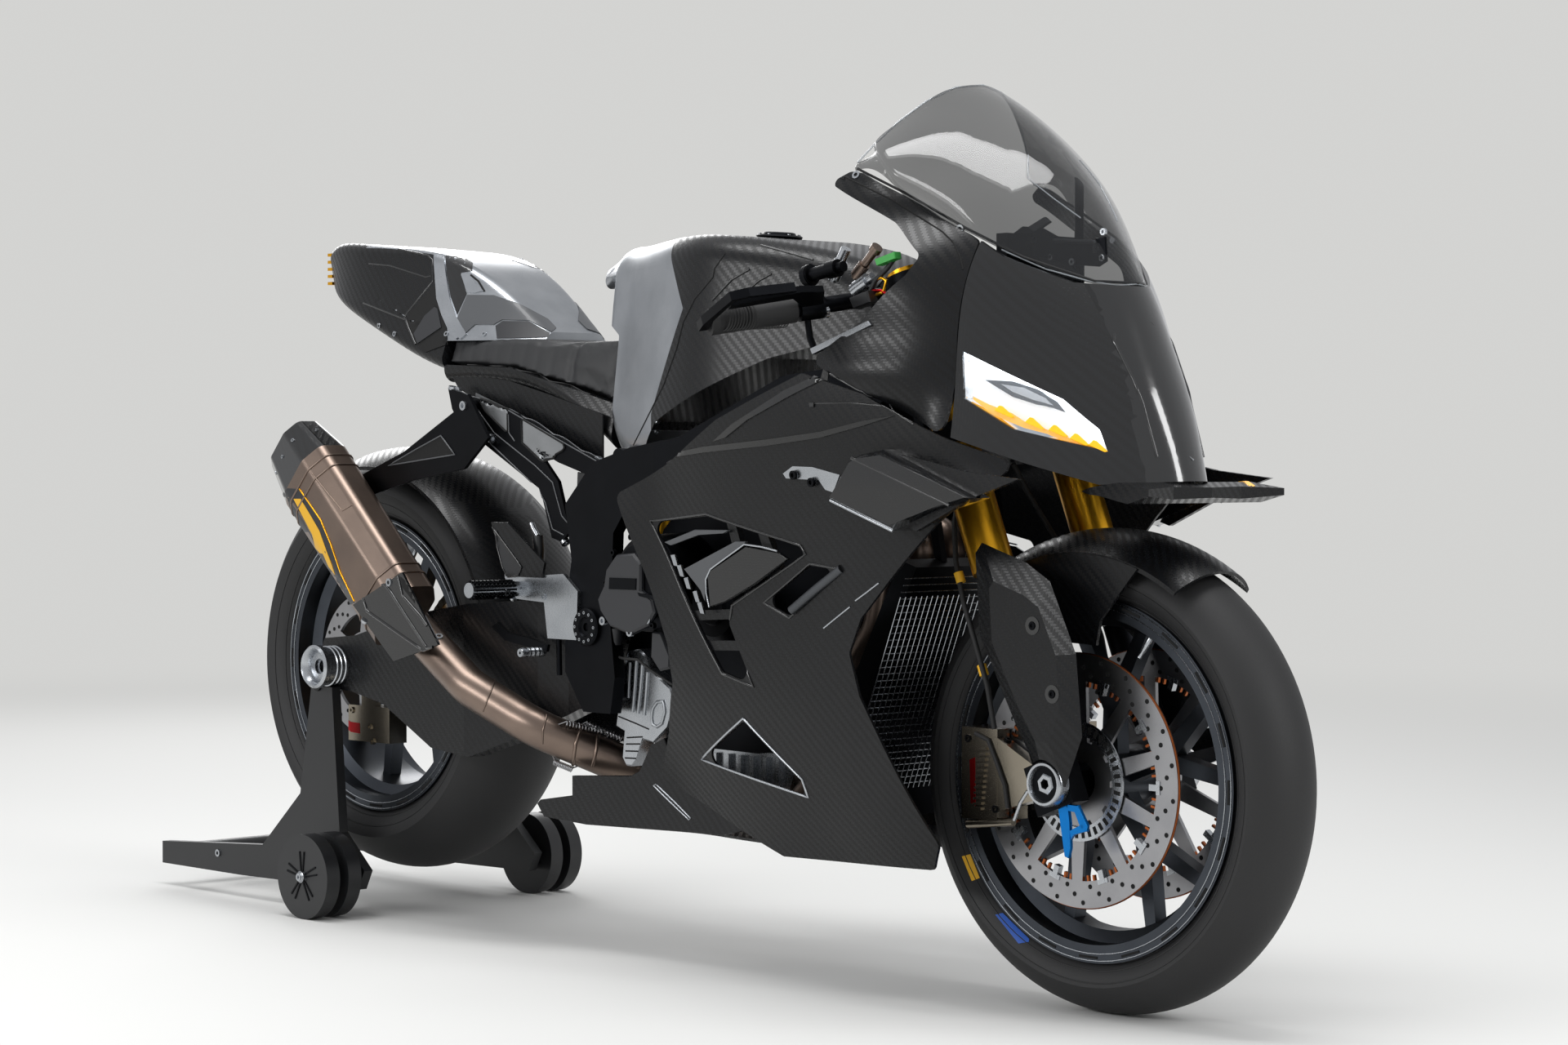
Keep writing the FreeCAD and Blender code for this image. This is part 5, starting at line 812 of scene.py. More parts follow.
class Overlay:
    """Lays thin patches, beads and plates on what a look finds."""

    def __init__(self, look: Callable[[float, float], Spot]) -> None:
        """Keep the look.

        Args:
            look: Turns two flat values to a surface point and normal.
        """
        self.look = look

    def spots(self, *places: tuple[float, float]) -> list[Spot]:
        """Surface points and normals.

        Args:
            places: Values of the look.

        Returns:
            One for each.
        """
        return [self.look(u, v) for u, v in places]

    def patch(self, name: str, finish: Finish, outline: Flat, lift_mm: float = 0.6,
              cell: float = 10.0, wall_mm: float = 1.6, twin: bool = True,
              body: Body = Body.CHASSIS) -> bpy.types.Object:
        """Thin closed sheet on a surface inside an outline.

        Args:
            name: Name of the piece.
            finish: Finish of the sheet.
            outline: Corners in the values of the look.
            lift_mm: How far its face stands off the surface.
            cell: Longest edge of its faces, in the values of the look.
            wall_mm: Thickness of the sheet.
            twin: Whether the other side gets one too.
            body: Body it rides on.

        Returns:
            The object.
        """
        flat = bmesh.new()
        flat.faces.new([flat.verts.new((u, v, 0)) for u, v in outline])
        bmesh.ops.triangulate(flat, faces=flat.faces)
        for _ in range(6):
            longer = [edge for edge in flat.edges if edge.calc_length() > cell]
            if not longer:
                break
            bmesh.ops.subdivide_edges(flat, edges=longer, cuts=1)
            bmesh.ops.triangulate(flat, faces=flat.faces)
        flat.verts.index_update()
        spots = self.spots(*(vertex.co[:2] for vertex in flat.verts))
        faces = [[vertex.index for vertex in face.verts] for face in flat.faces]
        rim = [[vertex.index for vertex in edge.verts] for edge in flat.edges if edge.is_boundary]
        flat.free()

        def build(work: bmesh.types.BMesh) -> None:
            """Fill the bmesh with the two faces and the rim."""
            top, low = ([work.verts.new(point) for point, _ in lifted(spots, lift)]
                        for lift in (lift_mm, lift_mm - wall_mm))
            for face in faces:
                work.faces.new([top[at] for at in face])
                work.faces.new([low[at] for at in reversed(face)])
            for first, second in rim:
                work.faces.new((top[first], top[second], low[second], low[first]))

        return Maker.fill(name, finish, build, body, twin, 50)

    def bead(self, name: str, finish: Finish, path: Flat, radius_mm: float,
             lift_mm: float = 0.0, step: float = 8.0, closed: bool = False, twin: bool = True,
             body: Body = Body.CHASSIS) -> bpy.types.Object:
        """Round bead that follows a surface.

        Args:
            name: Name of the piece.
            finish: Finish of the bead.
            path: Corners in the values of the look.
            radius_mm: Radius of the bead.
            lift_mm: How far its middle line stands off.
            step: Distance between points, in the values of the look.
            closed: Whether the path joins its own start.
            twin: Whether the other side gets one too.
            body: Body it rides on.

        Returns:
            The object.
        """
        corners = list(path) + list(path[:closed])
        points = []
        for first, second in zip(corners, corners[1:]):
            count = max(1, round(math.dist(first, second) / step))
            points.extend((first[0] + (second[0] - first[0]) * at / count,
                           first[1] + (second[1] - first[1]) * at / count)
                          for at in range(count))
        if not closed:
            points.append(corners[-1])
        line = [point for point, _ in lifted(self.spots(*points), lift_mm)]
        return Maker.tubes(name, finish, [line], radius_mm, 8, closed, body, twin)

    def plate(self, name: str, finish: Finish, outline: Flat, depth_mm: float,
              bevel_mm: float = 1.0, sunk_mm: float = 0.0, twin: bool = True,
              body: Body = Body.CHASSIS) -> bpy.types.Object:
        """Stiff plate that stands on a surface, bevelled round its face.

        Args:
            name: Name of the piece.
            finish: Finish of the plate.
            outline: Corners in the values of the look.
            depth_mm: Height of the plate.
            bevel_mm: Width of the bevel.
            sunk_mm: How far its foot starts below the surface.
            twin: Whether the other side gets one too.
            body: Body it rides on.

        Returns:
            The object.
        """
        spots = self.spots(*outline)
        facing = sum((normal for _, normal in spots), Vector()).normalized()
        foot = [point - facing * sunk_mm * MM for point, _ in spots]
        return Maker.fill(name, finish, lambda work: Shapes.prism(
            work, foot, facing * (depth_mm + sunk_mm) * MM, bevel_mm * MM), body, twin)


class Sight(Overlay):
    """Looks along the photograph's rays: its values are pixels of the 1920 by 1280 picture."""

    def __init__(self, *names: str, plane_mm: float = 0.0, probe: Probe | None = None) -> None:
        """Look at nodes, or at an upright plane along the machine.

        Args:
            names: Nodes that are looked at.
            plane_mm: Without nodes, how far left the plane stands.
            probe: Surface that is looked at instead of nodes.
        """
        super().__init__(self)
        self.probe = Probe(*names) if names else probe
        self.plane_mm = plane_mm
        self.right = CAMERA_WAY.cross(Vector((0, 0, 1))).normalized()
        self.over = self.right.cross(CAMERA_WAY)

    def __call__(self, u: float, v: float) -> Spot:
        """Surface point and normal behind a pixel.

        Args:
            u: Pixels from the left.
            v: Pixels from the top.

        Returns:
            Point and normal.
        """
        focal = CAMERA_LENS / SENSOR_WIDTH * PHOTO_WIDTH
        way = (CAMERA_WAY + self.right * ((u - PHOTO_WIDTH / 2) / focal)
               - self.over * ((v - PHOTO_HEIGHT / 2) / focal)).normalized()
        if self.probe is None:
            reach = (self.plane_mm * MM - CAMERA_EYE.y) / way.y
            return CAMERA_EYE + way * reach, RIGHT
        found = self.probe.hit(CAMERA_EYE, way)
        if found:
            return found
        near = [self.probe.tree.find_nearest(CAMERA_EYE + way * step) for step in NEAR_STEPS]
        return min(near, key=lambda item: item[3])[:2]


class Grower:
    """A node tree that repeats a small form on the points or edges of a mesh."""

    def __init__(self, name: str, *numbers: str) -> None:
        """Start the tree with a geometry, named numbers and a material as inputs.

        Args:
            name: Name of the tree.
            numbers: Names of its number inputs.
        """
        self.tree = bpy.data.node_groups.new(name, "GeometryNodeTree")
        inputs = [("Geometry", "Geometry"), *((number, "Float") for number in numbers),
                  ("Metal", "Material")]
        for socket, kind in inputs:
            self.tree.interface.new_socket(socket, in_out="INPUT", socket_type="NodeSocket" + kind)
        self.tree.interface.new_socket("Geometry", in_out="OUTPUT",
                                       socket_type="NodeSocketGeometry")
        self.start = self.node("NodeGroupInput").outputs

    def node(self, kind: str, values: dict | None = None, links: dict | None = None,
             **settings: object) -> bpy.types.Node:
        """Add a node.

        Args:
            kind: Its type; Mesh, Curve and such types go without their first words.
            values: Constants of its inputs.
            links: Links to its inputs.
            settings: Its properties.

        Returns:
            The node.
        """
        full = kind if kind.startswith(("Node", "Function", "Shader")) else "GeometryNode" + kind
        return add_node(self.tree, full, settings, values, links)

    def attribute(self, name: str, kind: str = "FLOAT_VECTOR") -> object:
        """Read a named attribute of the points.

        Args:
            name: Its name.
            kind: Its data type.

        Returns:
            Its output socket.
        """
        return self.node("InputNamedAttribute", {"Name": name}, data_type=kind).outputs["Attribute"]

    def sums(self, factor: float, source: object) -> object:
        """Multiply a value.

        Args:
            factor: What it is multiplied by.
            source: Its socket.

        Returns:
            Output socket of the product.
        """
        return self.node("ShaderNodeMath", {1: factor}, {0: source},
                         operation="MULTIPLY").outputs[0]

    def aim(self, along: object, across: object = None) -> object:
        """Rotation whose X axis follows one way and whose Z axis turns to another.

        Args:
            along: Socket of the first way.
            across: Socket of the second way; Y without one.

        Returns:
            Output socket of the rotation.
        """
        first = self.node("FunctionNodeAlignRotationToVector", links={"Vector": along}, axis="X")
        links = {"Rotation": first.outputs[0], **({"Vector": across} if across else {})}
        return self.node("FunctionNodeAlignRotationToVector", {"Vector": (0, 1, 0)}, links,
                         axis="Z", pivot_axis="X").outputs[0]

    def place(self, form: object, rotation: object, points: object = None,
              scale: object = None) -> None:
        """Set a form on each point and close the tree.

        Args:
            form: Socket of the form.
            rotation: Socket of its rotation.
            points: Socket of the points; the tree's own geometry without one.
            scale: Socket of its scale.
        """
        links = {"Points": points or self.start[0], "Instance": form, "Rotation": rotation}
        if scale:
            links["Scale"] = scale
        self.close(self.node("InstanceOnPoints", links=links).outputs[0])

    def close(self, made: object) -> None:
        """Make instances real, set the material and close the tree.

        Args:
            made: Output socket that holds the geometry.
        """
        real = self.node("RealizeInstances", links={0: made})
        coat = self.node("SetMaterial", links={0: real.outputs[0], "Material": self.start["Metal"]})
        self.node("NodeGroupOutput", links={0: coat.outputs[0]})


class Repeats:
    """Node trees that repeat small forms: screw heads, wires, ribs and chain links."""

    def __init__(self) -> None:
        """Build the trees once."""
        self.screws, self.wires, self.ribs, self.links = (
            self.screw_tree(), self.wire_tree(), self.rib_tree(), self.link_tree())

    @staticmethod
    def screw_tree() -> bpy.types.NodeTree:
        """A head with a socket, set on each point along its facing.

        Returns:
            The node tree.
        """
        made = Grower("screw_heads", "Head Radius", "Head Height")
        head = made.node("MeshCylinder", {"Vertices": 18}, {
            "Radius": made.start["Head Radius"], "Depth": made.start["Head Height"]}).outputs
        top = made.node("ExtrudeMesh", {"Offset Scale": 0.0}, {
            "Mesh": head["Mesh"], "Selection": head["Top"]}, mode="FACES").outputs
        shrink = made.node("ScaleElements", {"Scale": 0.5}, {
            "Geometry": top["Mesh"], "Selection": top["Top"]})
        socket = made.node("ExtrudeMesh", links={
            "Mesh": shrink.outputs[0], "Selection": top["Top"],
            "Offset Scale": made.sums(-0.6, made.start["Head Height"])}, mode="FACES")
        turn = made.node("FunctionNodeAlignRotationToVector",
                         links={"Vector": made.attribute("facing")}, axis="Z")
        made.place(socket.outputs["Mesh"], turn.outputs[0],
                   scale=made.attribute("size", "FLOAT"))
        return made.tree

    @staticmethod
    def wire_tree() -> bpy.types.NodeTree:
        """Round wire along every edge of a mesh.

        Returns:
            The node tree.
        """
        made = Grower("wires", "Wire Radius")
        line = made.node("MeshToCurve", links={"Mesh": made.start[0]})
        ring = made.node("CurvePrimitiveCircle", {"Resolution": 6},
                         {"Radius": made.start["Wire Radius"]})
        made.close(made.node("CurveToMesh", {"Fill Caps": True}, {
            "Curve": line.outputs[0], "Profile Curve": ring.outputs[0]}).outputs[0])
        return made.tree

    @staticmethod
    def rib_tree() -> bpy.types.NodeTree:
        """A block on each point, turned and sized by the point.

        Returns:
            The node tree.
        """
        made = Grower("ribs", "Growth")
        block = made.node("MeshCube", {"Size": (1, 1, 1)})
        grown = made.node("ShaderNodeVectorMath", links={
            0: made.attribute("extent"), "Scale": made.start["Growth"]}, operation="SCALE")
        made.place(block.outputs["Mesh"], made.aim(made.attribute("along"),
                                                   made.attribute("facing")),
                   scale=grown.outputs[0])
        return made.tree

    @staticmethod
    def link_tree() -> bpy.types.NodeTree:
        """Chain plates and rollers along a closed line.

        Returns:
            The node tree.
        """
        made = Grower("chain_links", "Pitch", "Plate Spacing")
        spacing = made.start["Plate Spacing"]
        line = made.node("MeshToCurve", links={"Mesh": made.start[0]})
        even = made.node("ResampleCurve", links={
            "Curve": line.outputs[0], "Length": made.start["Pitch"]}, mode="LENGTH")
        plate = made.node("MeshCylinder", {"Vertices": 10, "Radius": 0.0068, "Depth": 0.0014})
        stretch = made.node("Transform", {"Scale": (1.45, 1, 1)},
                            {"Geometry": plate.outputs["Mesh"]})
        roller = made.node("MeshCylinder", {"Vertices": 8, "Radius": 0.0042}, {"Depth": spacing})
        both = made.node("JoinGeometry")
        for half in (0.5, -0.5):
            away = made.node("ShaderNodeCombineXYZ", links={2: made.sums(half, spacing)})
            side = made.node("Transform", links={
                "Geometry": stretch.outputs[0], "Translation": away.outputs[0]})
            made.tree.links.new(side.outputs[0], both.inputs[0])
        made.tree.links.new(roller.outputs[0], both.inputs[0])
        made.place(both.outputs[0], made.aim(made.node("InputTangent").outputs[0]),
                   even.outputs[0])
        return made.tree

    @staticmethod
    def bake(name: str, mesh: bpy.types.Mesh, tree: bpy.types.NodeTree, numbers: dict,
             finish: Finish, body: Body = Body.CHASSIS) -> bpy.types.Object:
        """Run a tree on a mesh and keep the result as a plain piece.

        Args:
            name: Name of the piece.
            mesh: What the tree is run on.
            tree: The node tree.
            numbers: Value of each named number.
            finish: Finish of the result.
            body: Body it rides on.

        Returns:
            The object.
        """
        holder = link_object(name + "_source", mesh)
        modifier = holder.modifiers.new("tree", "NODES")
        modifier.node_group = tree
        values = {**numbers, "Metal": finish.material}
        for item in tree.interface.items_tree:
            if item.item_type == "SOCKET" and item.in_out == "INPUT" and item.name in values:
                modifier[item.identifier] = values[item.name]
        solved = holder.evaluated_get(bpy.context.evaluated_depsgraph_get())
        result = bpy.data.meshes.new_from_object(solved)
        bpy.data.objects.remove(holder)
        return Maker.piece(name, result, finish, body)

    @staticmethod
    def points(name: str, places: Sequence[Point], **attributes: Sequence) -> bpy.types.Mesh:
        """Mesh of loose points with attributes.

        Args:
            name: Name of the mesh.
            places: The points.
            attributes: Vectors or numbers for each point.

        Returns:
            The mesh.
        """
        mesh = bpy.data.meshes.new(name)
        mesh.from_pydata([tuple(place) for place in places], [], [])
        for key, values in attributes.items():
            single = isinstance(values[0], (int, float))
            layer = mesh.attributes.new(key, "FLOAT" if single else "FLOAT_VECTOR", "POINT")
            for item, value in zip(layer.data, values):
                setattr(item, "value" if single else "vector", value)
        return mesh

    def screw(self, name: str, finish: Finish, places: Sequence[Spot], radius_mm: float = 4.0,
              height_mm: float = 3.0, body: Body = Body.CHASSIS) -> bpy.types.Object:
        """Set screw heads.

        Args:
            name: Name of the piece.
            finish: Finish of the heads.
            places: Point and facing of each.
            radius_mm: Radius of a head.
            height_mm: Its height.
            body: Body they ride on.

        Returns:
            The object.
        """
        points, facings = zip(*places)
        mesh = self.points(name, points, facing=facings, size=[1.0] * len(points))
        return self.bake(name, mesh, self.screws, {
            "Head Radius": radius_mm * MM, "Head Height": height_mm * MM}, finish, body)

    def rib(self, name: str, finish: Finish,
            places: Sequence[tuple[Vector, Vector, Vector, Point]],
            body: Body = Body.CHASSIS) -> bpy.types.Object:
        """Set blocks: point, long way, facing and size in millimetres.

        Args:
            name: Name of the piece.
            finish: Their finish.
            places: The blocks.
            body: Body they ride on.

        Returns:
            The object.
        """
        points, ways, facings, sizes = zip(*places)
        mesh = self.points(name, points, along=ways, facing=facings,
                           extent=[Vector(size) * MM for size in sizes])
        return self.bake(name, mesh, self.ribs, {"Growth": 1.0}, finish, body)

    def wire(self, name: str, finish: Finish, runs: Iterable[Sequence[Point]],
             radius_mm: float) -> bpy.types.Object:
        """Set wires along runs of points.

        Args:
            name: Name of the piece.
            finish: Its finish.
            runs: Points of each wire, in metres.
            radius_mm: Radius of the wire.

        Returns:
            The object.
        """
        points, edges = [], []
        for run in runs:
            edges.extend((len(points) + at, len(points) + at + 1) for at in range(len(run) - 1))
            points.extend(tuple(point) for point in run)
        mesh = bpy.data.meshes.new(name)
        mesh.from_pydata(points, edges, [])
        return self.bake(name, mesh, self.wires, {"Wire Radius": radius_mm * MM}, finish)


class Section:
    """A group of pieces that share the node trees."""

    def __init__(self, repeats: Repeats) -> None:
        """Keep the trees.

        Args:
            repeats: Node trees for screws, ribs, wires and chain links.
        """
        self.repeats = repeats


# Front end: nose, lamps, screen and cockpit

# level, centre line, ridge, cheek and seam of the nose as (ahead, aside) shares
NOSE_ROWS = [
    (0.5450, (0.9938, 0), (0.9825, 0.150), (0.9260, 0.430), (0.8475, 0.707)),
    (0.5900, (0.9850, 0), (0.9738, 0.153), (0.9156, 0.437), (0.8475, 0.683)),
    (0.6575, (0.9681, 0), (0.9569, 0.167), (0.9069, 0.427), (0.8475, 0.643)),
    (0.7067, (0.9525, 0), (0.9375, 0.187), (0.8975, 0.430), (0.8475, 0.627)),
    (0.7600, (0.9344, 0), (0.9138, 0.207), (0.8856, 0.423), (0.8475, 0.590)),
    (0.8000, (0.9163, 0), (0.8925, 0.207), (0.8744, 0.387), (0.8475, 0.523)),
    (0.8350, (0.8938, 0), (0.8719, 0.200), (0.8631, 0.327), (0.8475, 0.420))]


class NoseSkin(Probe):
    """The nose's outer face without its lamp windows."""

    def __init__(self) -> None:
        """Skin the rows of the nose on both sides."""
        points, faces = [], []
        for side in (-1, 1):
            first = len(points)
            for row in NOSE_ROWS:
                points.extend(boxed(along, side * out, row[0]) for along, out in row[1:])
            for row in range(len(NOSE_ROWS) - 1):
                for at in range(3):
                    low = first + row * 4 + at
                    faces.append([low, low + 1, low + 5, low + 4])
        self.tree = BVHTree.FromPolygons(points, faces)


class Nose(Section):
    """Gloss centre, lamp internals, seams and the beak's edges."""

    gloss_half_width = 0.058

    def build(self) -> None:
        """Build every piece."""
        self.gloss_centre()
        skin = Sight(probe=NoseSkin())
        self.lamps(skin)
        ridge = [(1365.6, 385.7), (1366.5, 397.2), (1363.6, 417.3), (1373.7, 437.3), (1388, 466),
            (1399.5, 494.7), (1416.7, 560)]
        skin.bead("nose_ridge_edges", Finish.GLOSS_BLACK, ridge, 2.2, lift_mm=0.4)
        hollow = [(1373.7, 395.8), (1379.4, 390.9), (1405.2, 392), (1428.1, 413), (1442.5, 443.1),
            (1453.9, 486.1), (1464.8, 562.3)]
        skin.bead("nose_hollow_edges", Finish.GLOSS_BLACK, hollow, 1.8, lift_mm=0.3, twin=False)
        # painted highlight: a bright machined strip laid where light catches the nose's thin wedge
        # edge
        skin.plate("nose_edge_painted_highlight", Finish.MACHINED, [(1412.4, 516.2), (1417.5, 519.9), (1464, 562.3),
            (1459.7, 564.9)], 2.4, 0.8, 0.5, twin=False)
        # painted glow: the chin wing's tips glow amber though they hold no lamp
        Sight("chin_wing").patch("wing_tip_painted_glow", Finish.AMBER, [(1515.6, 584.1), (1521.3, 585.3),
            (1536.5, 595.6), (1531.3, 597.3)], lift_mm=1.0, cell=6, twin=False)
        shell = Sight("nose_panel", "upper_fairings", "windscreen")
        strip = [(1018.7, 208.7), (1093.3, 245.3), (1153.3, 283.3), (1167.3, 296.7), (1175, 313.3),
            (1179.3, 330)]
        shell.bead("fairing_strip_seams", Finish.SHADOW, strip, 1.1)
        spots = shell.spots((1048.3, 214.3), (1176, 280))
        self.repeats.screw("fairing_strip_screws", Finish.MACHINED, both_sides(spots), 5.5, 2.6)

    def gloss_centre(self) -> None:
        """Give the middle of the nose its gloss black faces."""
        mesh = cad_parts["nose_panel"].data
        mesh.materials.append(Finish.GLOSS_BLACK.material)
        for face in mesh.polygons:
            if abs(face.center.y) < self.gloss_half_width and face.normal.x > -0.2:
                face.material_index = 1

    @staticmethod
    def lamps(skin: Sight) -> None:
        """Reflector, dark lens, lit strip, gold fins and clear cover of both lamps.

        Args:
            skin: Looks at the nose without its windows.
        """
        window = [(1182.2, 431), (1230.3, 450.5), (1309.2, 484.9), (1334.1, 497.5), (1345.6, 514.2),
            (1355, 541.1), (1361.1, 549.1), (1330.7, 546.3), (1307.7, 538.2), (1281.9, 527.6),
            (1253.3, 518.2), (1216, 503.3), (1190.8, 484.9), (1182.2, 471.7)]
        skin.patch("lamp_reflectors", Finish.LAMP_BOWL, window, lift_mm=-13, cell=8)
        skin.patch("lamp_lenses", Finish.DARK_LENS, [(1205.1, 464.3), (1238.9, 466), (1270.5, 476),
            (1294.8, 490.4), (1305.4, 503.8), (1290.5, 498.1), (1267.6, 494.1), (1238.9, 484.9),
            (1221.7, 474.6)], lift_mm=-9, cell=8)
        skin.patch("lamp_inner_lights", Finish.REFLECTOR, [(1224.6, 469.4), (1253.3, 474),
            (1279.1, 486.6), (1290.5, 495.2), (1264.7, 488.9), (1238.9, 478.9)], lift_mm=-8, cell=8,
            wall_mm=0.8)
        skin.bead("lamp_strips", Finish.LIT, [(1184.5, 435), (1230.3, 455.1), (1307.7, 488.9),
            (1330.7, 501.5), (1341.6, 516.5), (1350.7, 540.5)], 3.4, lift_mm=-6)
        fin_feet = [(1216, 503.8), (1253.3, 518.2), (1281.9, 527.6), (1307.7, 538.2),
            (1330.7, 546.3), (1359.3, 550.9)]
        # painted glow: the gold trays and the fins below glow amber though they give no light
        skin.patch("lamp_gold_trays", Finish.AMBER, [(1190.8, 484.9), (1210.3, 494.7),
            (1238.9, 505.6), (1256.1, 517), (1281.9, 525.6), (1307.7, 534.8), (1336.4, 544),
            (1362.8, 552), (1362.8, 554.3), (1330.7, 548), (1307.7, 540.5), (1281.9, 530.8),
            (1253.3, 523.3), (1216, 507.9), (1190.8, 488.4)], lift_mm=-5, cell=8)
        for at, (u, v) in enumerate(fin_feet[:-1]):
            skin.plate(f"lamp_fin_{at + 1}", Finish.AMBER, [(u + 2, v - 1), (u + 8, v - 7), (u + 12,
                v - 6), (u + 26, v + 7), (u + 22, v + 8)], 3.0, 0.6, 7.0)
        skin.patch("lamp_covers", Finish.LENS, [(1180.7, 428.7), (1230.3, 448.2), (1310.6, 482.6),
            (1336.4, 495.2), (1347.9, 512.4), (1357, 540.5), (1364.5, 553.1), (1330.7, 548.6),
            (1281.9, 531.9), (1253.3, 523.3), (1216, 508.4), (1189.1, 487.8), (1180.7, 474.6)],
            lift_mm=-1.2, cell=8, wall_mm=0.9)


class Screen(Section):
    """Edge seal, fold line with its painted sheen, and the bracket seen through the screen."""

    def build(self) -> None:
        """Build every piece."""
        foot = [(0.9313, 0, 0.771), (0.9138, -0.167, 0.7727), (0.8738, -0.373, 0.7977),
            (0.8313, -0.487, 0.83), (0.775, -0.54, 0.87), (0.7256, -0.567, 0.9)]
        rim = [(0.765, 0, 0.9967), (0.76, -0.15, 0.9917), (0.7513, -0.283, 0.975),
            (0.7413, -0.4, 0.9517), (0.7313, -0.493, 0.9267), (0.7244, -0.56, 0.9067)]
        for name, table, radius, finish in (("screen_foot_seal", foot, 1.7, Finish.RUBBER),
                ("screen_rim_bead", rim, 1.5, Finish.SCREEN_EDGE_SHEEN)):
            line = [boxed(*place) for place in table]
            whole = [Vector((p.x, -p.y, p.z)) for p in reversed(line[1:])] + line
            Maker.tubes(name, finish, [whole], radius)
        # painted highlight: pale acrylic beads along the screen's fold and outer line
        glass = Sight("windscreen")
        glass.bead("screen_fold_sheen", Finish.SCREEN_EDGE_SHEEN, [(1259, 190), (1258.3, 218.3), (1290, 243.3),
            (1323.3, 267.3)], 0.9, lift_mm=0.4)
        glass.bead("screen_outer_line_sheen", Finish.SCREEN_EDGE_SHEEN, [(1226.7, 306), (1280, 329.3),
            (1333.3, 344), (1366.7, 349.3), (1393.3, 347.7)], 1.0, lift_mm=0.4)
        inside = Sight(plane_mm=-24)
        inside.plate("screen_bracket", Finish.BLACK_ALLOY, [(1236.7, 290), (1253.3, 277.3),
            (1276.7, 278.7), (1296.7, 290), (1333.3, 296), (1355, 290), (1356.7, 320),
            (1346.7, 326.7), (1306.7, 324), (1260, 310.7)], 3.0, twin=False)
        inside.plate("screen_bracket_tab", Finish.SATIN_GREY, [(1261.7, 278.7), (1281.7, 266),
            (1288.3, 272), (1270, 284.7)], 6.0, twin=False)
        inside.bead("screen_bracket_rib", Finish.SATIN_GREY, [(1293.3, 295), (1343.3, 296.7),
            (1343.3, 310)], 3.0, lift_mm=4, twin=False)
        spots = inside.spots((1288.3, 315), (1268.3, 294.3), (1315, 320.7), (1351.7, 316),
            (1247.3, 297.3), (1353.3, 284))
        self.repeats.screw("screen_bracket_screws", Finish.MACHINED, lifted(spots, 3), 4.5, 4.0)


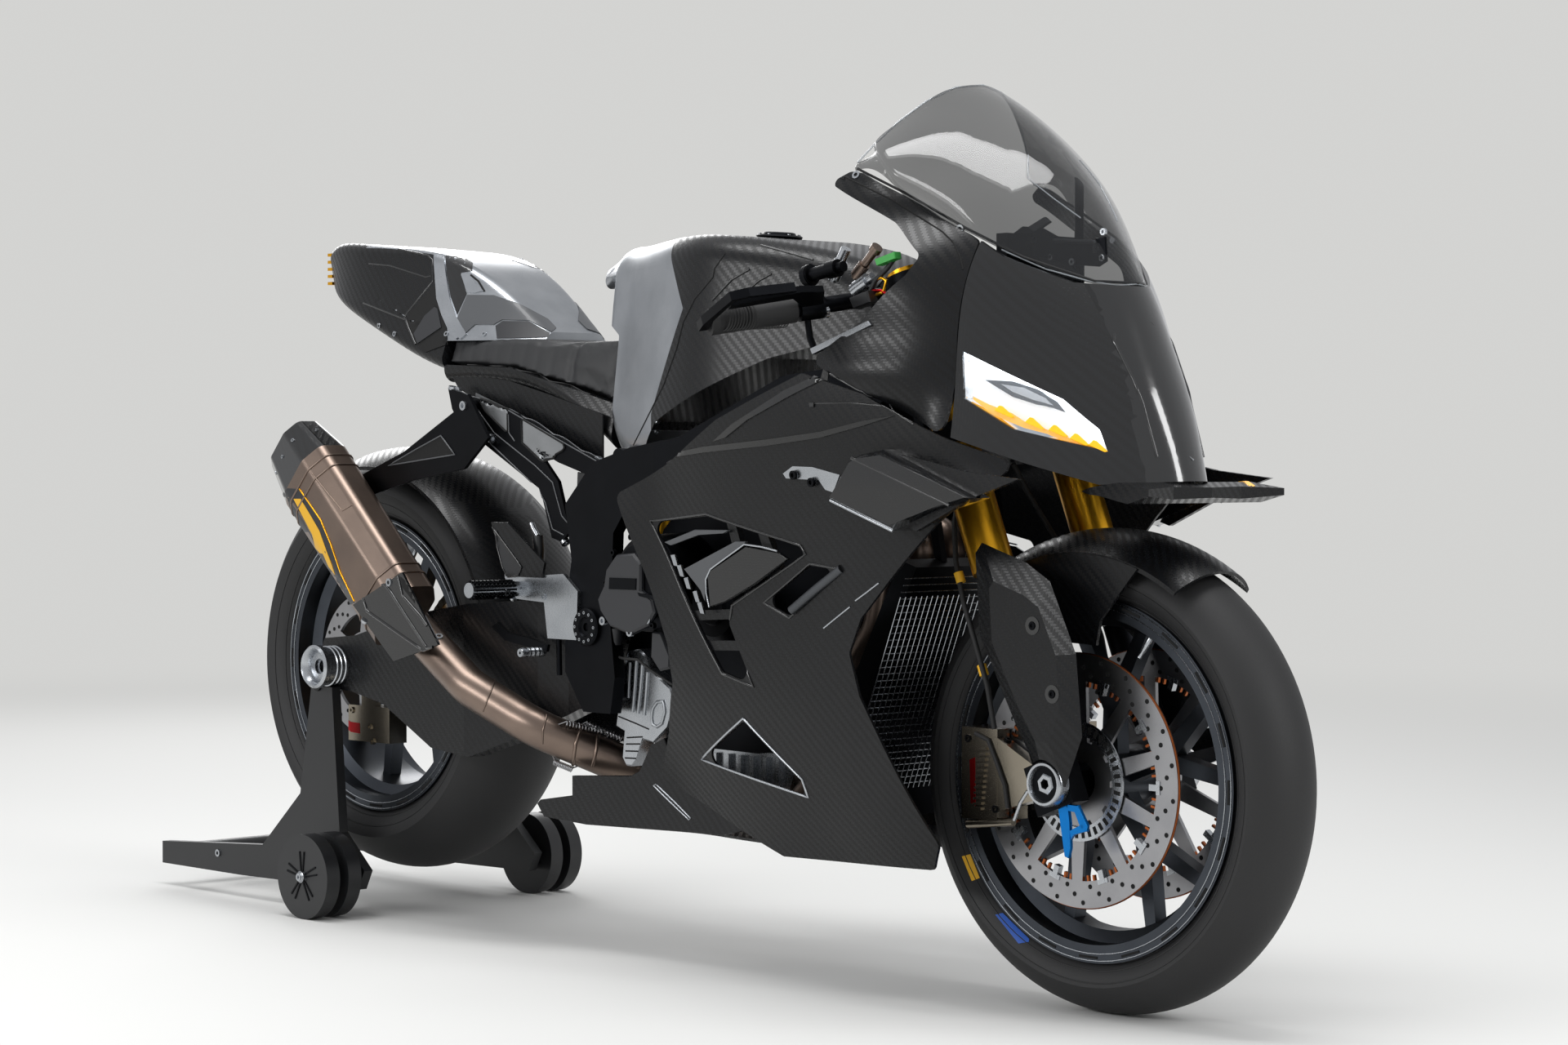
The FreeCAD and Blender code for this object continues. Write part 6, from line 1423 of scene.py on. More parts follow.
class Cockpit(Section):
    """Brake cylinder, lever pivot, guard bar, grip ribs and switch on the handlebars."""

    def build(self) -> None:
        """Build every piece."""
        near = Sight(plane_mm=-215)
        inner = Sight(plane_mm=-185)
        Sight(plane_mm=-232).plate("guard_bars", Finish.MACHINED, [(995.8, 427.7), (1067.2, 393.1),
            (1070.7, 398.2), (998.4, 434.4)], 7.0, 1.2, body=Body.STEERING)
        Sight(plane_mm=-228).bead("guard_stems", Finish.BLACK_ALLOY, [(997.8, 429.6), (992, 413.6),
            (988.2, 388)], 4.5, step=4, body=Body.STEERING)
        self.barrel("lever_cylinders", near(987.2, 338.4)[0], near(1035.2, 325.6)[0], ((0, 13.5),
            (5, 14.5), (10, 13.5), (12, 9), (40, 9), (43, 11.5), (56, 11.5), (60, 7), (70, 7)),
            Finish.BLACK_ALLOY)
        self.barrel("lever_pistons", inner(1019.2, 343.8)[0], inner(1032, 314.4)[0], ((0, 6),
            (4, 9), (26, 9), (30, 7), (44, 7), (48, 5)), Finish.MACHINED)
        self.barrel("lever_pivots", inner(1046.4, 340)[0], inner(1070.4, 308)[0], ((0, 5), (4, 8),
            (20, 8), (24, 5.5), (44, 5.5), (48, 8), (56, 8)), Finish.TITANIUM)
        self.barrel("lever_adjusters", inner(1045.8, 356)[0], inner(1067.2, 340)[0], ((0, 9),
            (6, 10), (24, 10), (28, 6), (38, 6)), Finish.MACHINED)
        inner.plate("start_tabs", Finish.GREEN, [(1078.4, 318.2), (1102.7, 308.6), (1104, 317),
            (1081, 325.9)], 12, twin=False, body=Body.STEERING)
        inner.bead("start_tab_stalk", Finish.NYLON, [(1096, 315), (1086.4, 328.8), (1072, 343.2),
            (1061.8, 365.6)], 3.5, step=4, twin=False, body=Body.STEERING)
        inner.plate("switch_boxes", Finish.NYLON, [(1049.6, 365.6), (1072, 356), (1075.8, 370.4),
            (1054.4, 379)], 16, 2.0, body=Body.STEERING)
        inner.bead("brake_wires", Finish.GOLD, [(1070.4, 343.8), (1079, 340), (1085.4, 343.8),
            (1081.6, 357.6), (1072, 361.8)], 2.2, step=4, body=Body.STEERING)
        inner.bead("switch_wires", Finish.RED, [(1068.8, 356), (1079, 356), (1085.4, 359.8),
            (1088, 365.6)], 2.4, step=4, body=Body.STEERING)
        lever = Sight("levers")
        self.repeats.screw("lever_screws", Finish.MACHINED, both_sides(lever.spots((1037.4, 381.6),
            (1067.2, 375.8))), 5.0, 4.0, body=Body.STEERING)
        self.grip_ribs()

    @staticmethod
    def barrel(name: str, start: Vector, end: Vector, steps: Sequence[tuple[float, float]], finish:
            Finish) -> None:
        """Stepped turned part on each side.

        Args:
            name: Name of the piece.
            start: Foot of its axis.
            end: A point the axis runs towards.
            steps: Distance along and radius of each step, in millimetres.
            finish: Its finish.
        """
        outline = [(steps[0][0] * MM, 0.5 * MM)]
        for (along, radius), following in zip(steps, list(steps[1:]) + [None]):
            outline.append((along * MM, radius * MM))
            if following:
                outline.append((following[0] * MM, radius * MM))
        outline.append((steps[-1][0] * MM, 0.5 * MM))
        Maker.turned(name, finish, [outline], start, end - start, 24, Body.STEERING, True)

    @staticmethod
    def grip_ribs() -> None:
        """Fine rubber rings along both grips."""
        ends = sorted((vertex.co.copy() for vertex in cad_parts["grips"].data.vertices if
            vertex.co.y < 0), key=lambda point: point.y)
        tip, root = sum(ends[:12], Vector()) / 12, sum(ends[-12:], Vector()) / 12
        count = 22
        rings = []
        for at in range(count):
            along = (root - tip).length * (0.14 + 0.76 * at / (count - 1))
            rings.append([(along - 1.2 * MM, 16.6 * MM), (along, 17.7 * MM), (along + 1.2 * MM, 16.6
                * MM)])
        Maker.turned("grip_ribs", Finish.RUBBER, rings, tip, root - tip, 24, Body.STEERING, True)


# Fairings, tank and tail

class Fairings(Section):
    """Window lips, winglet brackets, radiator mesh and small fittings of the fairings."""

    def build(self) -> None:
        """Build every piece."""
        skin = Probe("side_fairings", "belly_pan")
        louvre = shares([(0.503, 0.515), (0.581, 0.523), (0.694, 0.492), (0.699, 0.483),
            (0.609, 0.427), (0.605, 0.404), (0.631, 0.338), (0.594, 0.35), (0.544, 0.438)])
        lower = shares([(0.616, 0.297), (0.55, 0.247), (0.678, 0.218), (0.675, 0.237)])
        slot = shares([(0.704, 0.472), (0.738, 0.468), (0.679, 0.416), (0.65, 0.43)])
        for name, outline, radius, finish in (("louvre_lips", louvre, 1.7, Finish.CARBON_GLOSS),
                ("lower_window_lips", lower, 1.8, Finish.MACHINED), ("slot_lips", slot, 1.6,
                Finish.CARBON_GLOSS)):
            centre = (sum((u for u, _ in outline)) / len(outline), sum((v for _, v in outline)) /
                len(outline))
            wider = [(u + (u - centre[0]) * 3 / math.dist((u, v), centre), v + (v - centre[1]) * 3 /
                math.dist((u, v), centre)) for u, v in outline]
            Overlay(skin.side).bead(name, finish, wider, radius, lift_mm=0.2, step=10, closed=True)
        side = Sight("side_fairings", "upper_fairings")
        side.patch("winglet_brackets", Finish.MACHINED, [(959.4, 580), (971.2, 571), (995.2, 572),
            (1028.8, 581.6), (1020.8, 603), (1011.2, 599.8), (1003.2, 588), (963.2, 585.8)],
            lift_mm=1.2, cell=6, wall_mm=2.0)
        self.repeats.screw("winglet_bracket_screws", Finish.MACHINED,
            both_sides(side.spots((974.4, 581.6), (996.2, 590.2))), 5.0, 4.0)
        blade = Sight(plane_mm=-256)
        blade.plate("winglet_blades", Finish.CARBON_GLOSS, [(1017.1, 610.1), (1041.2, 563.7),
            (1050.3, 558.2), (1082, 550.7), (1192.4, 610.1), (1151, 623.9), (1095.8, 650.1)], 9.0,
            7.0, 30.0)
        blade.bead("winglet_edges", Finish.MACHINED, [(1018, 612.8), (1054.4, 630.8),
            (1094.7, 650.4)], 2.6, lift_mm=1.0)
        blade.bead("winglet_folds", Finish.CARBON_GLOSS, [(1047.5, 561), (1082, 577.5),
            (1123.4, 597.7), (1167.6, 618.9)], 2.4, lift_mm=7.0)
        side.plate("fairing_clips", Finish.GLOSS_BLACK, [(992, 493), (997.8, 493), (997.1, 498.7),
            (992.6, 498.7)], 3.0, 0.8)
        side.bead("fairing_folds", Finish.CARBON_GLOSS, [(995.8, 494.2), (1040, 493),
            (1081.6, 497.4), (1116.8, 517.6)], 1.0, lift_mm=0.2)
        side.bead("fairing_upper_folds", Finish.CARBON_GLOSS, [(1016.3, 457.8), (1056, 480.8),
            (1088, 500), (1118.4, 519.8)], 1.2, lift_mm=0.2)
        self.window_vanes()
        self.mesh_guard()

    def window_vanes(self) -> None:
        """Shoulder folds, slits, and the scoops seen inside the louvre window."""
        shell = Sight("side_fairings", "upper_fairings")
        shell.patch("shoulder_folds", Finish.CARBON_GLOSS, [(808.8, 562.6), (828.1, 554.3),
            (861.2, 547.2), (938.5, 538.3), (1004.7, 528.9), (1054.4, 516.2), (1095.8, 509.1),
            (1054.4, 522.3), (1004.7, 536.1), (938.5, 546), (861.2, 554.3)], lift_mm=2.2, cell=6,
            wall_mm=3.0)
        shell.patch("shoulder_trims", Finish.CARBON_GLOSS, [(873.6, 541.1), (897.1, 519.6),
            (960.6, 478.7), (1013, 453.9), (1018.5, 459.9), (967.5, 485.3), (916.4, 514),
            (888.8, 536.1)], lift_mm=2.2, cell=6, wall_mm=3.0)
        for name, run in (("front_slits", [(1008.9, 769.3), (1025.4, 755.8), (1041.2, 743.1)]),
                ("upper_slits", [(1047.8, 735.7), (1062.7, 724.6), (1076.5, 713.9)])):
            shell.bead(name, Finish.MACHINED, run, 1.2, lift_mm=0.4)
        Sight(plane_mm=-222).bead("slot_rollers", Finish.SATIN_GREY, [(969.4, 747.5),
            (999.2, 721.9), (1030.9, 696.5)], 6.5)
        inner = Sight(plane_mm=-226)
        inner.plate("louvre_boxes", Finish.CARBON_GLOSS, [(868.9, 705.3), (873.6, 698.4),
            (916.4, 668.9), (956.4, 676.9), (967.5, 684.6), (927.4, 715), (890.2, 737.6),
            (872.2, 743.1)], 5.0, 1.5)
        inner.bead("louvre_box_rims", Finish.MACHINED, [(955.6, 674.9), (935.7, 669.7),
            (915, 666.7), (873.6, 697), (867.8, 709.4), (868.4, 726), (872.2, 743.7)], 1.3,
            lift_mm=5.5)
        inner.plate("louvre_blades", Finish.GREY_PANEL, [(839.7, 697), (902.6, 663.1),
            (915.8, 663.1), (914.2, 666.4), (872.2, 695.6), (865.1, 709.4), (865.3, 737),
            (859.8, 723.2)], 4.0, 1.2)
        inner.plate("louvre_tips", Finish.GREY_PANEL, [(815.7, 664.2), (852.9, 648.7),
            (894.9, 649.3), (888.8, 653.1), (858.4, 654.8), (823.1, 668)], 4.0, 1.2)
        slats = [(825.9, 686.8), (833.6, 699.8), (841.9, 715), (852.9, 731.5), (858.4, 745.3)]
        for at, (u, v) in enumerate(slats):
            inner.plate(f"louvre_slat_{at + 1}", Finish.MACHINED, [(u - 3, v - 7), (u + 2, v - 8),
                (u + 6, v + 7), (u + 1, v + 6)], 3.0, 0.6)
        spots = shell.spots((974.4, 581.4), (996.4, 590.2))
        self.repeats.screw("wing_bracket_screws", Finish.BLACK_ALLOY, both_sides(lifted(spots,
            4.5)), 6.0, 4.0)

    def mesh_guard(self) -> None:
        """Square wire guard in front of the radiator."""
        front = Probe("radiator", "oil_cooler")
        wide, low, high = 150, 262, 555
        foot, top = (front.seen(spot(2400, 0, level), (-1, 0, 0), spot(1500, 0, level))[0] for level
            in (low + 20, high - 20))
        slope = (top - foot) / ((top.z - foot.z) / MM)
        ahead = Vector((9 * MM, 0, 0))
        runs = []
        for level in range(low, high, 9):
            base = foot + slope * (level - low - 20) + ahead
            runs.append([base + Vector((0, y * MM, 0)) for y in range(-wide, wide + 1, 50)])
        for y in range(-wide, wide + 1, 10):
            runs.append([foot + slope * (level - low - 20) + ahead * 1.1 + Vector((0, y * MM, 0))
                for level in range(low, high + 1, 33)])
        self.repeats.wire("radiator_guard", Finish.MACHINED, runs, 0.8)


class TankAndTail(Section):
    """Filler, tank cover folds, tail strips, recesses, screws and subframe windows."""

    def build(self) -> None:
        """Build every piece."""
        tank = Probe("tank_cover", "tank_rear")
        view = Sight(probe=tank)
        self.filler(tank)
        view.bead("tank_cover_folds", Finish.CARBON_GLOSS, [(931.8, 300.3), (960, 308),
            (995.8, 318.2)], 1.4, lift_mm=0.3)
        for name, run in (("tank_slits_front", [(872, 368.2), (896, 342.6), (917.8, 329.8)]),
                ("tank_slits_rear", [(915.2, 356), (929.6, 343.8), (944.6, 335.5)])):
            view.bead(name, Finish.CARBON_GLOSS, run, 1.6, lift_mm=0.4)
        view.bead("tank_seams", Finish.SHADOW, [(888, 310.6), (875.2, 328.8), (873, 340),
            (851.2, 365.6), (836.8, 394.4), (828.8, 426.4), (812.8, 471.2), (790.4, 516),
            (768.6, 559.2)], 1.0)
        self.repeats.screw("tank_screws", Finish.MACHINED, both_sides(view.spots((805.3, 516.7),
            (804.1, 528.9))))
        tail = Sight("tail_unit", "tail_hump")
        tail.patch("tail_box_skins", Finish.CARBON, [(496, 306.7), (531.5, 312.3), (533.5, 335.6),
            (535.5, 349.8), (501.6, 386.3), (503.6, 398.9), (496, 391.3), (450.4, 377.4),
            (442.3, 353.3), (440.3, 317.9), (445.3, 304.2), (470.7, 304.7)], lift_mm=0.9, cell=6)
        tail.patch("tail_strips", Finish.BRUSHED_TANK, [(531.5, 311.8), (544.1, 312.8),
            (546.7, 335.6), (551.7, 366), (559.3, 387.5), (572, 409.6), (561.9, 417.9),
            (551.7, 409.1), (541.6, 386.3), (535.3, 366), (533.2, 335.6)], lift_mm=2.2, cell=6,
            wall_mm=3.0)
        tail.patch("tail_hollows", Finish.CARBON_GLOSS, [(545.4, 313.3), (572, 315.8),
            (579.1, 322.9), (578.3, 331.8), (564.4, 334.3), (571.5, 359.7), (559.8, 385),
            (552.2, 363.5), (547.2, 335.6)], lift_mm=0.8, cell=6)
        tail.patch("tail_louvres", Finish.BRUSHED_TANK, [(564.9, 336.1), (574.5, 339.4),
            (592.3, 356.4), (582.1, 358.9), (572.5, 358.4)], lift_mm=1.6, cell=6)
        tail.bead("tail_louvre_shadows", Finish.SHADOW, [(576.6, 336.9), (585.9, 344.5),
            (593.3, 356.9)], 1.6, step=3)
        tail.patch("tail_side_panels", Finish.GREY_PANEL, [(572.5, 361.4), (604.9, 361.9),
            (635.3, 372.3), (670.8, 391.3), (680.9, 402), (675.4, 407), (648, 392.6),
            (615.1, 391.8), (604.9, 397.7), (582.1, 397.7), (563.9, 413.6), (559.8, 391.3)],
            lift_mm=1.4, cell=6)
        tail.patch("tail_side_recesses", Finish.BLACK_SATIN, [(615.6, 393.4), (648, 393.9),
            (673.3, 408.1), (670.8, 413.1), (608.7, 414.6), (607, 399.4)], lift_mm=1.0, cell=6)
        tail.bead("tail_box_edges", Finish.CARBON_GLOSS, [(488.4, 305.7), (524.4, 313.3),
            (529.9, 318.4), (530.5, 344.5), (498.5, 384.2), (496, 388.8), (500.6, 401.5),
            (509.2, 421.7)], 1.7, lift_mm=0.4)
        tail.bead("tail_box_creases", Finish.CARBON_GLOSS, [(451.7, 322.9), (478.3, 325.5),
            (521.3, 339.4), (528.4, 338.1)], 1.2, lift_mm=0.2)
        tail.patch("tail_gaps", Finish.SHADOW, [(533, 348.8), (536, 372.3), (546.7, 398.9),
            (547.9, 421.7), (521.3, 431.9), (509.2, 420.5), (501.6, 398.9), (500.1, 385.8),
            (531.5, 350.8)], lift_mm=1.4, cell=6)
        tail.patch("tail_gap_tubes", Finish.BLACK_SATIN, [(533.5, 376.6), (537, 378.7),
            (541.6, 401.5), (512.5, 421.2), (508.2, 409.1), (521.3, 387.5)], lift_mm=3.0, cell=6,
            wall_mm=2.0)
        plates = Sight("subframe")
        for name, hole in (("rear", [(588.4, 487.6), (592.9, 485.1), (621.8, 501.4), (622.5, 528.2),
                (619.3, 527.7), (594.2, 502.7), (589.2, 493.1)]), ("front", [(639.3, 515.2),
                (641.1, 513.9), (690.2, 543.3), (691.7, 548.3), (689.4, 551.8), (665.6, 565.3),
                (661.9, 563.3), (640.1, 542.3)])):
            plates.patch(f"subframe_mesh_{name}", Finish.MESH, hole, lift_mm=0.8, cell=5,
                wall_mm=1.4)
            plates.bead(f"subframe_rim_{name}", Finish.SHADOW, hole, 1.6, lift_mm=1.0, closed=True)
        # painted highlight: lighter grey lines along the black plates' edges, where light catches
        # them
        for name, run in (("top", [(570.4, 468.1), (625.5, 489.1), (680.7, 517.7), (740.8, 551.8)]),
                ("middle", [(623, 502.7), (680.7, 536.5), (730.8, 564.8)]), ("brace", [(623, 507.7),
                (623.5, 530.2), (630.5, 540.3)]), ("lower", [(570.4, 505.7), (603, 545.3),
                (655.6, 595.4), (668.1, 615.5), (676.9, 648.1), (695.7, 658.1)]), ("inner",
                [(582.9, 498.9), (605.5, 530.2), (655.6, 570.3), (676.9, 590.9), (688.2, 631.8),
                (705.7, 653.1)])):
            plates.bead(f"subframe_edge_highlight_{name}", Finish.GREY_PANEL, run, 1.0, lift_mm=0.5)
        hanger = Sight("muffler_bracket")
        window = [(476.1, 570.3), (510.2, 550.3), (540.3, 533.7), (557.3, 556.8)]
        hanger.patch("hanger_window", Finish.SHADOW, window, lift_mm=0.7, cell=6, wall_mm=1.2,
            twin=False)
        hanger.bead("hanger_window_rim", Finish.GREY_PANEL, window, 1.2, lift_mm=0.8, closed=True,
            twin=False)
        self.repeats.screw("subframe_front_screws", Finish.MACHINED,
            both_sides([plates(742.1, 565.3)]), 8.0, 6.0)
        Sight(plane_mm=-112).plate("tray_skirts", Finish.CARBON, [(551.7, 454.7), (582.1, 455.9),
            (622.7, 464.8), (673.3, 482.5), (739.7, 507.9), (739.7, 571.2), (688.5, 548.4),
            (617.6, 509.1), (582.1, 487.6), (563.1, 476.2)], 3.0)
        tail.bead("tail_lower_edges", Finish.CARBON_GLOSS, [(445.3, 371.1), (470.7, 381.2),
            (496, 391.3)], 1.4, lift_mm=0.3)
        spots = tail.spots((464.3, 398.9), (483.3, 409.1), (546.7, 409.1), (592.8, 409.1))
        self.repeats.screw("tail_screws", Finish.MACHINED, both_sides(spots), 4.2)
        self.subframe()

    def filler(self, tank: Probe) -> None:
        """Filler ring and cap on top of the tank.

        Args:
            tank: Looks at the tank.
        """
        point, normal = tank.seen(spot(835, 0, 2000), (0, 0, -1), spot(835, 0, 900))
        outline = [(-0.004, 0.03), (0.003, 0.033), (0.005, 0.03), (0.0045, 0.024), (0.008, 0.022),
            (0.009, 0.018), (0.009, 0.001), (-0.004, 0.001)]
        Maker.turned("filler_cap", Finish.BLACK_ALLOY, [outline], point, normal)
        across = normal.orthogonal().normalized()
        other = normal.cross(across)
        self.repeats.screw("filler_screws", Finish.MACHINED, [(point + (across * math.cos(turn) +
            other * math.sin(turn)) * 0.0275 + normal * 0.0055, normal) for turn in (math.tau * at /
            6 for at in range(6))], 2.2, 2.0)

    def subframe(self) -> None:
        """Screws, grey panels behind the windows, and the plug under the tank."""
        plates = Sight("subframe", "muffler_bracket")
        spots = plates.spots((556.8, 466.6), (566.9, 479.2), (568.2, 497), (601.4, 537))
        spots += plates.spots((740.9, 565.7), (696.5, 665.4))
        self.repeats.screw("subframe_screws", Finish.MACHINED, lifted(both_sides(spots), 1), 7.0,
            5.0)
        behind = Sight(plane_mm=-127)
        for at, outline in enumerate(([(583.4, 481.3), (622.7, 500.3), (622.7, 533.2), (602.4, 518),
                (582.1, 492.7)], [(635.3, 510.4), (694.9, 540.8), (691.1, 561.1), (673.3, 563.6),
                (637.9, 543.3)])):
            behind.plate(f"subframe_panel_{at + 1}", Finish.MESH, outline, 1.5, 0.3)
        wires = Sight(plane_mm=-124)
        Sight(plane_mm=-118).plate("wiring_plug", Finish.NYLON, [(717, 578), (747.7, 581.7),
            (745.8, 615.4), (736.3, 613.3), (715.8, 608.1)], 16, 1.5, twin=False)
        for name, finish, run in (("wire_red", Finish.RED, [(716.4, 605.6), (710.3, 611.7),
                (713.3, 619.4), (719.5, 620.9)]), ("wire_blue", Finish.BLUE, [(722.5, 611.7),
                (719.5, 624), (713.3, 631.7), (719.5, 636.3)]), ("wire_white", Finish.REFLECTOR,
                [(725.6, 613.3), (727.1, 624), (724.1, 633.2), (728.1, 639.3)])):
            wires.bead(name, finish, run, 2.0, step=3, twin=False)


class SeatCushion:
    """Two-part seat: a ribbed rear pad and a front pad, swollen by a cloth simulation."""

    cap_mm: float = 5.0
    voxel: float = 0.005
    pressure: float = 4.0
    cloth_steps: int = 20

    def build(self) -> None:
        """Build the cushion from its own solid's shape."""
        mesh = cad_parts["seat_pad"].data.copy()
        pad = link_object("seat_cushion", mesh)
        self.shrink(mesh, 3.0 * MM)
        self.apply(pad, "REMESH", mode="VOXEL", voxel_size=self.voxel)
        self.swell(pad)
        self.sew(pad.data)
        self.apply(pad, "SUBSURF", levels=1)
        made = pad.data.copy()
        bpy.data.objects.remove(pad)
        piece = Maker.piece("seat_cushion", made, Finish.VINYL, smooth=180)
        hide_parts("seat_pad")
        self.piping()

    @staticmethod
    def shrink(mesh: bpy.types.Mesh, depth: float) -> None:
        """Move every vertex inwards along its normal.

        Args:
            mesh: The mesh.
            depth: Distance in metres.
        """
        work = bmesh.new()
        work.from_mesh(mesh)
        bmesh.ops.remove_doubles(work, verts=work.verts, dist=1e-05)
        bmesh.ops.triangulate(work, faces=work.faces)
        bmesh.ops.recalc_face_normals(work, faces=work.faces)
        work.normal_update()
        moved = [vertex.co - vertex.normal * depth for vertex in work.verts]
        for vertex, place in zip(work.verts, moved):
            vertex.co = place
        work.to_mesh(mesh)
        work.free()

    @staticmethod
    def apply(pad: bpy.types.Object, kind: str, **settings: object) -> None:
        """Add a modifier and keep its result.

        Args:
            pad: The object.
            kind: The modifier's type.
            settings: Its properties.
        """
        modifier = pad.modifiers.new(kind.lower(), kind)
        for key, value in settings.items():
            setattr(modifier, key, value)
        solved = pad.evaluated_get(bpy.context.evaluated_depsgraph_get())
        mesh = bpy.data.meshes.new_from_object(solved)
        pad.modifiers.clear()
        pad.data = mesh

    def swell(self, pad: bpy.types.Object) -> None:
        """Inflate the cover a little over its foam, each point held within the cap.

        Args:
            pad: The object.
        """
        start = [vertex.co.copy() for vertex in pad.data.vertices]
        cloth = pad.modifiers.new("cloth", "CLOTH")
        cloth.settings.use_pressure = True
        cloth.settings.uniform_pressure_force = self.pressure
        cloth.settings.effector_weights.gravity = 0.0
        cloth.settings.quality = 5
        scene = bpy.context.scene
        for step in range(1, self.cloth_steps + 1):
            scene.frame_set(step)
        solved = pad.evaluated_get(bpy.context.evaluated_depsgraph_get())
        ends = [vertex.co.copy() for vertex in solved.data.vertices]
        scene.frame_set(1)
        pad.modifiers.clear()
        for vertex, before, after in zip(pad.data.vertices, start, ends):
            step = after - before
            reach = min(step.length, self.cap_mm * MM)
            vertex.co = before + (step.normalized() * reach if step.length > 1e-09 else step)

    @staticmethod
    def sew(mesh: bpy.types.Mesh) -> None:
        """Press the cross seam and the shallow channels into the cover.

        Args:
            mesh: The mesh.
        """
        seams = (503, 4.5, 6.0), (590, 1.8, 4.0)
        channels = [(250 + at * 30, 0.9, 5.0) for at in range(8)]
        normals = [vertex.normal.copy() for vertex in mesh.vertices]
        for vertex, normal in zip(mesh.vertices, normals):
            if normal.z < -0.5:
                continue
            along = (vertex.co.x - REAR_AXLE[0]) / MM
            depth = sum((deep * math.exp(-((along - at) / half) ** 2) for at, deep, half in (*seams,
                *channels)))
            vertex.co -= normal * depth * MM

    @staticmethod
    def piping() -> None:
        """Fine sewn piping along the seat's lower edge on both sides."""
        pad = Sight("seat_pad")
        pad.bead("seat_piping", Finish.RUBBER, [(572, 450.1), (622.7, 458.5), (673.3, 476.2),
            (718.9, 493.9)], 1.2, lift_mm=-0.6)


# Engine, exhaust and controls

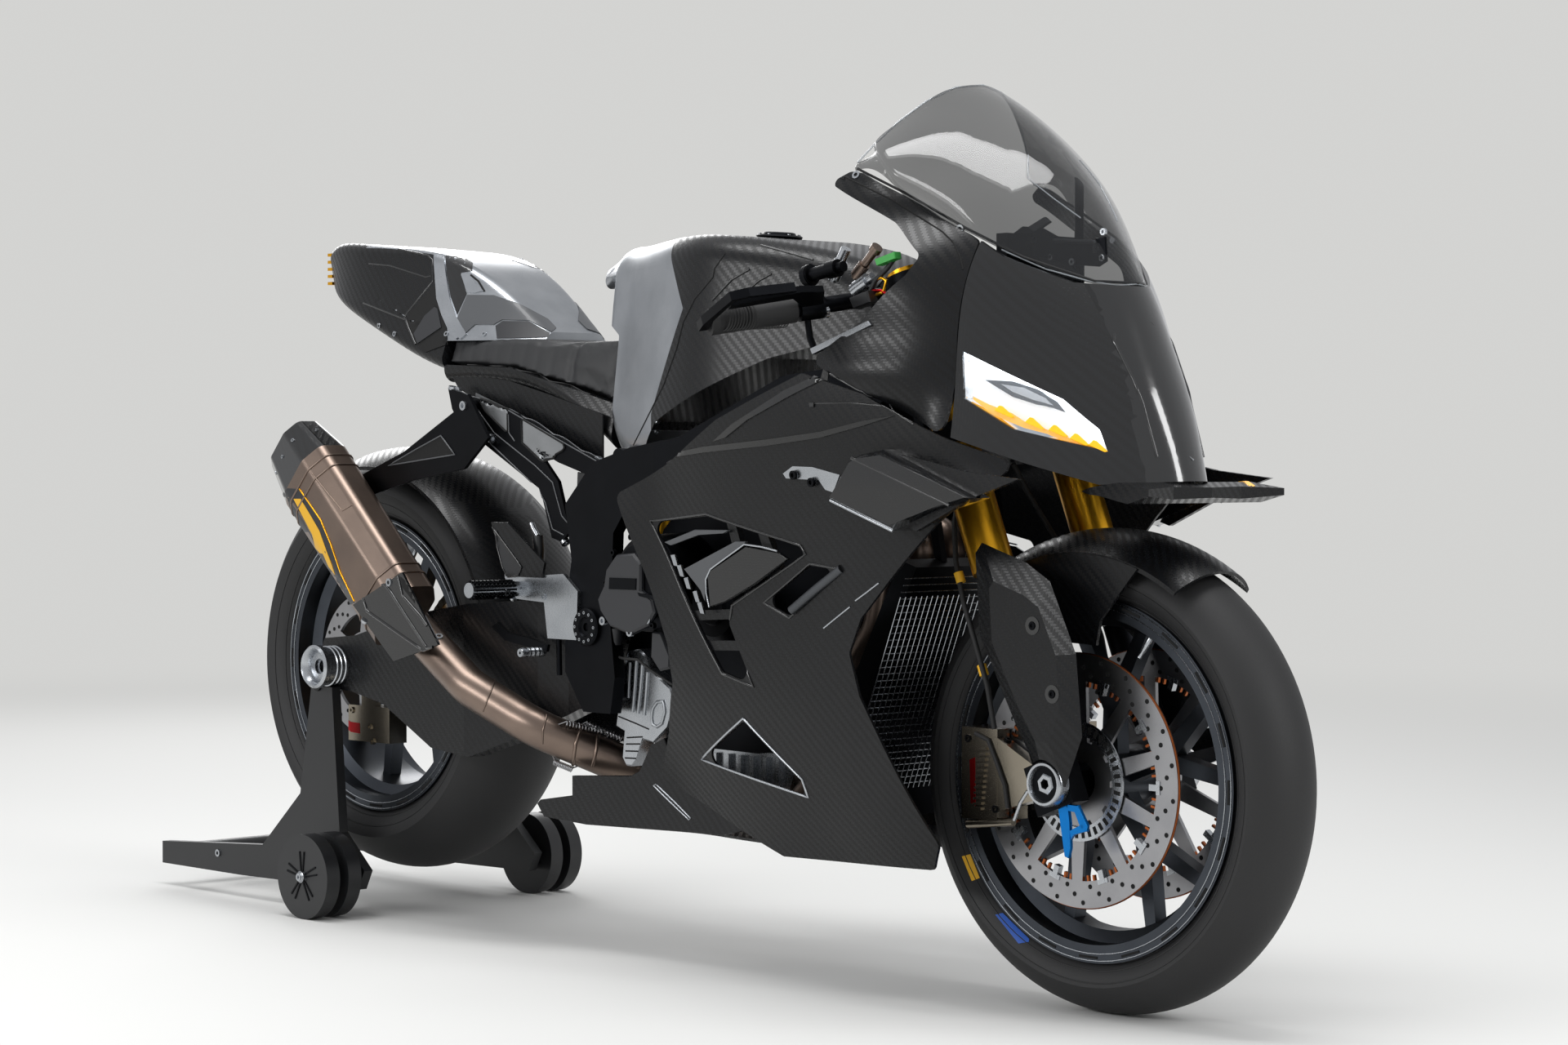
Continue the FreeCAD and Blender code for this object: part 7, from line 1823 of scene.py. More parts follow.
class Engine(Section):
    """Covers, their screws, the pivot adjuster, and the oil pan's fittings."""

    def build(self) -> None:
        """Build every piece."""
        out = Sight(plane_mm=-192)
        dome = [(742.8, 717.5), (745.8, 697.6), (757.8, 679.8), (779.3, 677.7), (788.5, 689.9),
            (788.5, 723.7), (802.3, 735.9), (805.3, 749.7), (796.1, 766.6), (774.7, 776.7),
            (750.1, 766.6), (738.5, 748.2), (735.4, 734.4)]
        out.plate("clutch_cover_shield", Finish.BLACK_SATIN, dome, 7.0, 3.0, 1.5, twin=False)
        out.bead("clutch_cover_rim", Finish.BLACK_ALLOY, dome, 1.8, lift_mm=0.6, closed=True,
            twin=False)
        Sight(plane_mm=-199).plate("clutch_cover_pad", Finish.BLACK_ALLOY, [(746.5, 707.4),
            (779.6, 708.6), (779, 722.7), (745.8, 721.5)], 1.6, sunk_mm=0.4, twin=False)
        Sight(plane_mm=-198).plate("clutch_cover_notch", Finish.BLACK_ALLOY, [(781.4, 725.8),
            (798.6, 728.9), (802.3, 735), (783.3, 730.1)], 2.0, 0.6, 0.4, twin=False)
        spots = out.spots((740.9, 760.5), (774.1, 774.3), (796.1, 758.9))
        self.repeats.screw("clutch_cover_screws", Finish.MACHINED, lifted(spots, 3), 6.0, 6.0)
        ring = circle((0.102, -0.1925, 0.5316), 0.0655, 9, 20)
        self.repeats.screw("cover_ring_screws", Finish.BLACK_ALLOY,
            both_sides((at, RIGHT) for at in ring), 4.5, 6.0)
        Sight(plane_mm=-174).plate("starter_cover_shield", Finish.BLACK_SATIN, [(801, 772.7),
            (811.5, 774.3), (823.7, 804.9), (822.2, 818.7), (809.9, 821.8), (799.2, 804.9)], 5.0,
            3.0, 2.0, twin=False)
        self.adjuster()
        self.crankcase_side()
        pan = Sight("oil_pan")
        spots = pan.spots((768.5, 862.6), (763.9, 804.9), (789.4, 797.3))
        self.repeats.screw("oil_pan_screws", Finish.MACHINED, both_sides(spots), 5.5, 5)
        outline = [(-0.002, 0.001), (-0.002, 0.019), (0.004, 0.019), (0.004, 0.014), (0.001, 0.013),
            (0.001, 0.001)]
        Maker.turned("oil_sight_glass", Finish.MACHINED, [outline], *pan(812.1, 869.3), 30)
        wires = Sight(plane_mm=-150)
        wires.bead("engine_wire", Finish.RUBBER, [(750.1, 801.9), (762.4, 806.5), (780.8, 808),
            (796.1, 820.3), (823.7, 838.7)], 2.0, step=4, twin=False)
        wires.bead("coolant_union", Finish.MACHINED, [(748.6, 651.6), (753.8, 636.3),
            (759.9, 631.7)], 7.0, step=6, twin=False)

    @staticmethod
    def crankcase_side() -> None:
        """Bright cast side of the crankcase with its ribs and foot, the belly's side panel, the
        starter neck and an oil fitting.
        """
        side = Sight(plane_mm=-114)
        side.plate("crankcase_side", Finish.MACHINED, [(770.3, 810.9), (774.3, 797.1),
            (787.3, 794.5), (798.6, 804.9), (802.1, 819.6), (813.3, 830), (827.2, 843),
            (830.7, 862.9), (823.7, 890.7), (806.4, 909.7), (792.5, 905.4), (789.4, 914.9),
            (784.2, 931.4), (778.7, 938.3), (772.1, 937.5), (767.9, 928.8), (770, 895.9),
            (759.6, 888.9), (761.3, 873.3), (763.9, 855.1), (770.3, 852.5)], 9.0, 2.5, 16.0,
            twin=False)
        ribs = ([(777.3, 810.9), (776.1, 831.7), (775.2, 854.3)], [(785.3, 807.5), (783.5, 838.7),
            (780.7, 871.6)], [(792.9, 810.9), (790.5, 842.1), (787.3, 873.3)], [(799.1, 823.1),
            (797.4, 849.1), (795.1, 875.4)])
        for at, run in enumerate(ribs):
            side.bead(f"crankcase_rib_{at + 1}", Finish.CAST, run, 2.6, lift_mm=9.0, step=6,
                twin=False)
        cuts = ([(773.8, 903.1), (792.5, 902.1)], [(772.8, 910.9), (789.4, 910.8)], [(772.1, 919.4),
            (787.3, 919.8)], [(771.4, 927.9), (784.7, 928.5)], [(763.4, 877.1), (783.9, 885.5),
            (800.3, 892.7)])
        for at, run in enumerate(cuts):
            side.bead(f"crankcase_cut_{at + 1}", Finish.SHADOW, run, 1.1, lift_mm=9.0, step=6,
                twin=False)
        side.bead("crankcase_boss", Finish.CAST, [(818.5, 858.6), (810.7, 859.5), (805.5, 867.3),
            (803.8, 878.5), (805.5, 887.2), (810.7, 889.8), (816.8, 885.5), (820.3, 871.6)], 2.6,
            lift_mm=9.0, step=5, closed=True, twin=False)
        low = Sight(plane_mm=-150)
        low.plate("belly_side", Finish.CARBON, [(702.9, 949.9), (775, 949.9), (785.9, 944.1),
            (800, 912), (815.1, 904), (835.9, 956.5), (889.6, 992.9), (917.3, 1016.3),
            (889.6, 1022.7), (800, 1016), (720.1, 1009.9), (668.1, 1000), (659.9, 983.9),
            (663.9, 979.1), (702.9, 974)], 4.0, sunk_mm=4.0, twin=False)
        # painted highlight: a bright machined loop where light catches the edge of the belly's slot
        low.bead("belly_slot_painted_highlight", Finish.MACHINED, [(805.7, 960), (827.2, 980.5), (848.5, 1001.9),
            (846.3, 1003.7), (824.1, 982.9), (802.9, 962.1)], 1.2, lift_mm=4.0, step=5, closed=True,
            twin=False)
        low.bead("starter_neck", Finish.BLACK_SATIN, [(753.5, 769.3), (752.7, 779.7),
            (752.3, 789.3)], 11.0, step=6, twin=False)
        Sight(plane_mm=-128).bead("oil_fitting", Finish.MACHINED, [(759.3, 795), (758.6, 804),
            (757.9, 812.3)], 6.0, step=6, twin=False)

    def adjuster(self) -> None:
        """Ring of screws and turned adjuster of the swingarm pivot on both sides."""
        centre = Sight(plane_mm=-164)(718.9, 768.1)[0]
        outline = [(-0.003, 0.006), (-0.003, 0.027), (0.003, 0.027), (0.005, 0.025), (0.005, 0.014),
            (0.002, 0.012), (0.002, 0.006)]
        Maker.turned("pivot_adjusters", Finish.BLACK_ALLOY, [outline], centre, segments=36,
            twin=True)
        spots = [(at + Vector((0, -0.005, 0)), RIGHT) for at in circle(centre, 0.0205,
            12)]
        self.repeats.screw("pivot_adjuster_screws", Finish.MACHINED, both_sides(spots), 2.2)


class Controls(Section):
    """Foot peg knurl, brake pedal, heel guard recess and the rearset's screws."""

    def build(self) -> None:
        """Build every piece."""
        foot = spot(464, -172, 516)
        ribs = []
        for along in range(11):
            for turn in (math.tau * at / 14 for at in range(14)):
                out = ray(turn)
                ribs.append((foot + RIGHT * (14 + along * 7) * MM + out * 0.0125, RIGHT, out,
                    (4.6, 3.0, 3.0)))
        ribs += [(p * FLIP, w, o, s) for p, w, o, s in ribs]
        self.repeats.rib("peg_knurls", Finish.BLACK_ALLOY, ribs)
        plane = Sight(plane_mm=-172)
        plane.plate("brake_pedal", Finish.BLACK_ALLOY, [(605.4, 766.9), (612.1, 762),
            (625.9, 774.9), (652, 781), (674.1, 789.6), (672.2, 798.2), (652, 792.7),
            (621.3, 784.1)], 7.0, 2.0)
        toe = plane(665.8, 798.2)[0]
        outline = [(0, 0.002), (0, 0.0065), (0.006, 0.0075), (0.01, 0.0062), (0.014, 0.0075),
            (0.018, 0.0062), (0.022, 0.0075), (0.026, 0.0062), (0.03, 0.0075), (0.034, 0.0062),
            (0.04, 0.0075), (0.044, 0.006), (0.044, 0.002)]
        Maker.turned("pedal_toes", Finish.MACHINED, [outline], toe, RIGHT, 20, twin=True)
        guard = Sight("heel_guards")
        edge = [(596.2, 654.7), (603.5, 646.1), (639.1, 694.5), (635.4, 704.3), (623.8, 707.4),
            (600.5, 676.7)]
        guard.patch("heel_guard_panels", Finish.MESH_BLACK, edge, lift_mm=0.9, cell=8)
        guard.bead("heel_guard_rims", Finish.CARBON_GLOSS, edge, 1.2, lift_mm=1.0, closed=True)
        rear = Sight("rearsets", "heel_guards")
        spots = rear.spots((620.7, 725.2), (643.7, 719.1), (665.8, 731.3), (623.8, 757.4),
            (609.1, 770.6))
        self.repeats.screw("rearset_screws", Finish.MACHINED, both_sides(spots), 5.0, 4)
        rod = Sight(plane_mm=-158)
        rod.bead("brake_push_rods", Finish.BLACK_ALLOY, [(684.2, 742.1), (684.2, 783.5),
            (685.1, 827)], 4.2, twin=False)
        Sight(plane_mm=-140).bead("rear_master_cylinder", Finish.NYLON, [(658.7, 656.2),
            (660, 673.1), (658.7, 700.7)], 9.0, twin=False)
        Sight(plane_mm=-140).bead("rear_banjo", Finish.MACHINED, [(650.8, 640.9), (653.2, 647.3),
            (658.1, 656.5)], 4.0, step=3, twin=False)


class Exhaust(Section):
    """Bands, springs, side panels, shield folds and screws of the exhaust."""

    def build(self) -> None:
        """Build every piece."""
        can = Sight("muffler", "muffler_end_cap")
        can.patch("muffler_dark_panel", Finish.BLACK_SATIN, [(341, 611), (352, 598), (366.9, 599.0),
            (393.3, 638.5), (405.2, 667.8), (416.7, 702.1), (434.1, 738.3), (424.4, 743),
            (398, 722), (368, 672), (350, 640)], cell=6, wall_mm=1.2, twin=False)
        can.patch("muffler_yellow_panel", Finish.MARK_YELLOW, [(360.0, 611.0), (368.5, 611.0),
            (380.0, 630.0), (391.5, 650.0), (400.0, 674.0), (411.0, 704.0), (403.0, 694.0),
            (396.0, 678.0), (388.0, 676.0), (383.0, 655.0), (372.0, 634.0)], lift_mm=1.1, cell=6,
            wall_mm=1.2, twin=False)
        can.bead("muffler_panel_edge", Finish.GOLD, [(366.9, 599), (393.3, 637.9), (405.8, 667.8),
            (417.3, 702), (434.1, 736.3)], 1.2, lift_mm=0.5, step=4, twin=False)
        can.bead("muffler_weld_seam", Finish.TITANIUM, [(382.3, 580.1), (401.3, 604.1),
            (419.1, 625.7), (431.7, 618.1)], 0.9, lift_mm=0.4, step=4, twin=False)
        Sight(plane_mm=-160).plate("silencer_tab", Finish.TITANIUM, [(400.8, 577.5), (407.7, 575),
            (440.6, 591.5), (444.9, 601.6), (433, 619.3), (421.6, 607.9)], 4.0, twin=False)
        tab = Sight(plane_mm=-164)(436.3, 599.1)
        self.repeats.screw("silencer_tab_screw", Finish.MACHINED, [tab], 9.0, 6.0)
        shell = Probe("muffler")
        start, end = spot(240, -206.6, 470), spot(16, -206.6, 678)
        for name, along in (("muffler_front_band", 0.1), ("muffler_front_line", 0.16),
                ("muffler_rear_line", 0.86), ("muffler_rear_band", 0.93)):
            self.band(name, shell, start.lerp(end, along), end - start)
        front = start.lerp(end, 0.1)
        rivets = self.round_spots(shell, front, end - start, 14)
        self.repeats.screw("muffler_rivets", Finish.TITANIUM, rivets, 2.6, 3.4)
        shield = Sight("heat_shield", "link_pipe")
        spots = shield.spots((476.6, 713.4), (537.4, 780), (440.2, 774.2))
        self.repeats.screw("heat_shield_screws", Finish.MACHINED, spots, 6.0, 4.0)
        cover = Sight("heat_shield")
        for at, run in enumerate(([(462.1, 705.5), (477.3, 723.2), (500.1, 758.7), (525.5, 797.9)],
                [(487.5, 705.5), (493, 729.5), (515.3, 754.9), (522.9, 766.3)], [(441.9, 723.2),
                (449.5, 748.5), (492.5, 778.9), (522.9, 799.7)])):
            cover.bead(f"heat_shield_fold_{at + 1}", Finish.CARBON_GLOSS, run, 2.2, lift_mm=0.3,
                step=5, twin=False)
        cover.patch("heat_shield_slot", Finish.SHADOW, [(490.4, 706.4), (508, 722.4), (513.8, 732),
            (508, 739), (492.6, 719.2)], lift_mm=0.5, cell=6, wall_mm=1.0, twin=False)
        cover.plate("heat_shield_badge_plate", Finish.BLACK_SATIN, [(512.8, 755), (520.8, 753.8),
            (543.8, 780), (543.8, 787), (533.6, 783.8), (517, 764)], 1.2, 0.6, 0.2, twin=False)
        pipe = Sight("link_pipe", "exhaust_header")
        for at, run in enumerate(([(607.8, 829.6), (600.8, 847.2), (591.2, 871.2)], [(669.6, 876),
                (664.8, 895.2), (664.2, 911.2)], [(711.2, 893.6), (704.8, 911.2), (701.6, 936.8)],
                [(732, 900), (730.4, 917.6), (725.6, 938.4)])):
            pipe.bead(f"pipe_ring_{at + 1}", Finish.TITANIUM, run, 1.5 if at < 2 else 2.6,
                lift_mm=0.2, step=4, twin=False)
        for at, (start_px, end_px) in enumerate(([(684, 887.2), (743.2, 903.2)], [(676, 928.8),
                (706.4, 940)], [(709.6, 887.2), (768.8, 908)])):
            self.spring(f"pipe_spring_{at + 1}", pipe(*start_px), pipe(*end_px))
        self.cap_screws()

    @staticmethod
    def round_spots(probe: Probe, centre: Vector, way: Vector, count: int) -> list[Spot]:
        """Surface points round an axis.

        Args:
            probe: Looks at the node.
            centre: Point on the axis.
            way: Direction of the axis.
            count: Number of points.

        Returns:
            Points and normals.
        """
        way = way.normalized()
        across = Vector((0, 1, 0))
        other = way.cross(across)
        found = []
        for at in range(count):
            turn = math.tau * at / count
            out = across * math.cos(turn) + other * math.sin(turn)
            hit = probe.hit(centre + out * 0.3, -out)
            if hit:
                found.append(hit)
        return found

    def band(self, name: str, probe: Probe, centre: Vector, way: Vector) -> None:
        """Bright rolled band round the silencer.

        Args:
            name: Name of the piece.
            probe: Looks at the silencer.
            centre: Point on its axis.
            way: Direction of the axis.
        """
        line = [point for point, _ in lifted(self.round_spots(probe, centre, way, 72), 0.3)]
        Maker.tubes(name, Finish.TITANIUM, [line], 1.8, closed=True)

    @staticmethod
    def spring(name: str, start: Spot, end: Spot) -> None:
        """Coil spring between two hooks on the pipe.

        Args:
            name: Name of the piece.
            start: Point and normal of the first hook.
            end: Point and normal of the second hook.
        """
        first = start[0] + start[1] * 7 * MM
        last = end[0] + end[1] * 7 * MM
        way = (last - first).normalized()
        across = way.orthogonal().normalized()
        other = way.cross(across)
        turns, steps = 12, 120
        line = [start[0]]
        for at in range(steps + 1):
            share = at / steps
            turn = math.tau * turns * share
            middle = first.lerp(last, 0.12 + share * 0.76)
            line.append(middle + (across * math.cos(turn) + other * math.sin(turn)) * 4 * MM)
        line.append(end[0])
        Maker.tubes(name, Finish.DISC_STEEL, [line], 1.0, 6)

    def cap_screws(self) -> None:
        """Small screws that hold the end cap to the silencer."""
        shell = Probe("muffler_end_cap")
        start, end = spot(240, -206.6, 470), spot(-40, -206.6, 726)
        spots = self.round_spots(shell, start.lerp(end, 0.93), end - start, 8)
        self.repeats.screw("end_cap_screws", Finish.MACHINED, spots, 3.0)


# Wheels, forks and brakes

@dataclass
class Wheel:
    """Machined rim lines, slots, valve, sidewall rings and disc holes of one wheel."""

    repeats: Repeats
    name: str
    centre: Point
    body: Body
    flange_mm: float
    rim_half_mm: float

    def rim_lines(self) -> None:
        """Bright machined rings, engraved slots on both rim faces, and the valve."""
        probe = Probe(f"{self.name}_rim")
        slots, rings = [], []
        for side in (-1, 1):
            way = Vector((0, side, 0))
            for radius in (self.flange_mm - 3.0, self.flange_mm - 12.0):
                rings.append([point + way * 0.2 * MM for point in (self.face(probe, radius, turn *
                    5, side) for turn in range(72))])
            for turn in range(20):
                place = self.face(probe, self.flange_mm - 7.5, turn * 18, side)
                angle = math.radians(turn * 18)
                along = Vector((-math.sin(angle), 0, math.cos(angle)))
                slots.append((place + way * 0.3 * MM, along, way, (30, 3.2, 1.0)))
        Maker.tubes(f"{self.name}_rim_lines", Finish.MACHINED, rings, 0.9, 6, True, self.body)
        self.repeats.rib(f"{self.name}_rim_slots", Finish.SHADOW, slots, body=self.body)
        stem = self.face(probe, self.flange_mm - 20, 63, -1)
        inward = (Vector(self.centre) - stem).normalized()
        outline = [(-0.004, 0.001), (-0.004, 0.005), (0.006, 0.005), (0.008, 0.0035),
            (0.026, 0.0035), (0.027, 0.0028), (0.036, 0.0028), (0.036, 0.001)]
        Maker.turned(f"{self.name}_valve", Finish.MACHINED, [outline], stem + Vector((0, 0.012, 0)),
            inward + Vector((0, -0.5, 0)), 16, self.body)

    def face(self, probe: Probe, radius_mm: float, turn_deg: float, side: int) -> Vector:
        """Point of the rim's face at a radius and angle.

        Args:
            probe: Looks at the rim.
            radius_mm: Distance from the axle.
            turn_deg: Angle round the axle.
            side: Sign of Y that it is looked at from.

        Returns:
            The point.
        """
        place = Vector(self.centre) + ray(math.radians(turn_deg)) * radius_mm * MM
        found = probe.hit(place + Vector((0, side * 0.5, 0)), (0, -side, 0))
        if found and abs(found[0].y) > self.rim_half_mm * 0.6 * MM:
            return found[0]
        return place + Vector((0, side * self.rim_half_mm * MM, 0))

    def sidewall(self) -> None:
        """Moulded rings on both sidewalls of the tyre."""
        probe = Probe(f"{self.name}_tyre")
        rings = []
        for side in (-1, 1):
            for radius in (self.flange_mm + 9, self.flange_mm + 24):
                ring = []
                for place in circle(self.centre, radius * MM, 90):
                    found = probe.hit(place + Vector((0, side * 0.5, 0)), (0, -side, 0))
                    ring.append(found[0] if found else place)
                rings.append(ring)
        Maker.tubes(f"{self.name}_sidewall_rings", Finish.TYRE, rings, 0.8, 6, True, self.body)

    def drilled(self, name: str, radii_mm: Sequence[float], count: int, faces_mm: Flat, hole_mm:
            float) -> None:
        """Drilled holes of a brake band.

        Args:
            name: Name of the piece.
            radii_mm: Rows of holes.
            count: Holes in a row.
            faces_mm: Y of each face and the sign it faces.
            hole_mm: Radius of a hole.
        """
        spots = []
        for y_mm, facing in faces_mm:
            for row, radius in enumerate(radii_mm):
                middle = self.centre[0], y_mm * MM, self.centre[2]
                spots.extend(((at, Vector((0, facing, 0))) for at in circle(middle, radius * MM,
                    count, row * 360 / count / len(radii_mm))))
        self.repeats.screw(name, Finish.SHADOW, spots, hole_mm, 0.5, body=self.body)


class FrontEnd(Section):
    """Front wheel, discs, calipers, fork covers' screws, axle nut and hose bands."""

    def build(self) -> None:
        """Build every piece."""
        wheel = Wheel(self.repeats, "front", FRONT_AXLE, Body.FRONT_WHEEL, 231, 51.5)
        wheel.rim_lines()
        wheel.sidewall()
        faces = [(-70.1, -1), (-64.4, 1), (70.1, 1), (64.4, -1)]
        wheel.drilled("front_disc_holes", (133, 143, 153), 22, faces, 3.1)
        self.bobbins()
        self.tone_ring()
        tyre = Sight("front_tyre")
        tyre.patch("tyre_mark_yellow", Finish.MARK_YELLOW, [(1177.8, 1049.1), (1188.2, 1046.3),
            (1199.7, 1075.4), (1190, 1079.2)], lift_mm=0.5, cell=5, wall_mm=0.9, twin=False,
            body=Body.FRONT_WHEEL)
        tyre.patch("tyre_mark_blue", Finish.MARK_BLUE, [(1218.7, 1120.5), (1227.8, 1118.4),
            (1260.3, 1150.3), (1259.7, 1153.8), (1247.2, 1155.8)], lift_mm=0.5, cell=5, wall_mm=0.9,
            twin=False, body=Body.FRONT_WHEEL)
        self.fork()
        self.calipers()

    def bobbins(self) -> None:
        """Silver drive clips and copper fins between band and carrier."""
        clips, fins = [], []
        for y_mm in (-67.2, 67.2):
            middle = Vector((FRONT_AXLE[0], y_mm * MM, FRONT_AXLE[2]))
            for at in range(10):
                turn = math.radians(at * 36)
                out = ray(turn)
                clips.append((middle + out * 0.1235, out, Vector((0, 1, 0)), (17, 8, 8.4)))
                along = Vector((-out.z, 0, out.x))
                clips.append((middle + out * 0.129, along, Vector((0, 1, 0)), (17, 6, 8.0)))
            for at in range(80):
                if at % 8 in (0, 7):
                    continue
                turn = math.radians(at * 4.5 + 2.25)
                out = ray(turn)
                fins.append((middle + out * 0.1225, out, Vector((0, 1, 0)), (7.5, 3.0, 4.4)))
        self.repeats.rib("disc_clips", Finish.MACHINED, clips, body=Body.FRONT_WHEEL)
        self.repeats.rib("disc_copper_fins", Finish.COPPER, fins, body=Body.FRONT_WHEEL)
        rims = [circle((FRONT_AXLE[0], y_mm * MM, FRONT_AXLE[2]), 0.1602, 96) for y_mm in
            (-67.2, 67.2)]
        Maker.tubes("disc_rims", Finish.COPPER, rims, 1.5, 6, True, Body.FRONT_WHEEL)

    def tone_ring(self) -> None:
        """Slotted speed sensor ring beside the right disc."""
        centre = Vector((FRONT_AXLE[0], -0.0725, FRONT_AXLE[2]))
        outline = [(0, 0.058), (0, 0.076), (0.0016, 0.076), (0.0016, 0.058)]
        Maker.turned("speed_ring", Finish.MACHINED, [outline], centre, segments=60,
            body=Body.FRONT_WHEEL)
        slots = []
        for at in range(40):
            turn = math.radians(at * 9)
            out = ray(turn)
            slots.append((centre + out * 0.067 + Vector((0, -0.0016, 0)), out, RIGHT,
                (10, 5, 0.6)))
        self.repeats.rib("speed_ring_slots", Finish.SHADOW, slots, body=Body.FRONT_WHEEL)

    def fork(self) -> None:
        """Cover screws, axle ring and nut, blue bracket and hose bands."""
        cover = Sight("fork_covers")
        spots = both_sides(cover.spots((1264.2, 766.5), (1288.4, 850.4)))
        self.repeats.screw("fork_cover_dishes", Finish.GLOSS_BLACK, lifted(spots, -0.8), 11.5,
            body=Body.STEERING)
        self.repeats.screw("fork_cover_screws", Finish.BLACK_ALLOY, lifted(spots, 0.6), 5.0, 2.6,
            body=Body.STEERING)
        centre = Vector((FRONT_AXLE[0], -0.1325, FRONT_AXLE[2]))
        ring = [(-0.012, 0.0215), (-0.012, 0.0285), (0.003, 0.0285), (0.006, 0.0265),
            (0.006, 0.0235), (0.001, 0.0215)]
        nut = [(-0.012, 0.007), (-0.012, 0.0135), (0.0005, 0.0135), (0.002, 0.012), (0.002, 0.007)]

        def build(work: bmesh.types.BMesh) -> None:
            """Fill the bmesh."""
            Shapes.lathe(work, ring, centre, segments=48)
            Shapes.lathe(work, nut, centre, segments=6)

        Maker.fill("axle_rings", Finish.MACHINED, build, Body.STEERING, True)
        low = Sight(plane_mm=-112)
        for at, outline in enumerate(([(1298.5, 986.7), (1310.3, 983.9), (1313, 1007.5),
                (1313.7, 1038.7), (1311, 1051.1), (1306.8, 1049.1), (1302.6, 1021.3)],
                [(1307.5, 984.6), (1322.7, 986), (1334.5, 1011.6), (1333.1, 1018.6),
                (1326.2, 1013.7), (1318.6, 993.6), (1310.3, 992.2)], [(1329.7, 1008.2),
                (1333.8, 1017.9), (1317.2, 1022.7), (1313.7, 1028.3), (1312.3, 1017.2)])):
            low.plate(f"blue_bracket_{at + 1}", Finish.BLUE, outline, 5.0, twin=False,
                body=Body.STEERING)
        hose = Sight("brake_hoses")
        for name, pixel in (("hose_band_upper", (1166.4, 705.2)), ("hose_band_lower",
                (1169.9, 831.4))):
            place, _ = hose(*pixel)
            middle = place + Vector((0, 0.0045, 0))
            outline = [(-0.007, 0.0035), (-0.007, 0.0062), (0.007, 0.0062), (0.007, 0.0035)]
            Maker.turned(name, Finish.MARK_YELLOW, [outline], middle, (math.sin(RAKE), 0,
                -math.cos(RAKE)), 16, Body.STEERING)

    def calipers(self) -> None:
        """Ribs, red panel, bridge screws and banjo union of the calipers."""
        block = Sight("front_calipers")
        ribs = []
        top, foot = [(1204.2, 917.3), (1197.9, 990.8)]
        for at in range(12):
            share = at / 11
            point, normal = block(top[0] + (foot[0] - top[0]) * share, top[1] + (foot[1] - top[1]) *
                share)
            ribs.append((point, Vector((1, 0, 0.1)), normal, (15, 3.2, 7)))
        ribs += [(p * FLIP, w, n * FLIP, s) for p, w, n, s in ribs]
        self.repeats.rib("caliper_ribs", Finish.NICKEL, ribs, body=Body.STEERING)
        block.patch("caliper_panels", Finish.RED, [(1187.5, 930.5), (1193.8, 927.7),
            (1194.5, 986.7), (1188.9, 983.2)], lift_mm=0.5, cell=6, wall_mm=1.0, body=Body.STEERING)
        spots = block.spots((1186.2, 904.2), (1205.6, 885.4), (1219.4, 990.8), (1234, 906.9))
        self.repeats.screw("caliper_screws", Finish.BLACK_ALLOY, both_sides(spots), 5, 5,
            body=Body.STEERING)
        Sight(plane_mm=-92).bead("caliper_banjos", Finish.NICKEL, [(1185.5, 1009.2),
            (1209.7, 1008.2), (1240.9, 1006.8)], 5.5, step=4, body=Body.STEERING)
        Sight(plane_mm=-96).bead("caliper_links", Finish.MACHINED, [(1241.6, 1004.7),
            (1249.6, 983.2), (1259, 968.6)], 2.6, step=4, body=Body.STEERING)
        Sight(plane_mm=-98).bead("caliper_wires", Finish.RUBBER, [(1194.5, 898.3), (1210.4, 906.9),
            (1220.8, 934.7), (1230.5, 962.4), (1234, 990.1)], 3.0, step=5, body=Body.STEERING)


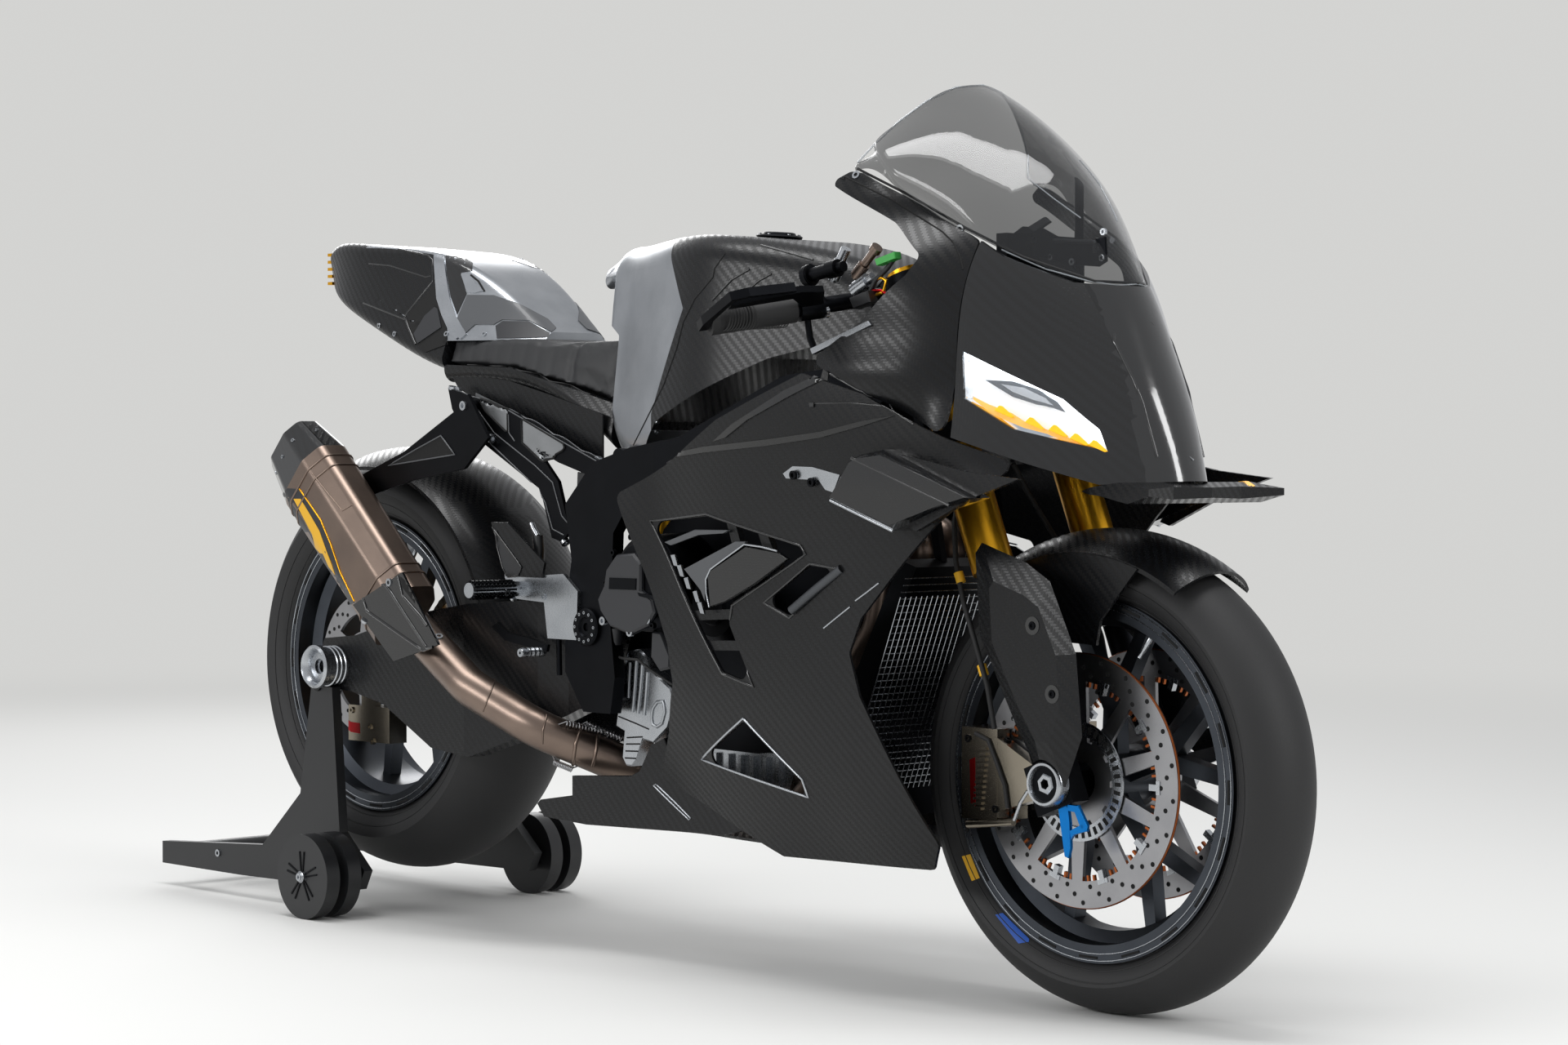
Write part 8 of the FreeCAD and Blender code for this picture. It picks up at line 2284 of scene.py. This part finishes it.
class RearEnd(Section):
    """Rear wheel, chain, axle nut, brake and stand fittings."""

    def build(self) -> None:
        """Build every piece."""
        wheel = Wheel(self.repeats, "rear", REAR_AXLE, Body.REAR_WHEEL, 231, 83)
        wheel.rim_lines()
        wheel.sidewall()
        wheel.drilled("rear_disc_holes", (87, 95, 103), 18, [(-104.6, -1), (-98.9, 1)], 3)
        self.chain()
        outline = [(0.15, 0.012), (0.15, 0.03), (0.188, 0.03), (0.192, 0.0335), (0.2, 0.0335),
            (0.204, 0.03), (0.2, 0.025), (0.19, 0.022), (0.19, 0.012)]
        beads = [[(along, 0.0295), (along + 0.0015, 0.0315), (along + 0.003, 0.0295)] for along in
            (0.16, 0.168, 0.176)]
        Maker.turned("rear_axle_nut", Finish.MACHINED, [outline, *beads], REAR_AXLE, segments=48)
        brake = Sight("rear_caliper")
        brake.patch("rear_caliper_panel", Finish.RED, [(418.4, 882.4), (440.2, 885.6),
            (440.8, 898.4), (419, 894.6)], lift_mm=0.5, cell=6, wall_mm=1.0, twin=False)
        spots = brake.spots((453, 890.4), (456.8, 908), (431.2, 869.6))
        self.repeats.screw("rear_caliper_screws", Finish.NICKEL, spots, 5.0, 5.0)
        self.stand()

    def chain(self) -> None:
        """Side plates and rollers round both sprockets."""
        rear, front = Vector((-650, 383)), Vector((25, 455))
        big, small = 113.0, 43.3
        run = front - rear
        lean = math.atan2(run.y, run.x)
        open_angle = math.acos((big - small) / run.length)
        points = []
        for step in range(25):
            turn = lean + open_angle + (math.tau - 2 * open_angle) * step / 24
            points.append(rear + Vector((math.cos(turn), math.sin(turn))) * big)
        for step in range(17):
            turn = lean - open_angle + 2 * open_angle * step / 16
            points.append(front + Vector((math.cos(turn), math.sin(turn))) * small)
        whole = [Vector((p.x * MM, 0.112, p.y * MM)) for p in points]
        mesh = bpy.data.meshes.new("chain_line")
        count = len(whole)
        mesh.from_pydata([tuple(p) for p in whole], [(at, (at + 1) % count) for at in range(count)],
            [])
        self.repeats.bake("chain_links", mesh, self.repeats.links, {"Pitch": 0.015875,
            "Plate Spacing": 0.0172}, Finish.CHAIN)

    def stand(self) -> None:
        """Spokes and caps of the stand's wheels, and the arm's screws."""
        for side, body, name in ((-1, Body.STAND_RIGHT, "right"), (1, Body.STAND_LEFT, "left")):
            probe = Probe(f"stand_wheels_{name}")
            centre = Vector((-0.61, side * 0.22, 0.065))
            out = probe.hit(centre + Vector((0.03, side * 0.3, 0)), (0, -side, 0))
            face_y = out[0].y if out else side * 0.24
            hub = Vector((centre.x, face_y, centre.z))
            way = Vector((0, side, 0))
            outline = [(-0.004, 0.001), (-0.004, 0.009), (0.004, 0.009), (0.006, 0.006),
                (0.006, 0.001)]
            Maker.turned(f"stand_hub_{name}", Finish.MACHINED, [outline], hub, way, 24, body)
            spokes = []
            for at in range(5):
                turn = math.radians(at * 72 + 18)
                rim = ray(turn)
                across = Vector((-rim.z, 0, rim.x))
                for shift in (-1, 1):
                    spokes.append((hub + rim * 0.024 + across * shift * 0.004, rim + across * shift
                        * 0.12, way, (30, 2.6, 2.4)))
            self.repeats.rib(f"stand_spokes_{name}", Finish.BLACK_ALLOY, spokes, body=body)
        arm = Probe("stand_frame")
        spots = []
        for x_mm, z_mm in ((40, 65), (-120, 70), (-300, 66)):
            found = arm.hit(spot(x_mm, -600, z_mm), (0, 1, 0))
            if found:
                spots.append(found)
        if spots:
            self.repeats.screw("stand_screws", Finish.MACHINED, both_sides(spots), 6, 5)


# Carried-over nodes and their finishes

NODE_FINISHES: dict[Finish, str] = {
    Finish.CARBON: "side_fairings upper_fairings belly_pan chin_wing winglets tank_cover seat_tray"
                   " tail_unit swingarm rear_hugger front_mudguard fork_covers heel_guards",
    Finish.CARBON_GLOSS: "nose_panel muffler_end_cap heat_shield",
    Finish.BRUSHED_TANK: "tank_rear tail_hump",
    Finish.MACHINED: "oil_pan rear_axle rearsets",
    Finish.NICKEL: "front_calipers rear_caliper",
    Finish.FORGED: "front_rim rear_rim",
    Finish.BLACK_ALLOY: "engine_block engine_covers frame subframe muffler_bracket fork_clamps"
                        " handlebars levers lever_guards instrument_stay radiator oil_cooler"
                        " front_axle",
    Finish.GOLD: "fork_tubes rear_sprocket shock_absorber tail_fins",
    Finish.DISC_STEEL: "front_discs rear_disc",
    Finish.TITANIUM: "exhaust_header link_pipe muffler",
    Finish.CHAIN: "chain",
    Finish.STAND: "stand_frame",
    Finish.TYRE: "front_tyre rear_tyre",
    Finish.RUBBER: "grips brake_hoses",
    Finish.NYLON: "stand_wheels_right stand_wheels_left",
    Finish.VINYL: "seat_pad",
    Finish.SCREEN: "windscreen",
    Finish.REFLECTOR: "headlamps",
}


def dress_nodes() -> None:
    """Give every carried-over node its finish, and the fork tubes their black feet."""
    for finish, names in NODE_FINISHES.items():
        for name in names.split():
            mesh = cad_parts[name].data
            mesh.materials.clear()
            mesh.materials.append(finish.material)
            mesh.shade_smooth()
            mesh.set_sharp_from_angle(angle=math.radians(NODE_SMOOTH_DEG))
    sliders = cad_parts["fork_tubes"].data
    sliders.materials.append(Finish.BLACK_ALLOY.material)
    for face in sliders.polygons:
        ahead, up = face.center.x - STEER_FOOT[0], face.center.z - STEER_FOOT[1]
        if up * math.cos(RAKE) - ahead * math.sin(RAKE) < SLIDER_TOP:
            face.material_index = 1


# Studio

class Studio:
    """Pale floor, pale backdrop, soft lamps and the camera."""

    floor_half: float = 70.0
    fade_start: float = 1.2
    fade_end: float = 7.0

    def build(self) -> None:
        """Build floor, world, lamps and camera."""
        self.floor()
        self.world()
        self.lamps()
        self.camera()

    @staticmethod
    def blend(tree: bpy.types.NodeTree, share: object, near: object, seen: bpy.types.Node,
              end: str) -> None:
        """Mix a surface or air with the backdrop's light.

        Args:
            tree: Node tree of a material or world.
            share: Socket of the backdrop's share.
            near: Socket of what the backdrop is mixed with.
            seen: Node of the backdrop's light.
            end: Name of the tree's output node.
        """
        mixed = add_node(tree, "ShaderNodeMixShader",
                         links={0: share, 1: near, 2: seen.outputs[0]})
        tree.links.new(mixed.outputs[0], tree.nodes[end].inputs[0])

    def floor(self) -> None:
        """A large plain floor that ends in the pale backdrop."""
        mesh = bpy.data.meshes.new("studio_floor")
        size = self.floor_half
        mesh.from_pydata([(-size, -size, 0), (size, -size, 0), (size, size, 0), (-size, size, 0)],
                         [], [(0, 1, 2, 3)])
        floor = link_object("studio_floor", mesh)
        paint = Paint("pale_floor", Base_Color="#dcdcda", Roughness=0.9)
        far = paint.node("VectorMath", links={0: paint.where["Object"]}, operation="LENGTH")
        fade = paint.node("MapRange", {"From Min": self.fade_start, "From Max": self.fade_end},
                          {"Value": far.outputs["Value"]}, interpolation_type="SMOOTHSTEP")
        self.blend(paint.tree, fade.outputs[0], paint.shader.outputs[0],
                   paint.node("Emission", BACKDROP), "Material Output")
        mesh.materials.append(paint.material)

    def world(self) -> None:
        """Even pale light from all round."""
        world = bpy.data.worlds.new("studio_air")
        bpy.context.scene.world = world
        world.use_nodes = True
        tree = world.node_tree
        air = tree.nodes["Background"]
        air.inputs["Color"].default_value = linear("#e9eaec")
        air.inputs["Strength"].default_value = 0.72
        rays = add_node(tree, "ShaderNodeLightPath")
        self.blend(tree, rays.outputs["Is Camera Ray"], air.outputs[0],
                   add_node(tree, "ShaderNodeBackground", values=BACKDROP), "World Output")

    @staticmethod
    def aimed(name: str, data: bpy.types.ID, eye: Point, way: Vector) -> bpy.types.Object:
        """Set a lamp or camera.

        Args:
            name: Name of the object.
            data: The lamp or camera.
            eye: Where it stands.
            way: Where it looks.

        Returns:
            The object.
        """
        made = link_object(name, data)
        made.matrix_world = (Matrix.Translation(eye)
                             @ way.to_track_quat("-Z", "Y").to_matrix().to_4x4())
        return made

    def lamps(self) -> None:
        """Wide soft boxes: overhead, along the right side, in front and behind."""
        for name, eye, aim, width, height, power in (
                ("overhead_box", (0.2, -0.4, 3.6), (0, 0, 0.4), 3.4, 0.9, 80),
                ("side_box", (-0.6, -4.2, 1.9), (0, 0, 0.6), 3.4, 0.7, 70),
                ("front_box", (4.6, 0.6, 2.2), (0.4, 0, 0.6), 0.8, 2.2, 55),
                ("rear_box", (-4.2, 2.4, 2.4), (0, 0, 0.6), 2.2, 1.6, 60)):
            data = bpy.data.lights.new(name, "AREA")
            data.shape = "RECTANGLE"
            data.size, data.size_y, data.energy = width, height, power
            self.aimed(name, data, eye, Vector(aim) - Vector(eye))

    def camera(self) -> None:
        """Camera where the photograph was taken."""
        data = bpy.data.cameras.new("studio_camera")
        data.lens, data.sensor_width, data.clip_end = CAMERA_LENS, SENSOR_WIDTH, 200
        bpy.context.scene.camera = self.aimed("studio_camera", data, CAMERA_EYE, CAMERA_WAY)


def main() -> None:
    """Build every piece in order and report it."""
    logging.basicConfig(level=logging.INFO, format="%(message)s")
    bpy.context.scene.view_settings.view_transform = "Standard"
    Studio().build()
    dress_nodes()
    repeats = Repeats()
    for section in (Nose, Screen, Cockpit, Fairings, TankAndTail, Engine, Controls, Exhaust,
                    FrontEnd, RearEnd):
        started = time.time()
        section(repeats).build()
        LOG.info("%s built in %.1f s", section.__name__, time.time() - started)
    SeatCushion().build()


if __name__ == "__main__":
    main()
